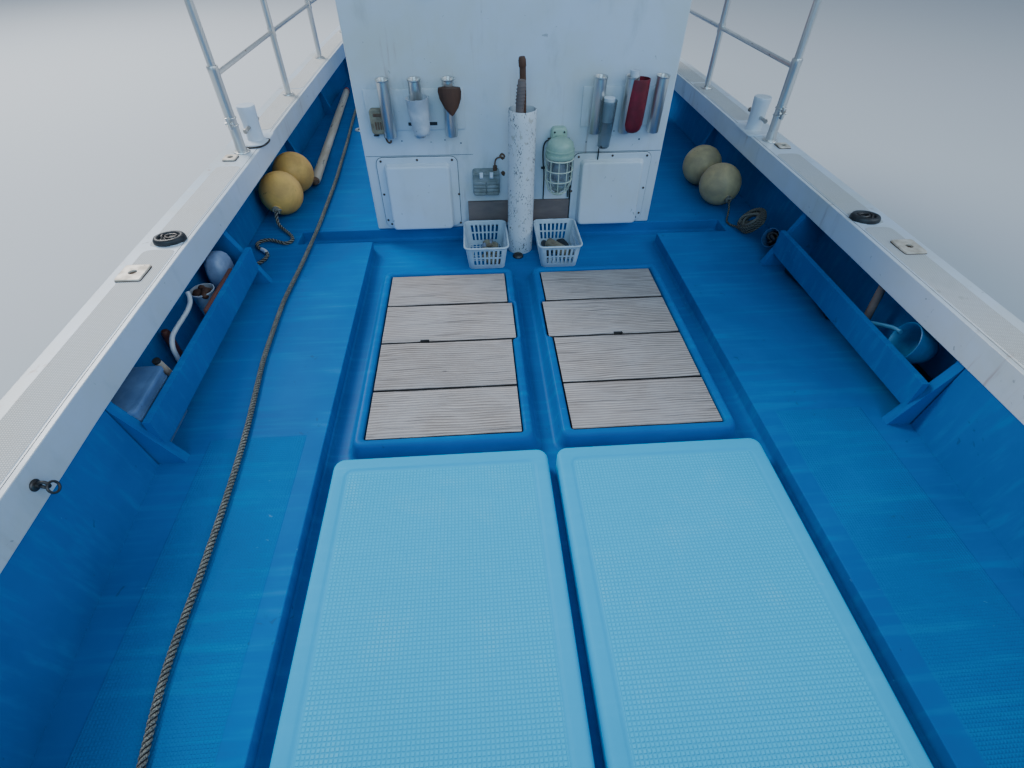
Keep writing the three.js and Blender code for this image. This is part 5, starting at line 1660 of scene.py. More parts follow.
for name, side in (("Starboard", 1), ("Port", -1)):
    makeCover(name, side)
makeWallMarks(wallMarks)
for name in ("starboard", "port"):
    makeHolders(name)
makeHolderGear()
makeClipBox(clipBox)
makeSocketBox()
makeLamp(deckLamp)
makeWires(wires)
makeBackBoard()
makeTube(gearTube)
for name in ("starboard", "port"):
    makeBasket(name, baskets)
makeBasketLoads()
print("wheelhouse wall fitted out")

# Gunwale tops: non-slip panels, plates, cleats, stanchion feet and bitts

gunwaleTop = {
    "inner": 0.021, "outer": 0.043, "rise": 0.0013, "corner": 0.028, "step": 0.06,
    # aft and fore end of each panel
    "panels": [(-4.86, -3.1), (-3.08, -1.2), (-1.18, -0.44), (0.045, 0.752), (0.776, 2.66), (2.68, 4.3)],
    "grooveFrom": -4.8, "grooveTo": 4.9, "grooveAt": 0.015,
}


def makeGunwaleTop(name, side, p):
    rows = topEdges("gunwale_" + name)
    bm = bmesh.new()
    for y0, y1 in p["panels"]:
        loops = []
        count = max(6, round((y1 - y0) / p["step"]))
        r = p["corner"]
        ys = [y0 + r * k / 5 for k in range(5)] + [y0 + r + (y1 - y0 - 2 * r) * k / count for k in range(count + 1)]
        ys += [y1 - r * (4 - k) / 5 for k in range(5)]
        for y in ys:
            inner, outer, z = alongEdge(rows, y)
            near = min(y - y0, y1 - y)
            cut = r - sqrt(max(0.0, r * r - (r - near) ** 2)) if near < r else 0.0
            a, b = inner + p["inner"] + cut * 0.9, outer - p["outer"] - cut * 0.9
            across = [(a, 0.0002), (a + 0.001, p["rise"])] + [(a + (b - a) * k / 6, p["rise"]) for k in range(1, 6)]
            across += [(b - 0.001, p["rise"]), (b, 0.0002), (b, -0.003), (a, -0.003)]
            loops.append([(side * x, y, z + up) for x, up in across])
        addLoops(bm, loops, caps=(0, -1))
    asPiece("gunwalePanels" + name.capitalize(), bm, "whiteTread", smooth=40)
    bm = bmesh.new()
    count = 160
    line = []
    for k in range(count + 1):
        y = p["grooveFrom"] + (p["grooveTo"] - p["grooveFrom"]) * k / count
        inner, _, z = alongEdge(rows, y)
        line.append((side * (inner + p["grooveAt"]), y, z + 0.0001))
    addSweep(bm, line, 0.0009, 5)
    asPiece("gunwaleGroove" + name.capitalize(), bm, "grimeLine", smooth=60)
    return rows


gunwaleGear = {
    # y, inwards from the outer edge's beam line, half sizes, hole
    "plates": [(0.932, 0.0605, 0.04, 0.046), (-0.048, 0.0605, 0.028, 0.032)],
    "rise": 0.0088, "hole": 0.0132,
    "cleat": (0.712, 0.092, 0.053, 0.043),
    "postFoot": -0.135, "bitt": -0.288,
}


def makeGunwaleGear(name, side, rows, p):
    bm = bmesh.new()
    for y, off, hx, hy in p["plates"]:
        _, outer, z = alongEdge(rows, y)
        x = outer - 0.015 - off
        if hx > 0.035 and name == "port":
            x += 0.002

        def square(d, up):
            made = []
            for a in turns(64):
                r = ((abs(cos(a)) / (hx - d)) ** 14 + (abs(sin(a)) / (hy - d)) ** 14) ** (-1 / 14)
                made.append((side * (x + r * cos(a)), y + r * sin(a), z + up))
            return made

        def bore(grow, up):
            r = p["hole"] + grow
            return [(side * (x + r * cos(a)), y + r * sin(a), z + up) for a in turns(64)]

        up = p["rise"]
        addLoops(bm, [square(0.0, -0.003), square(0.0, up - 0.0014), square(0.0005, up - 0.0004),
            square(0.0016, up), square(0.0035, up), bore(0.003, up), bore(0.001, up), bore(0.0, up - 0.0012),
            bore(0.0, -0.003)], ring=True)
        # A dark brown disc fills the hole: its brown colour, and painted shade that makes the hole read dark
        addTurned(bm, [(0.0, 0.003), (p["hole"] - 0.0003, 0.003), (p["hole"] - 0.0003, -0.003), (0.0, -0.003)],
            (side * x, y, z), sides=24, index=1)
        # Painted shade: a brown line round the plate's foot, for the shadow along its edge
        addSweep(bm, square(-0.0004, 0.0018), 0.0017, 5, index=2, closed=True)
    asPiece("gunwalePlates" + name.capitalize(), bm, ["plateCream", "holeBrown", "brown"], smooth=30)
    # Oval cleat with a ring in its recess
    y, off, hx, hy = p["cleat"]
    _, outer, z = alongEdge(rows, y)
    x = outer - 0.015 - off
    bm = bmesh.new()

    def oval(r, up, grow=0.0):
        return [(side * (x + (hx * r + grow) * cos(a)), y + (hy * r + grow) * sin(a) + 0.1 * hx * cos(a), z + up)
            for a in turns(32)]

    body = [(1.0, -0.002), (1.02, 0.004), (1.0, 0.012), (0.92, 0.0185), (0.8, 0.0205), (0.7, 0.02), (0.64, 0.016),
        (0.6, 0.011), (0.3, 0.0095)]
    addLoops(bm, [oval(r, up) for r, up in body], caps=(0, -1))
    ring = [(side * (x - 0.012 + 0.019 * cos(a)), y + 0.004 + 0.014 * sin(a), z + 0.0195) for a in turns(24)]
    addSweep(bm, ring, 0.004, 8, index=1, closed=True)
    addSweep(bm, [(side * (x + 0.01), y - 0.014, z + 0.01), (side * (x + 0.018), y - 0.004, z + 0.021),
        (side * (x + 0.018), y + 0.01, z + 0.0215), (side * (x + 0.012), y + 0.02, z + 0.01)], 0.0042, 8, index=1)
    asPiece("ovalCleat" + name.capitalize(), bm, ["dark", "darkMetal"], smooth=50)
    # Stanchion foot with its clevis and pin
    y = p["postFoot"]
    inner, outer, z = alongEdge(rows, y)
    x = outer - 0.015 - 0.086
    bm = bmesh.new()
    addLathe(bm, [(17.2, 0.4), (36, 0.4), (37.5, 2), (36, 5), (26, 6.6), (24.5, 12), (24, 32), (22.6, 36),
        (22.6, 330), (23.6, 334), (23.6, 352), (22.2, 356), (17.2, 356), (17.2, 0.4)], (side * x, y, z), sides=28)
    for k in range(4):
        a = pi / 4 + pi / 2 * k
        addLathe(bm, [(0, 8.5), (2.8, 8), (3.8, 6.5), (3.8, 4), (0, 4)],
            (side * x + 0.0305 * cos(a), y + 0.0305 * sin(a), z), sides=8)
    for up in (0.118, 0.15):
        addHoop(bm, (side * x, y, z + up), 0.0242, 0.003)
    addBox(bm, (side * x - 0.007, y + 0.02, z + 0.108), (side * x + 0.007, y + 0.043, z + 0.16), 0.003, 2)
    addRod(bm, (side * x - 0.016, y + 0.034, z + 0.134), (side * x + 0.016, y + 0.034, z + 0.134), 0.0055, sides=12)
    addLathe(bm, [(0, 4), (9, 3), (10, 0), (9, -3), (0, -4)], (side * (x - 0.018), y + 0.034, z + 0.134), (1, 0, 0),
        14)
    asPiece("stanchionFoot" + name.capitalize(), bm, ["steel"])
    # White bitt with its cross pin
    y = p["bitt"]
    inner, outer, z = alongEdge(rows, y)
    x = outer - 0.015 - 0.11
    bm = bmesh.new()
    addSlab(bm, (x - 0.065, x + 0.065, y - 0.093, y + 0.093), 0.012, [(0, 0.5), (0, 6.2), (1.6, 7.9), (6, 8)],
        base=z, side=side)
    addLathe(bm, [(0, 6), (42.5, 7), (40, 12), (38.5, 30), (39, 90), (41.5, 130), (42.5, 146), (42.5, 155),
        (40, 159.5), (30, 160.5), (0, 161)], (side * x, y, z), sides=36)
    addRod(bm, (side * x, y - 0.098, z + 0.072), (side * x, y + 0.098, z + 0.072), 0.0085, sides=14, index=1)
    for v in (-0.095, 0.095):
        addLathe(bm, [(0, -6), (10, -5), (11.5, 0), (10, 5), (0, 6)], (side * x, y + v, z + 0.072), (0, 1, 0), 14,
            1)
    bitt = asPiece("sideBitt" + name.capitalize(), bm, ["whiteClean", "steelWorn"])
    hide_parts("side_bitt_" + name)
    if name == "starboard":
        # A dark hook rests on the plate, beside the bitt
        bm = bmesh.new()
        hook = [(x + 0.04, y + 0.112), (x - 0.01, y + 0.116), (x - 0.05, y + 0.104), (x - 0.066, y + 0.076),
            (x - 0.07, y + 0.02), (x - 0.062, y + 0.002), (x - 0.052, y + 0.01)]
        addSweep(bm, smoothLine([(side * u, v, z + 0.005) for u, v in hook], 6), 0.0045, 8)
        asPiece("bittHookStarboard", bm, "darkMetal", smooth=60)


# Eye bolts under the gunwales
eyeBolt = {"y": 1.735, "z": 0.733, "wire": 0.0038, "ring": 0.013}


def makeEyeBolts(p):
    bm = bmesh.new()
    for side, name in ((1, "starboard"), (-1, "port")):
        x = alongEdge(topEdges("gunwale_" + name), p["y"])[0] - 0.001
        addLathe(bm, [(0, 0), (14, 0), (14.5, 2), (12, 4.5), (6, 5.5), (5.5, 12), (0, 12)],
            (side * x, p["y"], p["z"]), (-side, 0, 0), 18)
        c = x - 0.02
        addSweep(bm, [(side * (c + 0.01 * cos(a)), p["y"], p["z"] + 0.01 * sin(a)) for a in turns(20)], p["wire"],
            8, closed=True)
        addSweep(bm, [(side * (c - 0.014 + 0.004 * sin(a)), p["y"] + p["ring"] * cos(a),
            p["z"] - 0.01 + p["ring"] * sin(a)) for a in turns(24)], 0.003, 8, closed=True)
    asPiece("eyeBolts", bm, "darkMetal", smooth=60)


for name, side in (("starboard", 1), ("port", -1)):
    edges = makeGunwaleTop(name, side, gunwaleTop)
    makeGunwaleGear(name, side, edges, gunwaleGear)
makeEyeBolts(eyeBolt)
print("gunwales fitted out")


# Loose gear: floats, pole, cup and what the bins hold

floats = {
    "radius": 0.1078,
    # centre and where its eye points; the near one first
    "starboard": [((1.208, -0.217, 0.529), (0.07, 0.92, -0.36)), ((1.206, -0.48, 0.529), (0.02, 1.0, 0.02))],
    "port": [((-1.129, -0.185, 0.529), (-0.14, 0.93, -0.31)), ((-1.12, -0.448, 0.529), (-0.03, 1.0, 0.0))],
}


def makeFloats(name, mat, p):
    bm = bmesh.new()
    r = p["radius"]
    for centre, aim in p[name]:
        profile = [(0.0, -r * 0.985), (0.011, -r * 0.995), (0.02, -r * 0.985)]
        for k in range(3, 46):
            a = -pi / 2 + pi * k / 48
            seam = 0.0009 * exp(-((a / 0.018) ** 2))
            profile.append(((r + seam) * cos(a), (r + seam) * sin(a)))
        profile += [(0.0215, r * 0.982), (0.0205, r * 1.005), (0.0165, r * 1.012), (0.011, r * 1.005),
            (0.0095, r * 0.96), (0.0, r * 0.955)]
        addTurned(bm, profile, centre, aim, 48)
        bm.verts.ensure_lookup_table()
    piece = asPiece("floats" + name.capitalize(), bm, mat, smooth=50)
    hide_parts("floats_" + name)
    # Rope between the two and the knot in the near one's eye
    bm = bmesh.new()
    (near, aim), (far, _) = p[name]
    layRope(bm, [Vector(near) + Vector((0, -0.09, 0)), Vector(near).lerp(Vector(far), 0.5),
        Vector(far) + Vector((0, 0.09, 0))], 0.016, 0.05, sides=6)
    tip = Vector(near) + Vector(aim).normalized() * (r + 0.006)
    turn = frameAlong(aim)
    loops = []
    for a in turns(72):
        q = 0.0125 + 0.004 * cos(3 * a)
        loops.append(tip + turn @ Vector((q * cos(2 * a), q * sin(2 * a), 0.0075 * sin(3 * a) + 0.002)))
    addSweep(bm, loops, 0.0062, 8, closed=True)
    asPiece("floatKnot" + name.capitalize(), bm, "rope" if name == "starboard" else "ropeTan", smooth=60)


def makePole():
    # Weathered pole with a rusty foot, and its far end in a red-brown cap
    a, b = Vector((1.12, -0.53, 0.4475)), Vector((1.228, -2.39, 0.4475))
    along = (b - a).normalized()
    length = (b - a).length
    bm = bmesh.new()
    addTurned(bm, [(0.0, 0.034), (0.023, 0.034), (0.0255, 0.037), (0.0258, 0.1), (0.025, 0.5), (0.0254, 1.0),
        (0.025, 1.5), (0.0252, length - 0.05), (0.024, length - 0.045), (0.0, length - 0.045)], a, along, 24)
    addLathe(bm, [(0, 0), (13, 1), (17.5, 6), (18.5, 30), (22, 34), (0, 34.5)], a, along, 18, 1)
    addTurned(bm, [(0.0, length - 0.046), (0.0258, length - 0.046), (0.0258, length - 0.006),
        (0.022, length - 0.001), (0.0, length)], a, along, 18, 2)
    turn = frameAlong(along)
    for k in range(3):
        ang = 0.6 + 2.1 * k
        out = turn @ Vector((cos(ang), sin(ang), 0))
        if out.z < -0.3:
            continue
        addSweep(bm, [a + along * 0.028 + out * 0.017, a + along * 0.014 + out * 0.0235,
            a + along * 0.002 + out * 0.021], 0.0038, 8, index=1)
    pole = asPiece("deckPole", bm, ["poleWood", "rustIron", "redPlastic"])
    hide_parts("boathook")


def makeCoilCup():
    # A dented bailer that the coil of rope leans on
    bm = bmesh.new()
    shape = [(0.0, 0.0), (0.034, 0.001), (0.0385, 0.005), (0.04, 0.02), (0.044, 0.07), (0.048, 0.104),
        (0.05, 0.106), (0.05, 0.109), (0.047, 0.11), (0.0425, 0.07), (0.038, 0.022), (0.035, 0.008), (0.0, 0.004)]
    addTurned(bm, [(r * 0.9, h * 0.9) for r, h in shape], (-1.268, 0.322, 0.457), (0.8, 0.25, 0.4), 32)
    asPiece("bailerPort", bm, "greyBlue", smooth=50)
    bm = bmesh.new()
    centre = Vector((-1.202, 0.343, 0.49))
    loops = []
    for a in turns(72):
        q = 0.018 + 0.006 * cos(3 * a)
        loops.append(centre + Vector((0.014 * sin(3 * a), 1.2 * q * cos(2 * a), q * sin(2 * a))))
    addSweep(bm, loops, 0.0085, 8, closed=True)
    asPiece("bailerRag", bm, "dark", smooth=60)


binItems = {
    "floor": 0.4205,
    "jugX": 1.254, "crate": (1.19, 1.306, 1.222, 1.412),
    # middle of the scoop's mouth, and where it faces
    "scoop": (-1.206, 1.24, 0.602), "mouth": (0.92, -0.25, 0.3),
}


def makeBinStarboard(p):
    z = p["floor"]
    # Canister with a sloped shoulder
    x = p["jugX"]
    bm = bmesh.new()
    rows = [(0.0005, 0.034, 0.506, 0.612, 0.018), (0.006, 0.038, 0.5, 0.618, 0.022),
        (0.135, 0.038, 0.5, 0.618, 0.022), (0.16, 0.037, 0.502, 0.617, 0.022), (0.182, 0.033, 0.509, 0.612, 0.02),
        (0.197, 0.026, 0.521, 0.602, 0.018), (0.206, 0.017, 0.536, 0.59, 0.012),
        (0.2095, 0.009, 0.548, 0.578, 0.007)]
    addLoops(bm, [[(u, v, z + up) for u, v in roundedLoop(x - half, x + half, y0, y1, r)]
        for up, half, y0, y1, r in rows], caps=(0, -1))
    asPiece("canister", bm, "canister", smooth=50)
    # Orange-brown slat nailed behind the board
    bm = bmesh.new()
    addBox(bm, (1.1742, 0.62, 0.545), (1.188, 0.9, 0.596), 0.003, 2)
    asPiece("slat", bm, "rustWood", smooth=40)
    # White cup with a brown lump
    bm = bmesh.new()
    addLathe(bm, [(0, 0), (31, 1), (34, 6), (43, 142), (45.5, 144), (45.5, 147), (42, 148), (40.5, 142), (32, 10),
        (0, 6)], (1.262, 0.722, z), (0.02, 0.02, 1), 28)
    asPiece("bowl", bm, "milky", smooth=50)
    bm = bmesh.new()
    for k, (dx, dy, dz, r) in enumerate(((0, 0, 0.122, 0.031), (0.01, 0.018, 0.14, 0.018),
            (-0.014, 0.01, 0.142, 0.017), (-0.016, 0.03, 0.14, 0.014), (0.004, -0.012, 0.146, 0.013))):
        made = bmesh.ops.create_icosphere(bm, subdivisions=3, radius=r)["verts"]
        for one in made:
            one.co *= 1 + 0.3 * noise.noise(one.co * 45 + Vector((k * 5, 0, 0)))
            one.co += Vector((1.264 + dx, 0.724 + dy, z + dz))
    asPiece("sponge", bm, "brown", smooth=60)
    # Bent white pipe, a rigid elbow of conduit
    bm = bmesh.new()
    route = [(1.262, 0.818, z + 0.2), (1.257, 0.826, z + 0.19), (1.253, 0.842, z + 0.176), (1.25, 0.88, z + 0.168),
        (1.25, 0.94, z + 0.166), (1.251, 0.993, z + 0.1645), (1.25, 1.03, z + 0.16), (1.246, 1.058, z + 0.14),
        (1.242, 1.07, z + 0.11), (1.24, 1.073, z + 0.06), (1.24, 1.074, z + 0.0105)]
    addSweep(bm, smoothLine(route, 6), 0.0082, 14)
    asPiece("bentConduit", bm, "whiteClean", smooth=60)
    bm = bmesh.new()
    addLathe(bm, [(0, 0), (19, 0), (21, 3), (21, 136), (19, 148), (14, 156), (0, 159)], (1.296, 0.985, z),
        (0, 0, 1), 24)
    for v in bm.verts:
        v.co.x, v.co.y = 1.296 + (v.co.x - 1.296) * 0.75, 0.985 + (v.co.y - 0.985) * 0.75
    asPiece("redBottle", bm, "redBrown")
    bm = bmesh.new()
    a, b = Vector((1.206, 1.152, z + 0.016)), Vector((1.216, 1.196, z + 0.2))
    addRod(bm, a, b, 0.01, 0.0115, sides=16)
    addRod(bm, a.lerp(b, 0.97), a.lerp(b, 1.01), 0.0122, 0.0122, sides=16, index=1)
    asPiece("toolHandle", bm, ["plateCream", "darkMetal"])
    # Grey crate with ribs and a flat lid
    bm = bmesh.new()
    rows = [(4, 0.6), (0, 5), (-2, 186), (-5, 188), (-5, 197), (-3, 199.5), (4, 200), (8, 198.5), (20, 198.5)]
    addSlab(bm, p["crate"], 0.014, rows, 0.3, base=z)
    for up in (0.06, 0.11, 0.16):
        addSlab(bm, p["crate"], 0.016, [(1, -4), (-3.5, -3), (-3.5, 3), (1, 4)], base=z + up, caps=(), ring=True)
    asPiece("crate", bm, "cratePlastic")


def makeBinPort(p):
    z = p["floor"]
    # Blue-green scoop on a dark box, with a pale handle
    bm = bmesh.new()
    shape = [(0.0, -0.102), (0.02, -0.1), (0.038, -0.093), (0.05, -0.08), (0.057, -0.062), (0.062, -0.038),
        (0.065, -0.01), (0.0675, -0.002), (0.0675, 0.001), (0.0655, 0.002), (0.0625, -0.002), (0.0595, -0.038),
        (0.0545, -0.06), (0.0475, -0.078), (0.036, -0.09), (0.0, -0.098)]
    addTurned(bm, shape, p["scoop"], p["mouth"], 40)
    asPiece("scoop", bm, "teal", smooth=50)
    bm = bmesh.new()
    route = [(-1.23, 1.19, 0.6), (-1.227, 1.166, 0.596), (-1.2225, 1.13, 0.58), (-1.217, 1.085, 0.556),
        (-1.212, 1.045, 0.534), (-1.21, 1.024, 0.524)]
    addSweep(bm, smoothLine(route, 6), 0.0098, 12, flat=0.7)
    asPiece("scoopHandle", bm, "paleBlue", smooth=60)
    bm = bmesh.new()
    addSlab(bm, (-1.304, -1.226, 1.196, 1.392), 0.014, [(4, 0.6), (0, 4), (-1, 82), (2, 87), (6, 88)], base=z)
    asPiece("darkBox", bm, "dark")
    bm = bmesh.new()
    a, b = Vector((-1.226, 1.045, z + 0.02)), Vector((-1.268, 0.985, z + 0.228))
    addRod(bm, a.lerp(b, 0.22), b, 0.015, 0.014, sides=18)
    addRod(bm, a, a.lerp(b, 0.3), 0.0195, 0.0185, sides=18, index=1)
    asPiece("brushGrip", bm, ["darkBoard", "dark"])
    bm = bmesh.new()
    for k, (u, v, w, r) in enumerate(((-1.222, 0.62, 0.022, 0.022), (-1.262, 0.7, 0.026, 0.026),
            (-1.23, 0.8, 0.02, 0.02))):
        addTurned(bm, [(0.0, -0.09), (r * 0.9, -0.09), (r, -0.084), (r, 0.084), (r * 0.9, 0.09), (0.0, 0.09)],
            (u, v, z + w + 0.001), (0.15 * (k - 1), 1, 0), 18)
    asPiece("binOffcuts", bm, "dark")


makeFloats("starboard", "floatOchre", floats)
makeFloats("port", "floatBeige", floats)
makePole()
makeCoilCup()
makeBinStarboard(binItems)
makeBinPort(binItems)
print("loose gear placed")


# Wheelhouse: gaskets, wipers, rails, lights and vents

def addRing(bm, outline, radius, sides=8, index=0):
    addSweep(bm, [Vector(p) for p in outline], radius, sides, index, closed=True)


def addBolt(bm, at, axis, radius=0.006, index=0):
    addTurned(bm, [(0.0, radius * 0.8), (radius * 0.7, radius * 0.75), (radius, radius * 0.5), (radius, -0.001),
        (0.0, -0.001)], at, axis, 10, index)


def faceY(z):
    # The raked front above the sill
    return -(z - 1.37) * 0.12 / 0.88


house = {
    "front": (0.02, 0.64, 1.43, 2.13), "side": (-1.56, -0.33, 1.43, 2.06), "door": (-0.22, 0.22, 1.38, 1.98),
    "gasket": 0.0105,
}


def makeGaskets(p):
    bm = bmesh.new()
    a, b, z0, z1 = p["front"]
    for side in (1, -1):
        addRing(bm, [(side * x, faceY(z) + 0.001, z) for x, z in roundedLoop(a, b, z0, z1, 0.01, 4)], p["gasket"])
        addRing(bm, [(side * x, faceY(z) - 0.041, z) for x, z in roundedLoop(a, b, z0, z1, 0.01, 4)], 0.008, 6)
    y0, y1, z0, z1 = p["side"]
    for side in (1, -1):
        for x, r in ((0.7005, p["gasket"]), (0.6595, 0.008)):
            addRing(bm, [(side * x, y, z) for y, z in roundedLoop(y0, y1, z0, z1, 0.01, 4)], r)
        # the sliding window's middle bar and its catch
        for x0, x1 in ((0.6825, 0.6965), (0.665, 0.6755)):
            addSideBox(bm, side, (x0, -0.962, z0 + 0.004), (x1, -0.934, z1 - 0.004), 0.003)
        addSideBox(bm, side, (0.696, -0.955, 1.7), (0.706, -0.941, 1.76), 0.003)
    asPiece("windowGaskets", bm, "rubber", smooth=50)
    bm = bmesh.new()
    x0, x1, z0, z1 = p["door"]
    for y in (-1.9985, -1.9615):
        addRing(bm, [(x, y, z) for x, z in roundedLoop(x0, x1, z0, z1, 0.01, 4)], 0.009)
    asPiece("doorGasket", bm, "rubber", body=nodeBody["wheelhouse_door"], smooth=50)


wipers = {"x": 0.33, "foot": 1.395, "elbow": 1.55, "tip": 1.7, "lean": 0.24, "blade": 0.2}


def makeWipers(p):
    lean, top = p["lean"], p["tip"]
    for name, x in (("Starboard", p["x"]), ("Port", -p["x"])):
        bm = bmesh.new()
        z = p["foot"]
        y = faceY(z)
        addLathe(bm, [(0, 30), (12, 29), (15, 24), (16, 10), (24, 6), (24, 0), (0, 0)], (x, y, z), (0, 1, 0.13), 20)
        tip = (x + lean, faceY(top) + 0.034, top)
        addSweep(bm, [(x, y + 0.025, z), (x + lean * 0.5, faceY(p["elbow"]) + 0.036, p["elbow"]), tip], 0.005, 8)
        ends = [(x + lean + d * 0.35, faceY(top + d) + 0.024, top + d) for d in (-p["blade"], p["blade"])]
        addSweep(bm, ends, 0.006, 8)
        addSweep(bm, [tuple(v - (0.01 if k == 1 else 0) for k, v in enumerate(q)) for q in ends], 0.0042, 6,
            index=1)
        addSweep(bm, [tip, (tip[0], tip[1] - 0.01, tip[2])], 0.0075, 8)
        asPiece("wiper" + name, bm, ["darkMetal", "rubber"], smooth=50)


def addHandrail(bm, points, feet, radius=0.0125):
    addSweep(bm, smoothLine(points, 6), radius, 12)
    for a, b in feet:
        addRod(bm, a, b, radius * 0.8, sides=12)
        addLathe(bm, [(0, 0), (26, 0), (27, 3), (20, 7), (0, 8)], a, Vector(b) - Vector(a), 18)


handrails = {"side": (0.76, 2.165), "sideFeet": (-1.25, -0.75), "roof": (0.61, 2.392),
    "roofFeet": (-1.72, -1.2, -0.66)}


def makeHandrails(p):
    for name, side in (("Starboard", 1), ("Port", -1)):
        bm = bmesh.new()
        x, z = side * p["side"][0], p["side"][1]
        line = [(side * 0.702, -1.76, z), (side * 0.735, -1.757, z), (x, -1.735, z), (x, -1.6, z), (x, -1.0, z),
            (x, -0.4, z), (x, -0.262, z), (side * 0.735, -0.242, z), (side * 0.702, -0.24, z)]
        addHandrail(bm, line, [((side * 0.7005, y, z), (side * 0.755, y, z)) for y in p["sideFeet"]])
        x, z = side * p["roof"][0], p["roof"][1]
        line = [(x, -2.215, 2.335), (x, -2.21, 2.37), (x, -2.18, z), (x, -1.95, z), (x, -1.05, z), (x, -0.3, z),
            (x, -0.17, z), (x, -0.142, 2.37), (x, -0.138, 2.335)]
        addHandrail(bm, line, [((x, y, 2.3365), (x, y, z - 0.006)) for y in p["roofFeet"]])
        asPiece("handrails" + name, bm, "steel", smooth=50)


roofGear = {
    # x and length of each horn, where the searchlight turns, and the vents' places
    "horns": [(-0.3, 0.3), (-0.215, 0.24)], "searchlight": (0.26, -0.31, 2.482),
    "vents": [(0.34, -0.9), (-0.34, -0.9)],
}


def makeRoofGear(p):
    # Running lights on their screens
    for name, side, lens in (("Starboard", 1, "lensGreen"), ("Port", -1, "lensRed")):
        bm = bmesh.new()
        addSideBox(bm, side, (0.7, -0.235, 2.085), (0.716, -0.06, 2.235), 0.004)
        addSideBox(bm, side, (0.714, -0.23, 2.098), (0.766, -0.205, 2.222), 0.003)
        addSideBox(bm, side, (0.714, -0.208, 2.098), (0.758 if side > 0 else 0.766, -0.112, 2.112), 0.003)
        addLathe(bm, [(0, 0), (24, 0), (24, 14), (21, 16), (21, 62), (24, 64), (24, 74), (16, 82), (0, 83)],
            (side * 0.734, -0.166, 2.112), sides=20)
        for face in bm.faces:
            z = face.calc_center_median().z
            if 2.129 < z < 2.173 and abs(face.calc_center_median().y + 0.166) < 0.022 and abs(face.normal.z) < 0.3:
                face.material_index = 1
        asPiece("runningLight" + name, bm, ["dark", lens])
    # Horn and searchlight
    bm = bmesh.new()
    for x, long in p["horns"]:
        addTurned(bm, [(0.0, -0.06), (0.026, -0.056), (0.03, -0.04), (0.03, -0.01), (0.012, 0.004),
            (0.012, long * 0.45), (0.016, long * 0.66), (0.026, long * 0.86), (0.046, long), (0.048, long + 0.002),
            (0.042, long - 0.002), (0.018, long * 0.72), (0.0, long * 0.6)], (x, -0.33, 2.418), (0, 1, 0), 24)
        addBox(bm, (x - 0.012, -0.35, 2.335), (x + 0.012, -0.31, 2.395), 0.003, 2)
    asPiece("horn", bm, "steel")
    bm = bmesh.new()
    addLathe(bm, [(0, 0), (55, 0), (56, 6), (34, 14), (22, 22), (20, 72), (0, 74)], (0.26, -0.3, 2.336), sides=24)
    addLathe(bm, [(0, -85), (45, -80), (68, -55), (74, -20), (74, 64), (78, 66), (78, 78), (70, 80), (68, 70),
        (0, 70)], p["searchlight"], (0, 1, 0.04), 28)
    addLathe(bm, [(0, 79), (40, 77), (69, 72), (69, 68), (0, 68)], p["searchlight"], (0, 1, 0.04), 28, 1)
    for side in (1, -1):
        x = p["searchlight"][0] + side * 0.082
        addBox(bm, (x - 0.004, -0.325, 2.402), (x + 0.004, -0.295, 2.494), 0.002, 1)
    addBox(bm, (0.174, -0.325, 2.398), (0.346, -0.295, 2.408), 0.002, 1)
    asPiece("searchlight", bm, ["whiteClean", "clear"])
    # Mushroom vents and the drip rail over the door
    bm = bmesh.new()
    for x, y in p["vents"]:
        addLathe(bm, [(0, 0), (62, 0), (64, 6), (42, 10), (40, 40), (0, 42)], (x, y, 2.339), sides=28)
        addLathe(bm, [(0, 38), (80, 40), (86, 44), (82, 56), (60, 72), (24, 80), (0, 81)], (x, y, 2.339), sides=28)
    addBox(bm, (-0.4, -2.022, 2.15), (0.4, -1.999, 2.163), 0.004, 2)
    asPiece("roofVents", bm, "whiteClean")


mastGear = {
    "y": -1.45, "arm": 2.96, "lanterns": (-0.375, 0.375), "ties": (2.45, 2.62, 2.8, 3.02),
    # x and top of each whip aerial, and the floodlights' places
    "aerials": [(0.2, 3.315), (-0.2, 3.26)], "floodlights": (-0.28, 0.28),
}


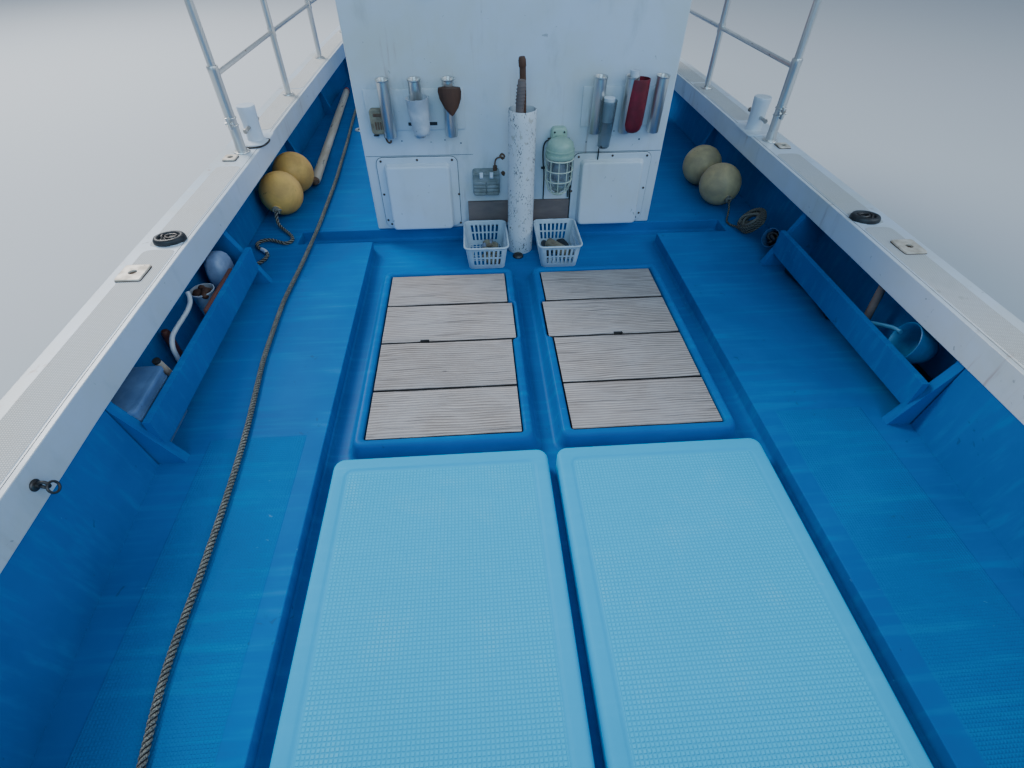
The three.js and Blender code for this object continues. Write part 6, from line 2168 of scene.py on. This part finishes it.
def makeMastGear(p):
    y, arm = p["y"], p["arm"]
    bm = bmesh.new()
    # seam round the scanner, lanterns on the arm, their brackets and the cable
    addHoop(bm, (0.0, -1.26, 2.742), 0.2095, 0.004, 6, 1, 48)
    for x in p["lanterns"]:
        addLathe(bm, [(0, 0), (30, 0), (31, 10), (26, 14), (26, 60), (31, 64), (31, 76), (20, 90), (0, 92)],
            (x, y, arm), sides=24)
        for up in (0.024, 0.037, 0.05):
            addHoop(bm, (x, y, arm + up), 0.0265, 0.003, 6, 2)
    addLathe(bm, [(0, 0), (28, 0), (34, 20), (34, 70), (28, 86), (0, 88)], (0.0, -1.388, 3.105), sides=24, index=2)
    addBox(bm, (-0.02, -1.424, 3.09), (0.02, -1.352, 3.104), 0.003, 2, index=1)
    addBox(bm, (-0.02, -1.424, 3.194), (0.02, -1.352, 3.206), 0.003, 2, index=1)
    cable = [(0.0, -1.486, 2.352), (0.0, -1.4845, 2.6), (0.0, -1.4845, 2.9), (0.0, -1.4845, 3.14)]
    addSweep(bm, cable, 0.0045, 8, index=1)
    for z in p["ties"]:
        addRing(bm, [(0.034 * cos(a), y + 0.041 * sin(a), z) for a in turns(24)], 0.0018, 6, 1)
    asPiece("mastLights", bm, ["dark", "rubber", "lensWhite"])
    bm = bmesh.new()
    for x, top in p["aerials"]:
        addTurned(bm, [(0.0, 0.0), (0.013, 0.0), (0.013, 0.07), (0.006, 0.084), (0.0042, 0.09),
            (0.0022, top - 2.962), (0.0, top - 2.961)], (x, y, arm), sides=12)
    addLathe(bm, [(0, 0), (12, 0), (12, 50), (44, 60), (47, 70), (42, 86), (24, 96), (0, 98)], (0.085, y, arm),
        sides=24)
    asPiece("aerials", bm, "whiteClean", smooth=50)
    # Floodlights that point aft
    bm = bmesh.new()
    for x in p["floodlights"]:
        addBox(bm, (x - 0.07, -1.535, 2.84), (x + 0.07, -1.492, 2.912), 0.006, 2)
        addBox(bm, (x - 0.06, -1.538, 2.849), (x + 0.06, -1.534, 2.903), 0.0015, 1, index=1)
        addBox(bm, (x - 0.01, -1.494, 2.868), (x + 0.01, -1.448, 2.926), 0.003, 1)
        for k in range(5):
            addBox(bm, (x - 0.052 + 0.024 * k, -1.493, 2.846), (x - 0.046 + 0.024 * k, -1.484, 2.906), 0.0015, 1)
    asPiece("floodlights", bm, ["darkMetal", "lensWhite"])


airways = {
    # each louvre's box
    "side": (-1.8, -1.42, 0.6, 0.86), "back": (0.42, 0.6, 0.64, 0.9), "blades": 7, "pitch": 0.03,
}
lifebuoy = {"middle": (-0.95, 1.02), "ring": 0.232, "thick": 0.052, "steps": 64, "hooks": (1.25, 1.5, 1.75)}
doorGear = {"hinges": (0.7, 1.3, 1.9), "hingeX": 0.34, "grip": -0.42}


def makeVents(p):
    # Engine air louvres on both sides, and one on the back wall
    bm = bmesh.new()
    for side in (1, -1):
        y0, y1, z0, _ = p["side"]
        addSlab(bm, p["side"], 0.012, [(0, 700.4), (0, 712), (2, 714), (20, 714), (22, 703)], up="x", side=side)
        for k in range(p["blades"]):
            z = z0 + 0.036 + p["pitch"] * k
            outline = [(0.7032, z + 0.01), (0.7032, z + 0.014), (0.7135, z + 0.001), (0.7135, z - 0.003)]
            addLoops(bm, [[(side * x, y, w) for x, w in outline] for y in (y0 + 0.022, y1 - 0.022)], caps=(0, -1))
    x0, x1, z0, _ = p["back"]
    addSlab(bm, p["back"], 0.012, [(0, -2000.4), (0, -2012), (2, -2014), (18, -2014), (20, -2003)], up="y")
    for k in range(p["blades"]):
        z = z0 + 0.034 + p["pitch"] * k
        outline = [(-2.0032, z + 0.01), (-2.0032, z + 0.014), (-2.0135, z + 0.001), (-2.0135, z - 0.003)]
        addLoops(bm, [[(x, y, w) for y, w in outline] for x in (x0 + 0.02, x1 - 0.02)], caps=(0, -1))
    asPiece("airLouvres", bm, "whiteClean", smooth=35)


def makeLifebuoy(p):
    # In its bracket on the port side
    bm = bmesh.new()
    (cy, cz), big, small, steps = p["middle"], p["ring"], p["thick"], p["steps"]
    sides = 20
    rings = []
    for a in turns(steps):
        rings.append([bm.verts.new((-0.75 + 0.8 * small * cos(t), cy + (big + small * sin(t)) * cos(a),
            cz + (big + small * sin(t)) * sin(a))) for t in turns(sides)])
    for k in range(steps):
        low, high = rings[k], rings[(k + 1) % steps]
        band = 1 if 2 < (k + 4) % 16 < 8 else 0
        for j in range(sides):
            n = (j + 1) % sides
            bm.faces.new((low[j], low[n], high[n], high[j])).material_index = band
    for part in p["hooks"]:
        a = pi * part
        y, z = cy + (big + 0.052) * cos(a), cz + (big + 0.052) * sin(a)
        out = Vector((0, cos(a), sin(a)))
        at = Vector((-0.7005, y, z))
        addSweep(bm, [at + out * 0.008, Vector((-0.75, 0, 0)) + Vector((0, at.y, at.z)) + out * 0.01,
            Vector((-0.792, at.y, at.z)) + out * 0.004, Vector((-0.797, at.y, at.z)) - out * 0.02], 0.0052, 8,
            index=2)
    asPiece("lifebuoy", bm, ["buoyOrange", "whiteClean", "steel"], smooth=60)


def makeDoorGear(p):
    # Hinges, and a hand grip beside the door
    bm = bmesh.new()
    x = p["hingeX"]
    for z in p["hinges"]:
        addRod(bm, (x, -2.009, z - 0.045), (x, -2.009, z + 0.045), 0.0085, sides=14)
        addBox(bm, (0.344, -2.0085, z - 0.04), (0.398, -2.0005, z + 0.04), 0.003, 2)
        for up in (-0.022, 0.022):
            addBolt(bm, (0.376, -2.0085, z + up), (0, -1, 0), 0.005)
    grip = [(-2.002, 1.52), (-2.03, 1.512), (-2.048, 1.48), (-2.05, 1.3), (-2.048, 1.12), (-2.03, 1.088),
        (-2.002, 1.08)]
    addHandrail(bm, [(p["grip"], y, z) for y, z in grip], [])
    asPiece("doorHinges", bm, "steel")


inside = {
    # where the console's slope starts, the levers, the helm's hub and the cushions
    "panel": (0, -0.265, 1.255), "levers": (0.42, 0.46), "compass": (0.24, -0.092, 1.3304),
    "hub": (0.24, -0.4425, 1.12),
    "cushions": [(-1.905, -1.66), (-1.65, -1.405)],
}


def makeInside(p):
    # Instruments on the console
    bm = bmesh.new()
    slope = Vector((0, -0.21, -0.15)).normalized()
    up = Vector((0, -0.15, 0.21)).normalized()
    across = Vector((1, 0, 0))
    base = Vector(p["panel"])

    def panel(x, u, wide, tall, thick, index, lift=0.0, bevel=0.004):
        made = addBox(bm, (-wide / 2, -tall / 2, 0.0), (wide / 2, tall / 2, thick), bevel, 2, index=index)
        turn = Matrix((across, -slope, up)).transposed().to_4x4()
        bmesh.ops.transform(bm, matrix=Matrix.Translation(base + across * x + slope * u + up * lift) @ turn,
            verts=made)

    panel(-0.33, 0.0, 0.3, 0.2, 0.022, 0, 0.0004)
    panel(-0.33, 0.0, 0.256, 0.16, 0.003, 1, 0.021, 0.001)
    panel(0.02, 0.0, 0.24, 0.15, 0.008, 0, 0.0004)
    for k in range(6):
        panel(-0.07 + 0.036 * k, 0.036, 0.016, 0.03, 0.012, 2, 0.008, 0.003)
    for k in range(3):
        panel(-0.055 + 0.075 * k, -0.03, 0.054, 0.054, 0.006, 1, 0.008, 0.002)
    panel(0.44, 0.0, 0.18, 0.12, 0.008, 0, 0.0004)
    addLathe(bm, [(0, 0), (50, 0), (52, 12), (46, 30), (30, 44), (0, 48)], p["compass"], sides=28)
    # throttle and gear levers
    for x in p["levers"]:
        addSweep(bm, [(x, -0.262, 1.268), (x, -0.278, 1.33), (x, -0.3, 1.38)], 0.005, 8, index=2)
        made = bmesh.ops.create_icosphere(bm, subdivisions=3, radius=0.016)["verts"]
        bmesh.ops.translate(bm, vec=(x, -0.304, 1.39), verts=made)
    # radio and its bracket
    addBox(bm, (-0.56, -0.15, 1.331), (-0.38, -0.06, 1.39), 0.005, 2)
    addBox(bm, (-0.545, -0.153, 1.344), (-0.455, -0.149, 1.376), 0.0015, 1, index=1)
    for k in range(3):
        addLathe(bm, [(0, 12), (9, 11), (10, 0), (0, 0)], (-0.436 + 0.022 * k, -0.15, 1.36), (0, -1, 0), 14, 2)
    asPiece("consoleInstruments", bm, ["dark", "screen", "steel"])
    # Helm: a hub cap
    bm = bmesh.new()
    addLathe(bm, [(0, 0), (30, 0), (34, 4), (30, 12), (14, 18), (0, 19)], p["hub"], (0, -1, 0), 24)
    asPiece("helmHub", bm, "steel", body=nodeBody["helm_wheel"])
    # Cushions on the bench
    bm = bmesh.new()
    for y0, y1 in p["cushions"]:
        rows = [(6, 0), (0, 10), (0, 44), (4, 54), (14, 60), (30, 62.5), (60, 64)]
        addSlab(bm, (-0.632, -0.168, y0, y1), 0.03, rows, base=0.8852)
    asPiece("benchCushions", bm, "cushion", smooth=60)


# Hull, stern and foredeck fittings

def addCleat(bm, at, along, size=0.11, index=0):
    # A two-horned mooring cleat
    turn = Matrix.Translation(at) @ Matrix.Rotation(atan2(along[0], along[1]) * -1, 4, "Z")
    shapes = []
    for y in (-size * 0.26, size * 0.26):
        shapes.append(([(0, y, 0.0), (0, y, 0.012), (0, y * 0.92, 0.03), (0, y * 0.9, 0.04)],
            [0.017, 0.012, 0.011, 0.012]))
    shapes.append(([(0, -size, 0.052), (0, -size * 0.6, 0.047), (0, 0, 0.043), (0, size * 0.6, 0.047),
        (0, size, 0.052)], [0.0065, 0.0105, 0.012, 0.0105, 0.0065]))
    for points, radius in shapes:
        addSweep(bm, [turn @ Vector(p) for p in points], radius, 12, index)
    made = addBox(bm, (-0.024, -size * 0.55, 0.0), (0.024, size * 0.55, 0.006), 0.003, 2, index=index)
    bmesh.ops.transform(bm, matrix=turn, verts=made)


mooringGear = {"posts": (-1.06, -1.99, -2.92, -3.85, -4.78), "cleats": (3.3, -4.35), "chock": 4.25}


def makeDeckFittings(p):
    # Mooring cleats on the gunwales, stanchion bases and rail joints
    for name, side in (("Starboard", 1), ("Port", -1)):
        rows = topEdges("gunwale_" + name.lower())
        bm = bmesh.new()
        for y in p["cleats"]:
            inner, outer, z = alongEdge(rows, y)
            ahead = alongEdge(rows, y + 0.1)[1] - outer
            addCleat(bm, (side * (inner + outer) / 2 - side * 0.012, y, z + 0.0014), (side * ahead, 0.1))
        # closed chock near the bow
        y = p["chock"]
        inner, outer, z = alongEdge(rows, y)
        cx = side * (inner + outer) / 2
        ahead = Vector((side * (alongEdge(rows, y + 0.1)[1] - outer), 0.1, 0)).normalized()
        addRing(bm, [(cx + ahead.x * 0.075 * cos(a), y + ahead.y * 0.075 * cos(a), z + 0.044 + 0.032 * sin(a))
            for a in turns(32)], 0.012, 10)
        made = addBox(bm, (-0.03, -0.095, 0.0), (0.03, 0.095, 0.012), 0.005, 2)
        bmesh.ops.transform(bm, matrix=Matrix.Translation((cx, y, z + 0.0005)) @
            Matrix.Rotation(-atan2(ahead.x, ahead.y), 4, "Z"), verts=made)
        for y in p["posts"]:
            inner, outer, z = alongEdge(rows, y)
            x = side * (outer - 0.101)
            addLathe(bm, [(17.2, 9), (31, 9), (32.5, 7), (32.5, 0.8), (31, 0.4), (17.2, 0.4), (17.2, 9)], (x, y, z),
                sides=24)
            for k in range(4):
                a = pi / 4 + pi / 2 * k
                addBolt(bm, (x + 0.025 * cos(a), y + 0.025 * sin(a), z + 0.0095), (0, 0, 1), 0.004)
            # a joint at the middle rail's height and a cap under the top rail
            addLathe(bm, [(17.2, -22), (20.5, -22), (20.5, 22), (17.2, 22), (17.2, -22)], (x, y, z + 0.32),
                sides=20)
            addLathe(bm, [(17.2, -22), (21, -22), (22, -19), (22, 14), (20, 16.5), (0, 16.8)], (x, y, z + 0.623),
                sides=20)
        asPiece("mooringGear" + name, bm, "steel")


foredeck = {"z": 0.72, "hatch": (-0.235, 0.235, 3.03, 3.49), "locker": (-0.21, 0.21, 4.27, 4.56),
    "vent": (-0.42, 3.8)}


def makeForedeck(p):
    # Deck hatch with a smoked pane, the anchor locker lid and a vent
    z, box = p["z"], p["hatch"]
    bm = bmesh.new()
    y0, y1 = box[2:]
    rows = [(0, 0.5), (0, 24), (3, 29), (10, 31), (34, 31), (38, 28), (38, 22)]
    addSlab(bm, box, 0.055, rows, 0.7, base=z, caps=(0,), steps=8)
    addSlab(bm, box, 0.055, [(37.5, 21.5), (37.5, 25.5), (39, 27), (50, 27.5)], 0.7, base=z, index=1, steps=8)
    for x in (-0.14, 0.14):
        addRod(bm, (x - 0.03, y1 + 0.006, z + 0.02), (x + 0.03, y1 + 0.006, z + 0.02), 0.0085, sides=14)
        addBox(bm, (x - 0.024, y1 + 0.004, z + 0.0004), (x + 0.024, y1 + 0.042, z + 0.01), 0.003, 2)
        addBox(bm, (x - 0.014, y0 - 0.012, z + 0.004), (x + 0.014, y0 + 0.02, z + 0.036), 0.004, 2)
    asPiece("foredeckHatch", bm, ["steel", "smoked"])
    bm = bmesh.new()
    x0, x1, y0, y1 = p["locker"]
    taper = lambda x, y: x * (1 - 0.55 * max(0.0, y - y0))
    addLoops(bm, [[(taper(x, y), y, z + up) for x, y in roundedLoop(x0 + d, x1 - d, y0 + d, y1 - d, 0.04, 6)]
        for d, up in ((0.0, 0.0004), (0.0, 0.007), (0.002, 0.009), (0.014, 0.01), (0.016, 0.0085), (0.03, 0.0085))],
        caps=(0, -1))
    addLathe(bm, [(0, 10), (28, 10), (31, 12), (34, 12), (36, 8.8), (0, 8)], (0, y0 + 0.065, z + 0.0005), sides=24,
        index=1)
    addLathe(bm, [(0, 0), (58, 0), (60, 6), (40, 10), (38, 32), (74, 36), (80, 42), (70, 56), (36, 68), (0, 71)],
        (*p["vent"], z), sides=28, index=1)
    asPiece("anchorLockerLid", bm, ["blue", "steel"])
    bm = bmesh.new()
    for side in (1, -1):
        x = side * 0.0755
        addBolt(bm, (x, 5.372, 1.268), (side, 0, 0), 0.013)
        for y in (5.22, 5.29):
            addBolt(bm, (x, y, 1.235), (side, 0, 0), 0.007)
    for x in (-0.045, 0.045):
        for y in (4.72, 4.86, 5.02):
            rows = topEdges("gunwale_starboard")
            addBolt(bm, (x, y, alongEdge(rows, y)[2] + 0.0125), (0, 0, 1), 0.008)
    asPiece("bowFittingBolts", bm, "steelWorn")


aftDeck = {
    "z": 0.42, "lids": [(-0.42, 0.42, -4.7, -4.1), (-0.3, 0.3, -3.65, -3.05)],
    "fillers": [(0.94, -2.5), (-0.94, -2.5), (-0.94, -2.75)], "drainX": (-1.0, 1.0), "drainY": (-4.78, -1.5),
}


def makeAftDeck(p):
    z = p["z"]
    bm = bmesh.new()
    for x0, x1, y0, y1 in p["lids"]:
        rows = [(0, 0.4), (0, 10), (3, 12.5), (20, 13.5), (23, 11.5), (40, 11.5)]
        addSlab(bm, (x0, x1, y0, y1), 0.035, rows, base=z, steps=6)
        for x in (x0 + 0.1, x1 - 0.1):
            addLathe(bm, [(0, 3), (18, 3), (20, 14), (29, 15), (31, 11.5), (0, 11)], (x, y0 + 0.08, z + 0.0005),
                sides=24, index=1)
            addHoop(bm, (x, y0 + 0.08, z + 0.0125), 0.014, 0.0022, 6, 1, 20)
    for x, y in p["fillers"]:
        addLathe(bm, [(0, 4), (22, 4), (24, 6), (36, 6.2), (40, 0.4), (0, 0.4)], (x, y, z), sides=28, index=1)
        addBox(bm, (x - 0.016, y - 0.003, z + 0.0035), (x + 0.016, y + 0.003, z + 0.0068), 0.001, 1, index=2)
    for x in p["drainX"]:
        for y in p["drainY"]:
            addLathe(bm, [(0, 3), (26, 3), (28, 5), (36, 4.5), (38, 0.4), (0, 0.4)], (x, y, z), sides=24, index=1)
            for k in range(-2, 3):
                addBox(bm, (x - 0.016, y + 0.008 * k - 0.002, z + 0.0026),
                    (x + 0.016, y + 0.008 * k + 0.002, z + 0.0036), 0.0, index=2)
    asPiece("aftHatchLids", bm, ["blue", "steel", "dark"])


stern = {
    # x, z and radius of each outlet, and the towing eyes
    "y": -5.0, "outlets": [(-0.52, 0.17, 0.05), (0.82, 0.21, 0.022), (0.94, 0.21, 0.022), (-0.86, 0.21, 0.016)],
    "eyes": (-1.0, 1.0), "eyeZ": 0.51,
}


def makeStern(p):
    # Exhaust, drains and lifting eyes on the transom, anodes and the rudder's fittings
    bm = bmesh.new()
    y = p["y"]
    for x, z, r in p["outlets"]:
        addTurned(bm, [(r * 0.82, -0.002), (r * 1.5, -0.002), (r * 1.5, 0.003), (r * 1.35, 0.006),
            (r * 1.05, 0.007), (r * 1.0, 0.012), (r * 0.88, 0.0135), (r * 0.82, 0.012), (r * 0.82, -0.002)],
            (x, y, z), (0, -1, 0), 28)
        addTurned(bm, [(0.0, 0.0008), (r * 0.83, 0.0008), (r * 0.83, -0.002), (0.0, -0.002)], (x, y, z), (0, -1, 0),
            28, 1)
        for k in range(4):
            a = pi / 4 + pi / 2 * k
            addBolt(bm, (x + r * 1.28 * cos(a), y - 0.006, z + r * 1.28 * sin(a)), (0, -1, 0), 0.0036)
    z = p["eyeZ"]
    for x in p["eyes"]:
        addBox(bm, (x - 0.03, y - 0.006, z - 0.03), (x + 0.03, y - 0.0004, z + 0.03), 0.003, 2)
        addSweep(bm, [(x, y - 0.003 - 0.007 * sin(a), z + 0.02 * cos(a)) for a in (pi * k / 12 for k in range(13))],
            0.004, 8)
    asPiece("transomFittings", bm, ["steel", "dark"])
    bm = bmesh.new()
    for side in (1, -1):
        addSideBox(bm, side, (0.022, -4.83, -0.5), (0.0265, -4.69, -0.43), 0.002, 1)
    asPiece("rudderAnodes", bm, "zinc", body=nodeBody["rudder"])
    bm = bmesh.new()
    addLathe(bm, [(20.5, 0), (30, 0), (34, 6), (34, 40), (30, 46), (20.5, 46), (20.5, 0)], (0, -4.13, -0.44),
        (0, 1, 0), 24)
    asPiece("shaftAnode", bm, "zinc", body=nodeBody["propeller"])
    # Skin fittings along the topsides
    bm = bmesh.new()
    for side, outlets in hullOutlets.items():
        for y, z, r in outlets:
            at = surfaceAt("hull", side, y, z)
            if at is None:
                continue
            point, normal = at
            addTurned(bm, [(0.0, 0.001), (r * 0.6, 0.001), (r * 0.62, 0.006), (r, 0.004), (r * 1.05, 0.0),
                (r, -0.003), (0.0, -0.003)], point, normal, 20)
    asPiece("skinFittings", bm, "steelWorn")


def surfaceAt(node, side, y, z):
    target = frame["nodes"][node]
    hit, point, normal, _ = target.ray_cast(Vector((side * 3.0, y, z)), Vector((-side, 0, 0)))
    return (point, normal) if hit else None


hullOutlets = {
    1: [(-3.4, 0.19, 0.026), (-3.1, 0.19, 0.02), (-0.7, 0.2, 0.022), (1.9, 0.21, 0.024)],
    -1: [(-3.6, 0.19, 0.02), (-2.2, 0.19, 0.026), (0.4, 0.2, 0.022), (1.9, 0.21, 0.024)],
}


engine = {
    # half width, aft and fore end, low and high end, rounding and colour of the sump, block, head and cover
    "blocks": [(0.15, -1.33, -0.74, -0.118, -0.03, 0.02, 0), (0.19, -1.43, -0.7, -0.04, 0.12, 0.018, 0),
               (0.15, -1.41, -0.72, 0.118, 0.2, 0.012, 0), (0.105, -1.39, -0.74, 0.198, 0.262, 0.02, 1)],
    # x, z and radius of each pulley
    "pulleys": [(0.0, -0.01, 0.09), (0.13, 0.15, 0.05), (-0.11, 0.175, 0.058)],
    "cylinders": 4, "firstY": -0.9, "pitch": 0.13,
}


def makeEngine(p):
    # Diesel with its gearbox, inside the block that its solid gives it
    bm = bmesh.new()
    for half, y0, y1, z0, z1, soft, index in p["blocks"]:
        addBox(bm, (-half, y0, z0), (half, y1, z1), soft, 3, index=index)
    addLathe(bm, [(0, 0), (26, 0), (26, 18), (20, 24), (0, 24)], (0, -0.9, 0.262), sides=20, index=2)
    addLathe(bm, [(0, 0), (200, 0), (205, 10), (205, 75), (190, 85), (0, 85)], (0, -1.42, 0.055), (0, -1, 0), 36)
    addLathe(bm, [(0, 0), (150, 0), (145, 90), (110, 130), (105, 200), (70, 215), (66, 262), (0, 265)],
        (0, -1.505, 0.02), (0, -1, 0), 32, 1)
    for x, z, r in p["pulleys"]:
        addTurned(bm, [(0.0, 0.0), (r * 0.5, 0.0), (r, 0.012), (r * 0.86, 0.02), (r * 0.86, 0.026), (r, 0.034),
            (r * 0.4, 0.036), (0.0, 0.04)], (x, -0.7, z), (0, 1, 0), 32, 2)
    addBox(bm, (0.155, -1.33, 0.07), (0.235, -0.83, 0.15), 0.024, 3, index=2)
    for k in range(p["cylinders"]):
        y = p["firstY"] - p["pitch"] * k
        addSweep(bm, smoothLine([(0.14, y, 0.15), (0.175, y, 0.155), (0.195, y, 0.13)], 4), 0.024, 12, index=2)
        addSweep(bm, smoothLine([(-0.14, y, 0.155), (-0.185, y, 0.158), (-0.215, y, 0.13), (-0.222, y, 0.09)], 4),
            0.022, 12)
    addRod(bm, (-0.222, -1.34, 0.085), (-0.222, -0.84, 0.085), 0.03, sides=20)
    addLathe(bm, [(0, 0), (40, 2), (44, 12), (44, 110), (38, 120), (0, 122)], (-0.236, -1.08, -0.07), sides=24,
        index=1)
    for side in (1, -1):
        addSideBox(bm, side, (0.23, -1.56, -0.1195), (0.285, -0.7, -0.075), 0.006, index=1)
        for y in (-1.48, -0.82):
            addSideBox(bm, side, (0.15, y - 0.04, -0.076), (0.27, y + 0.04, -0.04), 0.006, index=2)
    case = asPiece("engineAssembly", bm, ["iron", "whiteClean", "darkMetal"])
    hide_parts("engine")


makeGaskets(house)
makeWipers(wipers)
makeHandrails(handrails)
makeRoofGear(roofGear)
makeMastGear(mastGear)
makeVents(airways)
makeLifebuoy(lifebuoy)
makeDoorGear(doorGear)
makeInside(inside)
makeDeckFittings(mooringGear)
makeForedeck(foredeck)
makeAftDeck(aftDeck)
makeStern(stern)
makeEngine(engine)
print("fittings out of the picture made")


# Floor and light

def makeStage():
    bm = bmesh.new()
    bmesh.ops.create_grid(bm, x_segments=1, y_segments=1, size=60)
    mesh = bpy.data.meshes.new("floor")
    bm.to_mesh(mesh)
    bm.free()
    floor = bpy.data.objects.new("floor", mesh)
    scene.collection.objects.link(floor)
    pale = bpy.data.materials.new("paleFloor")
    pale.use_nodes = True
    pale.node_tree.nodes["Principled BSDF"].inputs["Base Color"].default_value = (0.5, 0.53, 0.56, 1)
    pale.node_tree.nodes["Principled BSDF"].inputs["Roughness"].default_value = 0.8
    mesh.materials.append(pale)


lights = {
    # name: place, aim, size, power, colour
    "key": ((7.5, -6.0, 9.0), (0, 0, 0.4), 5.0, 1750, (1.0, 0.98, 0.95)),
    "fill": ((-9.0, 6.0, 8.0), (0, 0, 0.4), 9.0, 620, (0.72, 0.86, 1.0)),
    "bow": ((1.0, 12.0, 7.0), (0, 0, 0.6), 8.0, 560, (0.36, 0.7, 1.0)),
}


def makeLights():
    for name, (place, aim, size, power, color) in lights.items():
        data = bpy.data.lights.new(name, "AREA")
        data.size = size
        data.energy = power
        data.color = color
        lamp = bpy.data.objects.new(name, data)
        scene.collection.objects.link(lamp)
        lamp.location = place
        lamp.visible_camera = False
        lamp.rotation_euler = (Vector(aim) - Vector(place)).to_track_quat("-Z", "Y").to_euler()
    world = bpy.data.worlds.new("studio")
    world.use_nodes = True
    world.node_tree.nodes["Background"].inputs[0].default_value = (0.56, 0.75, 1.0, 1)
    world.node_tree.nodes["Background"].inputs[1].default_value = 0.48
    scene.world = world


makeStage()
makeLights()
print("stage and lights set")
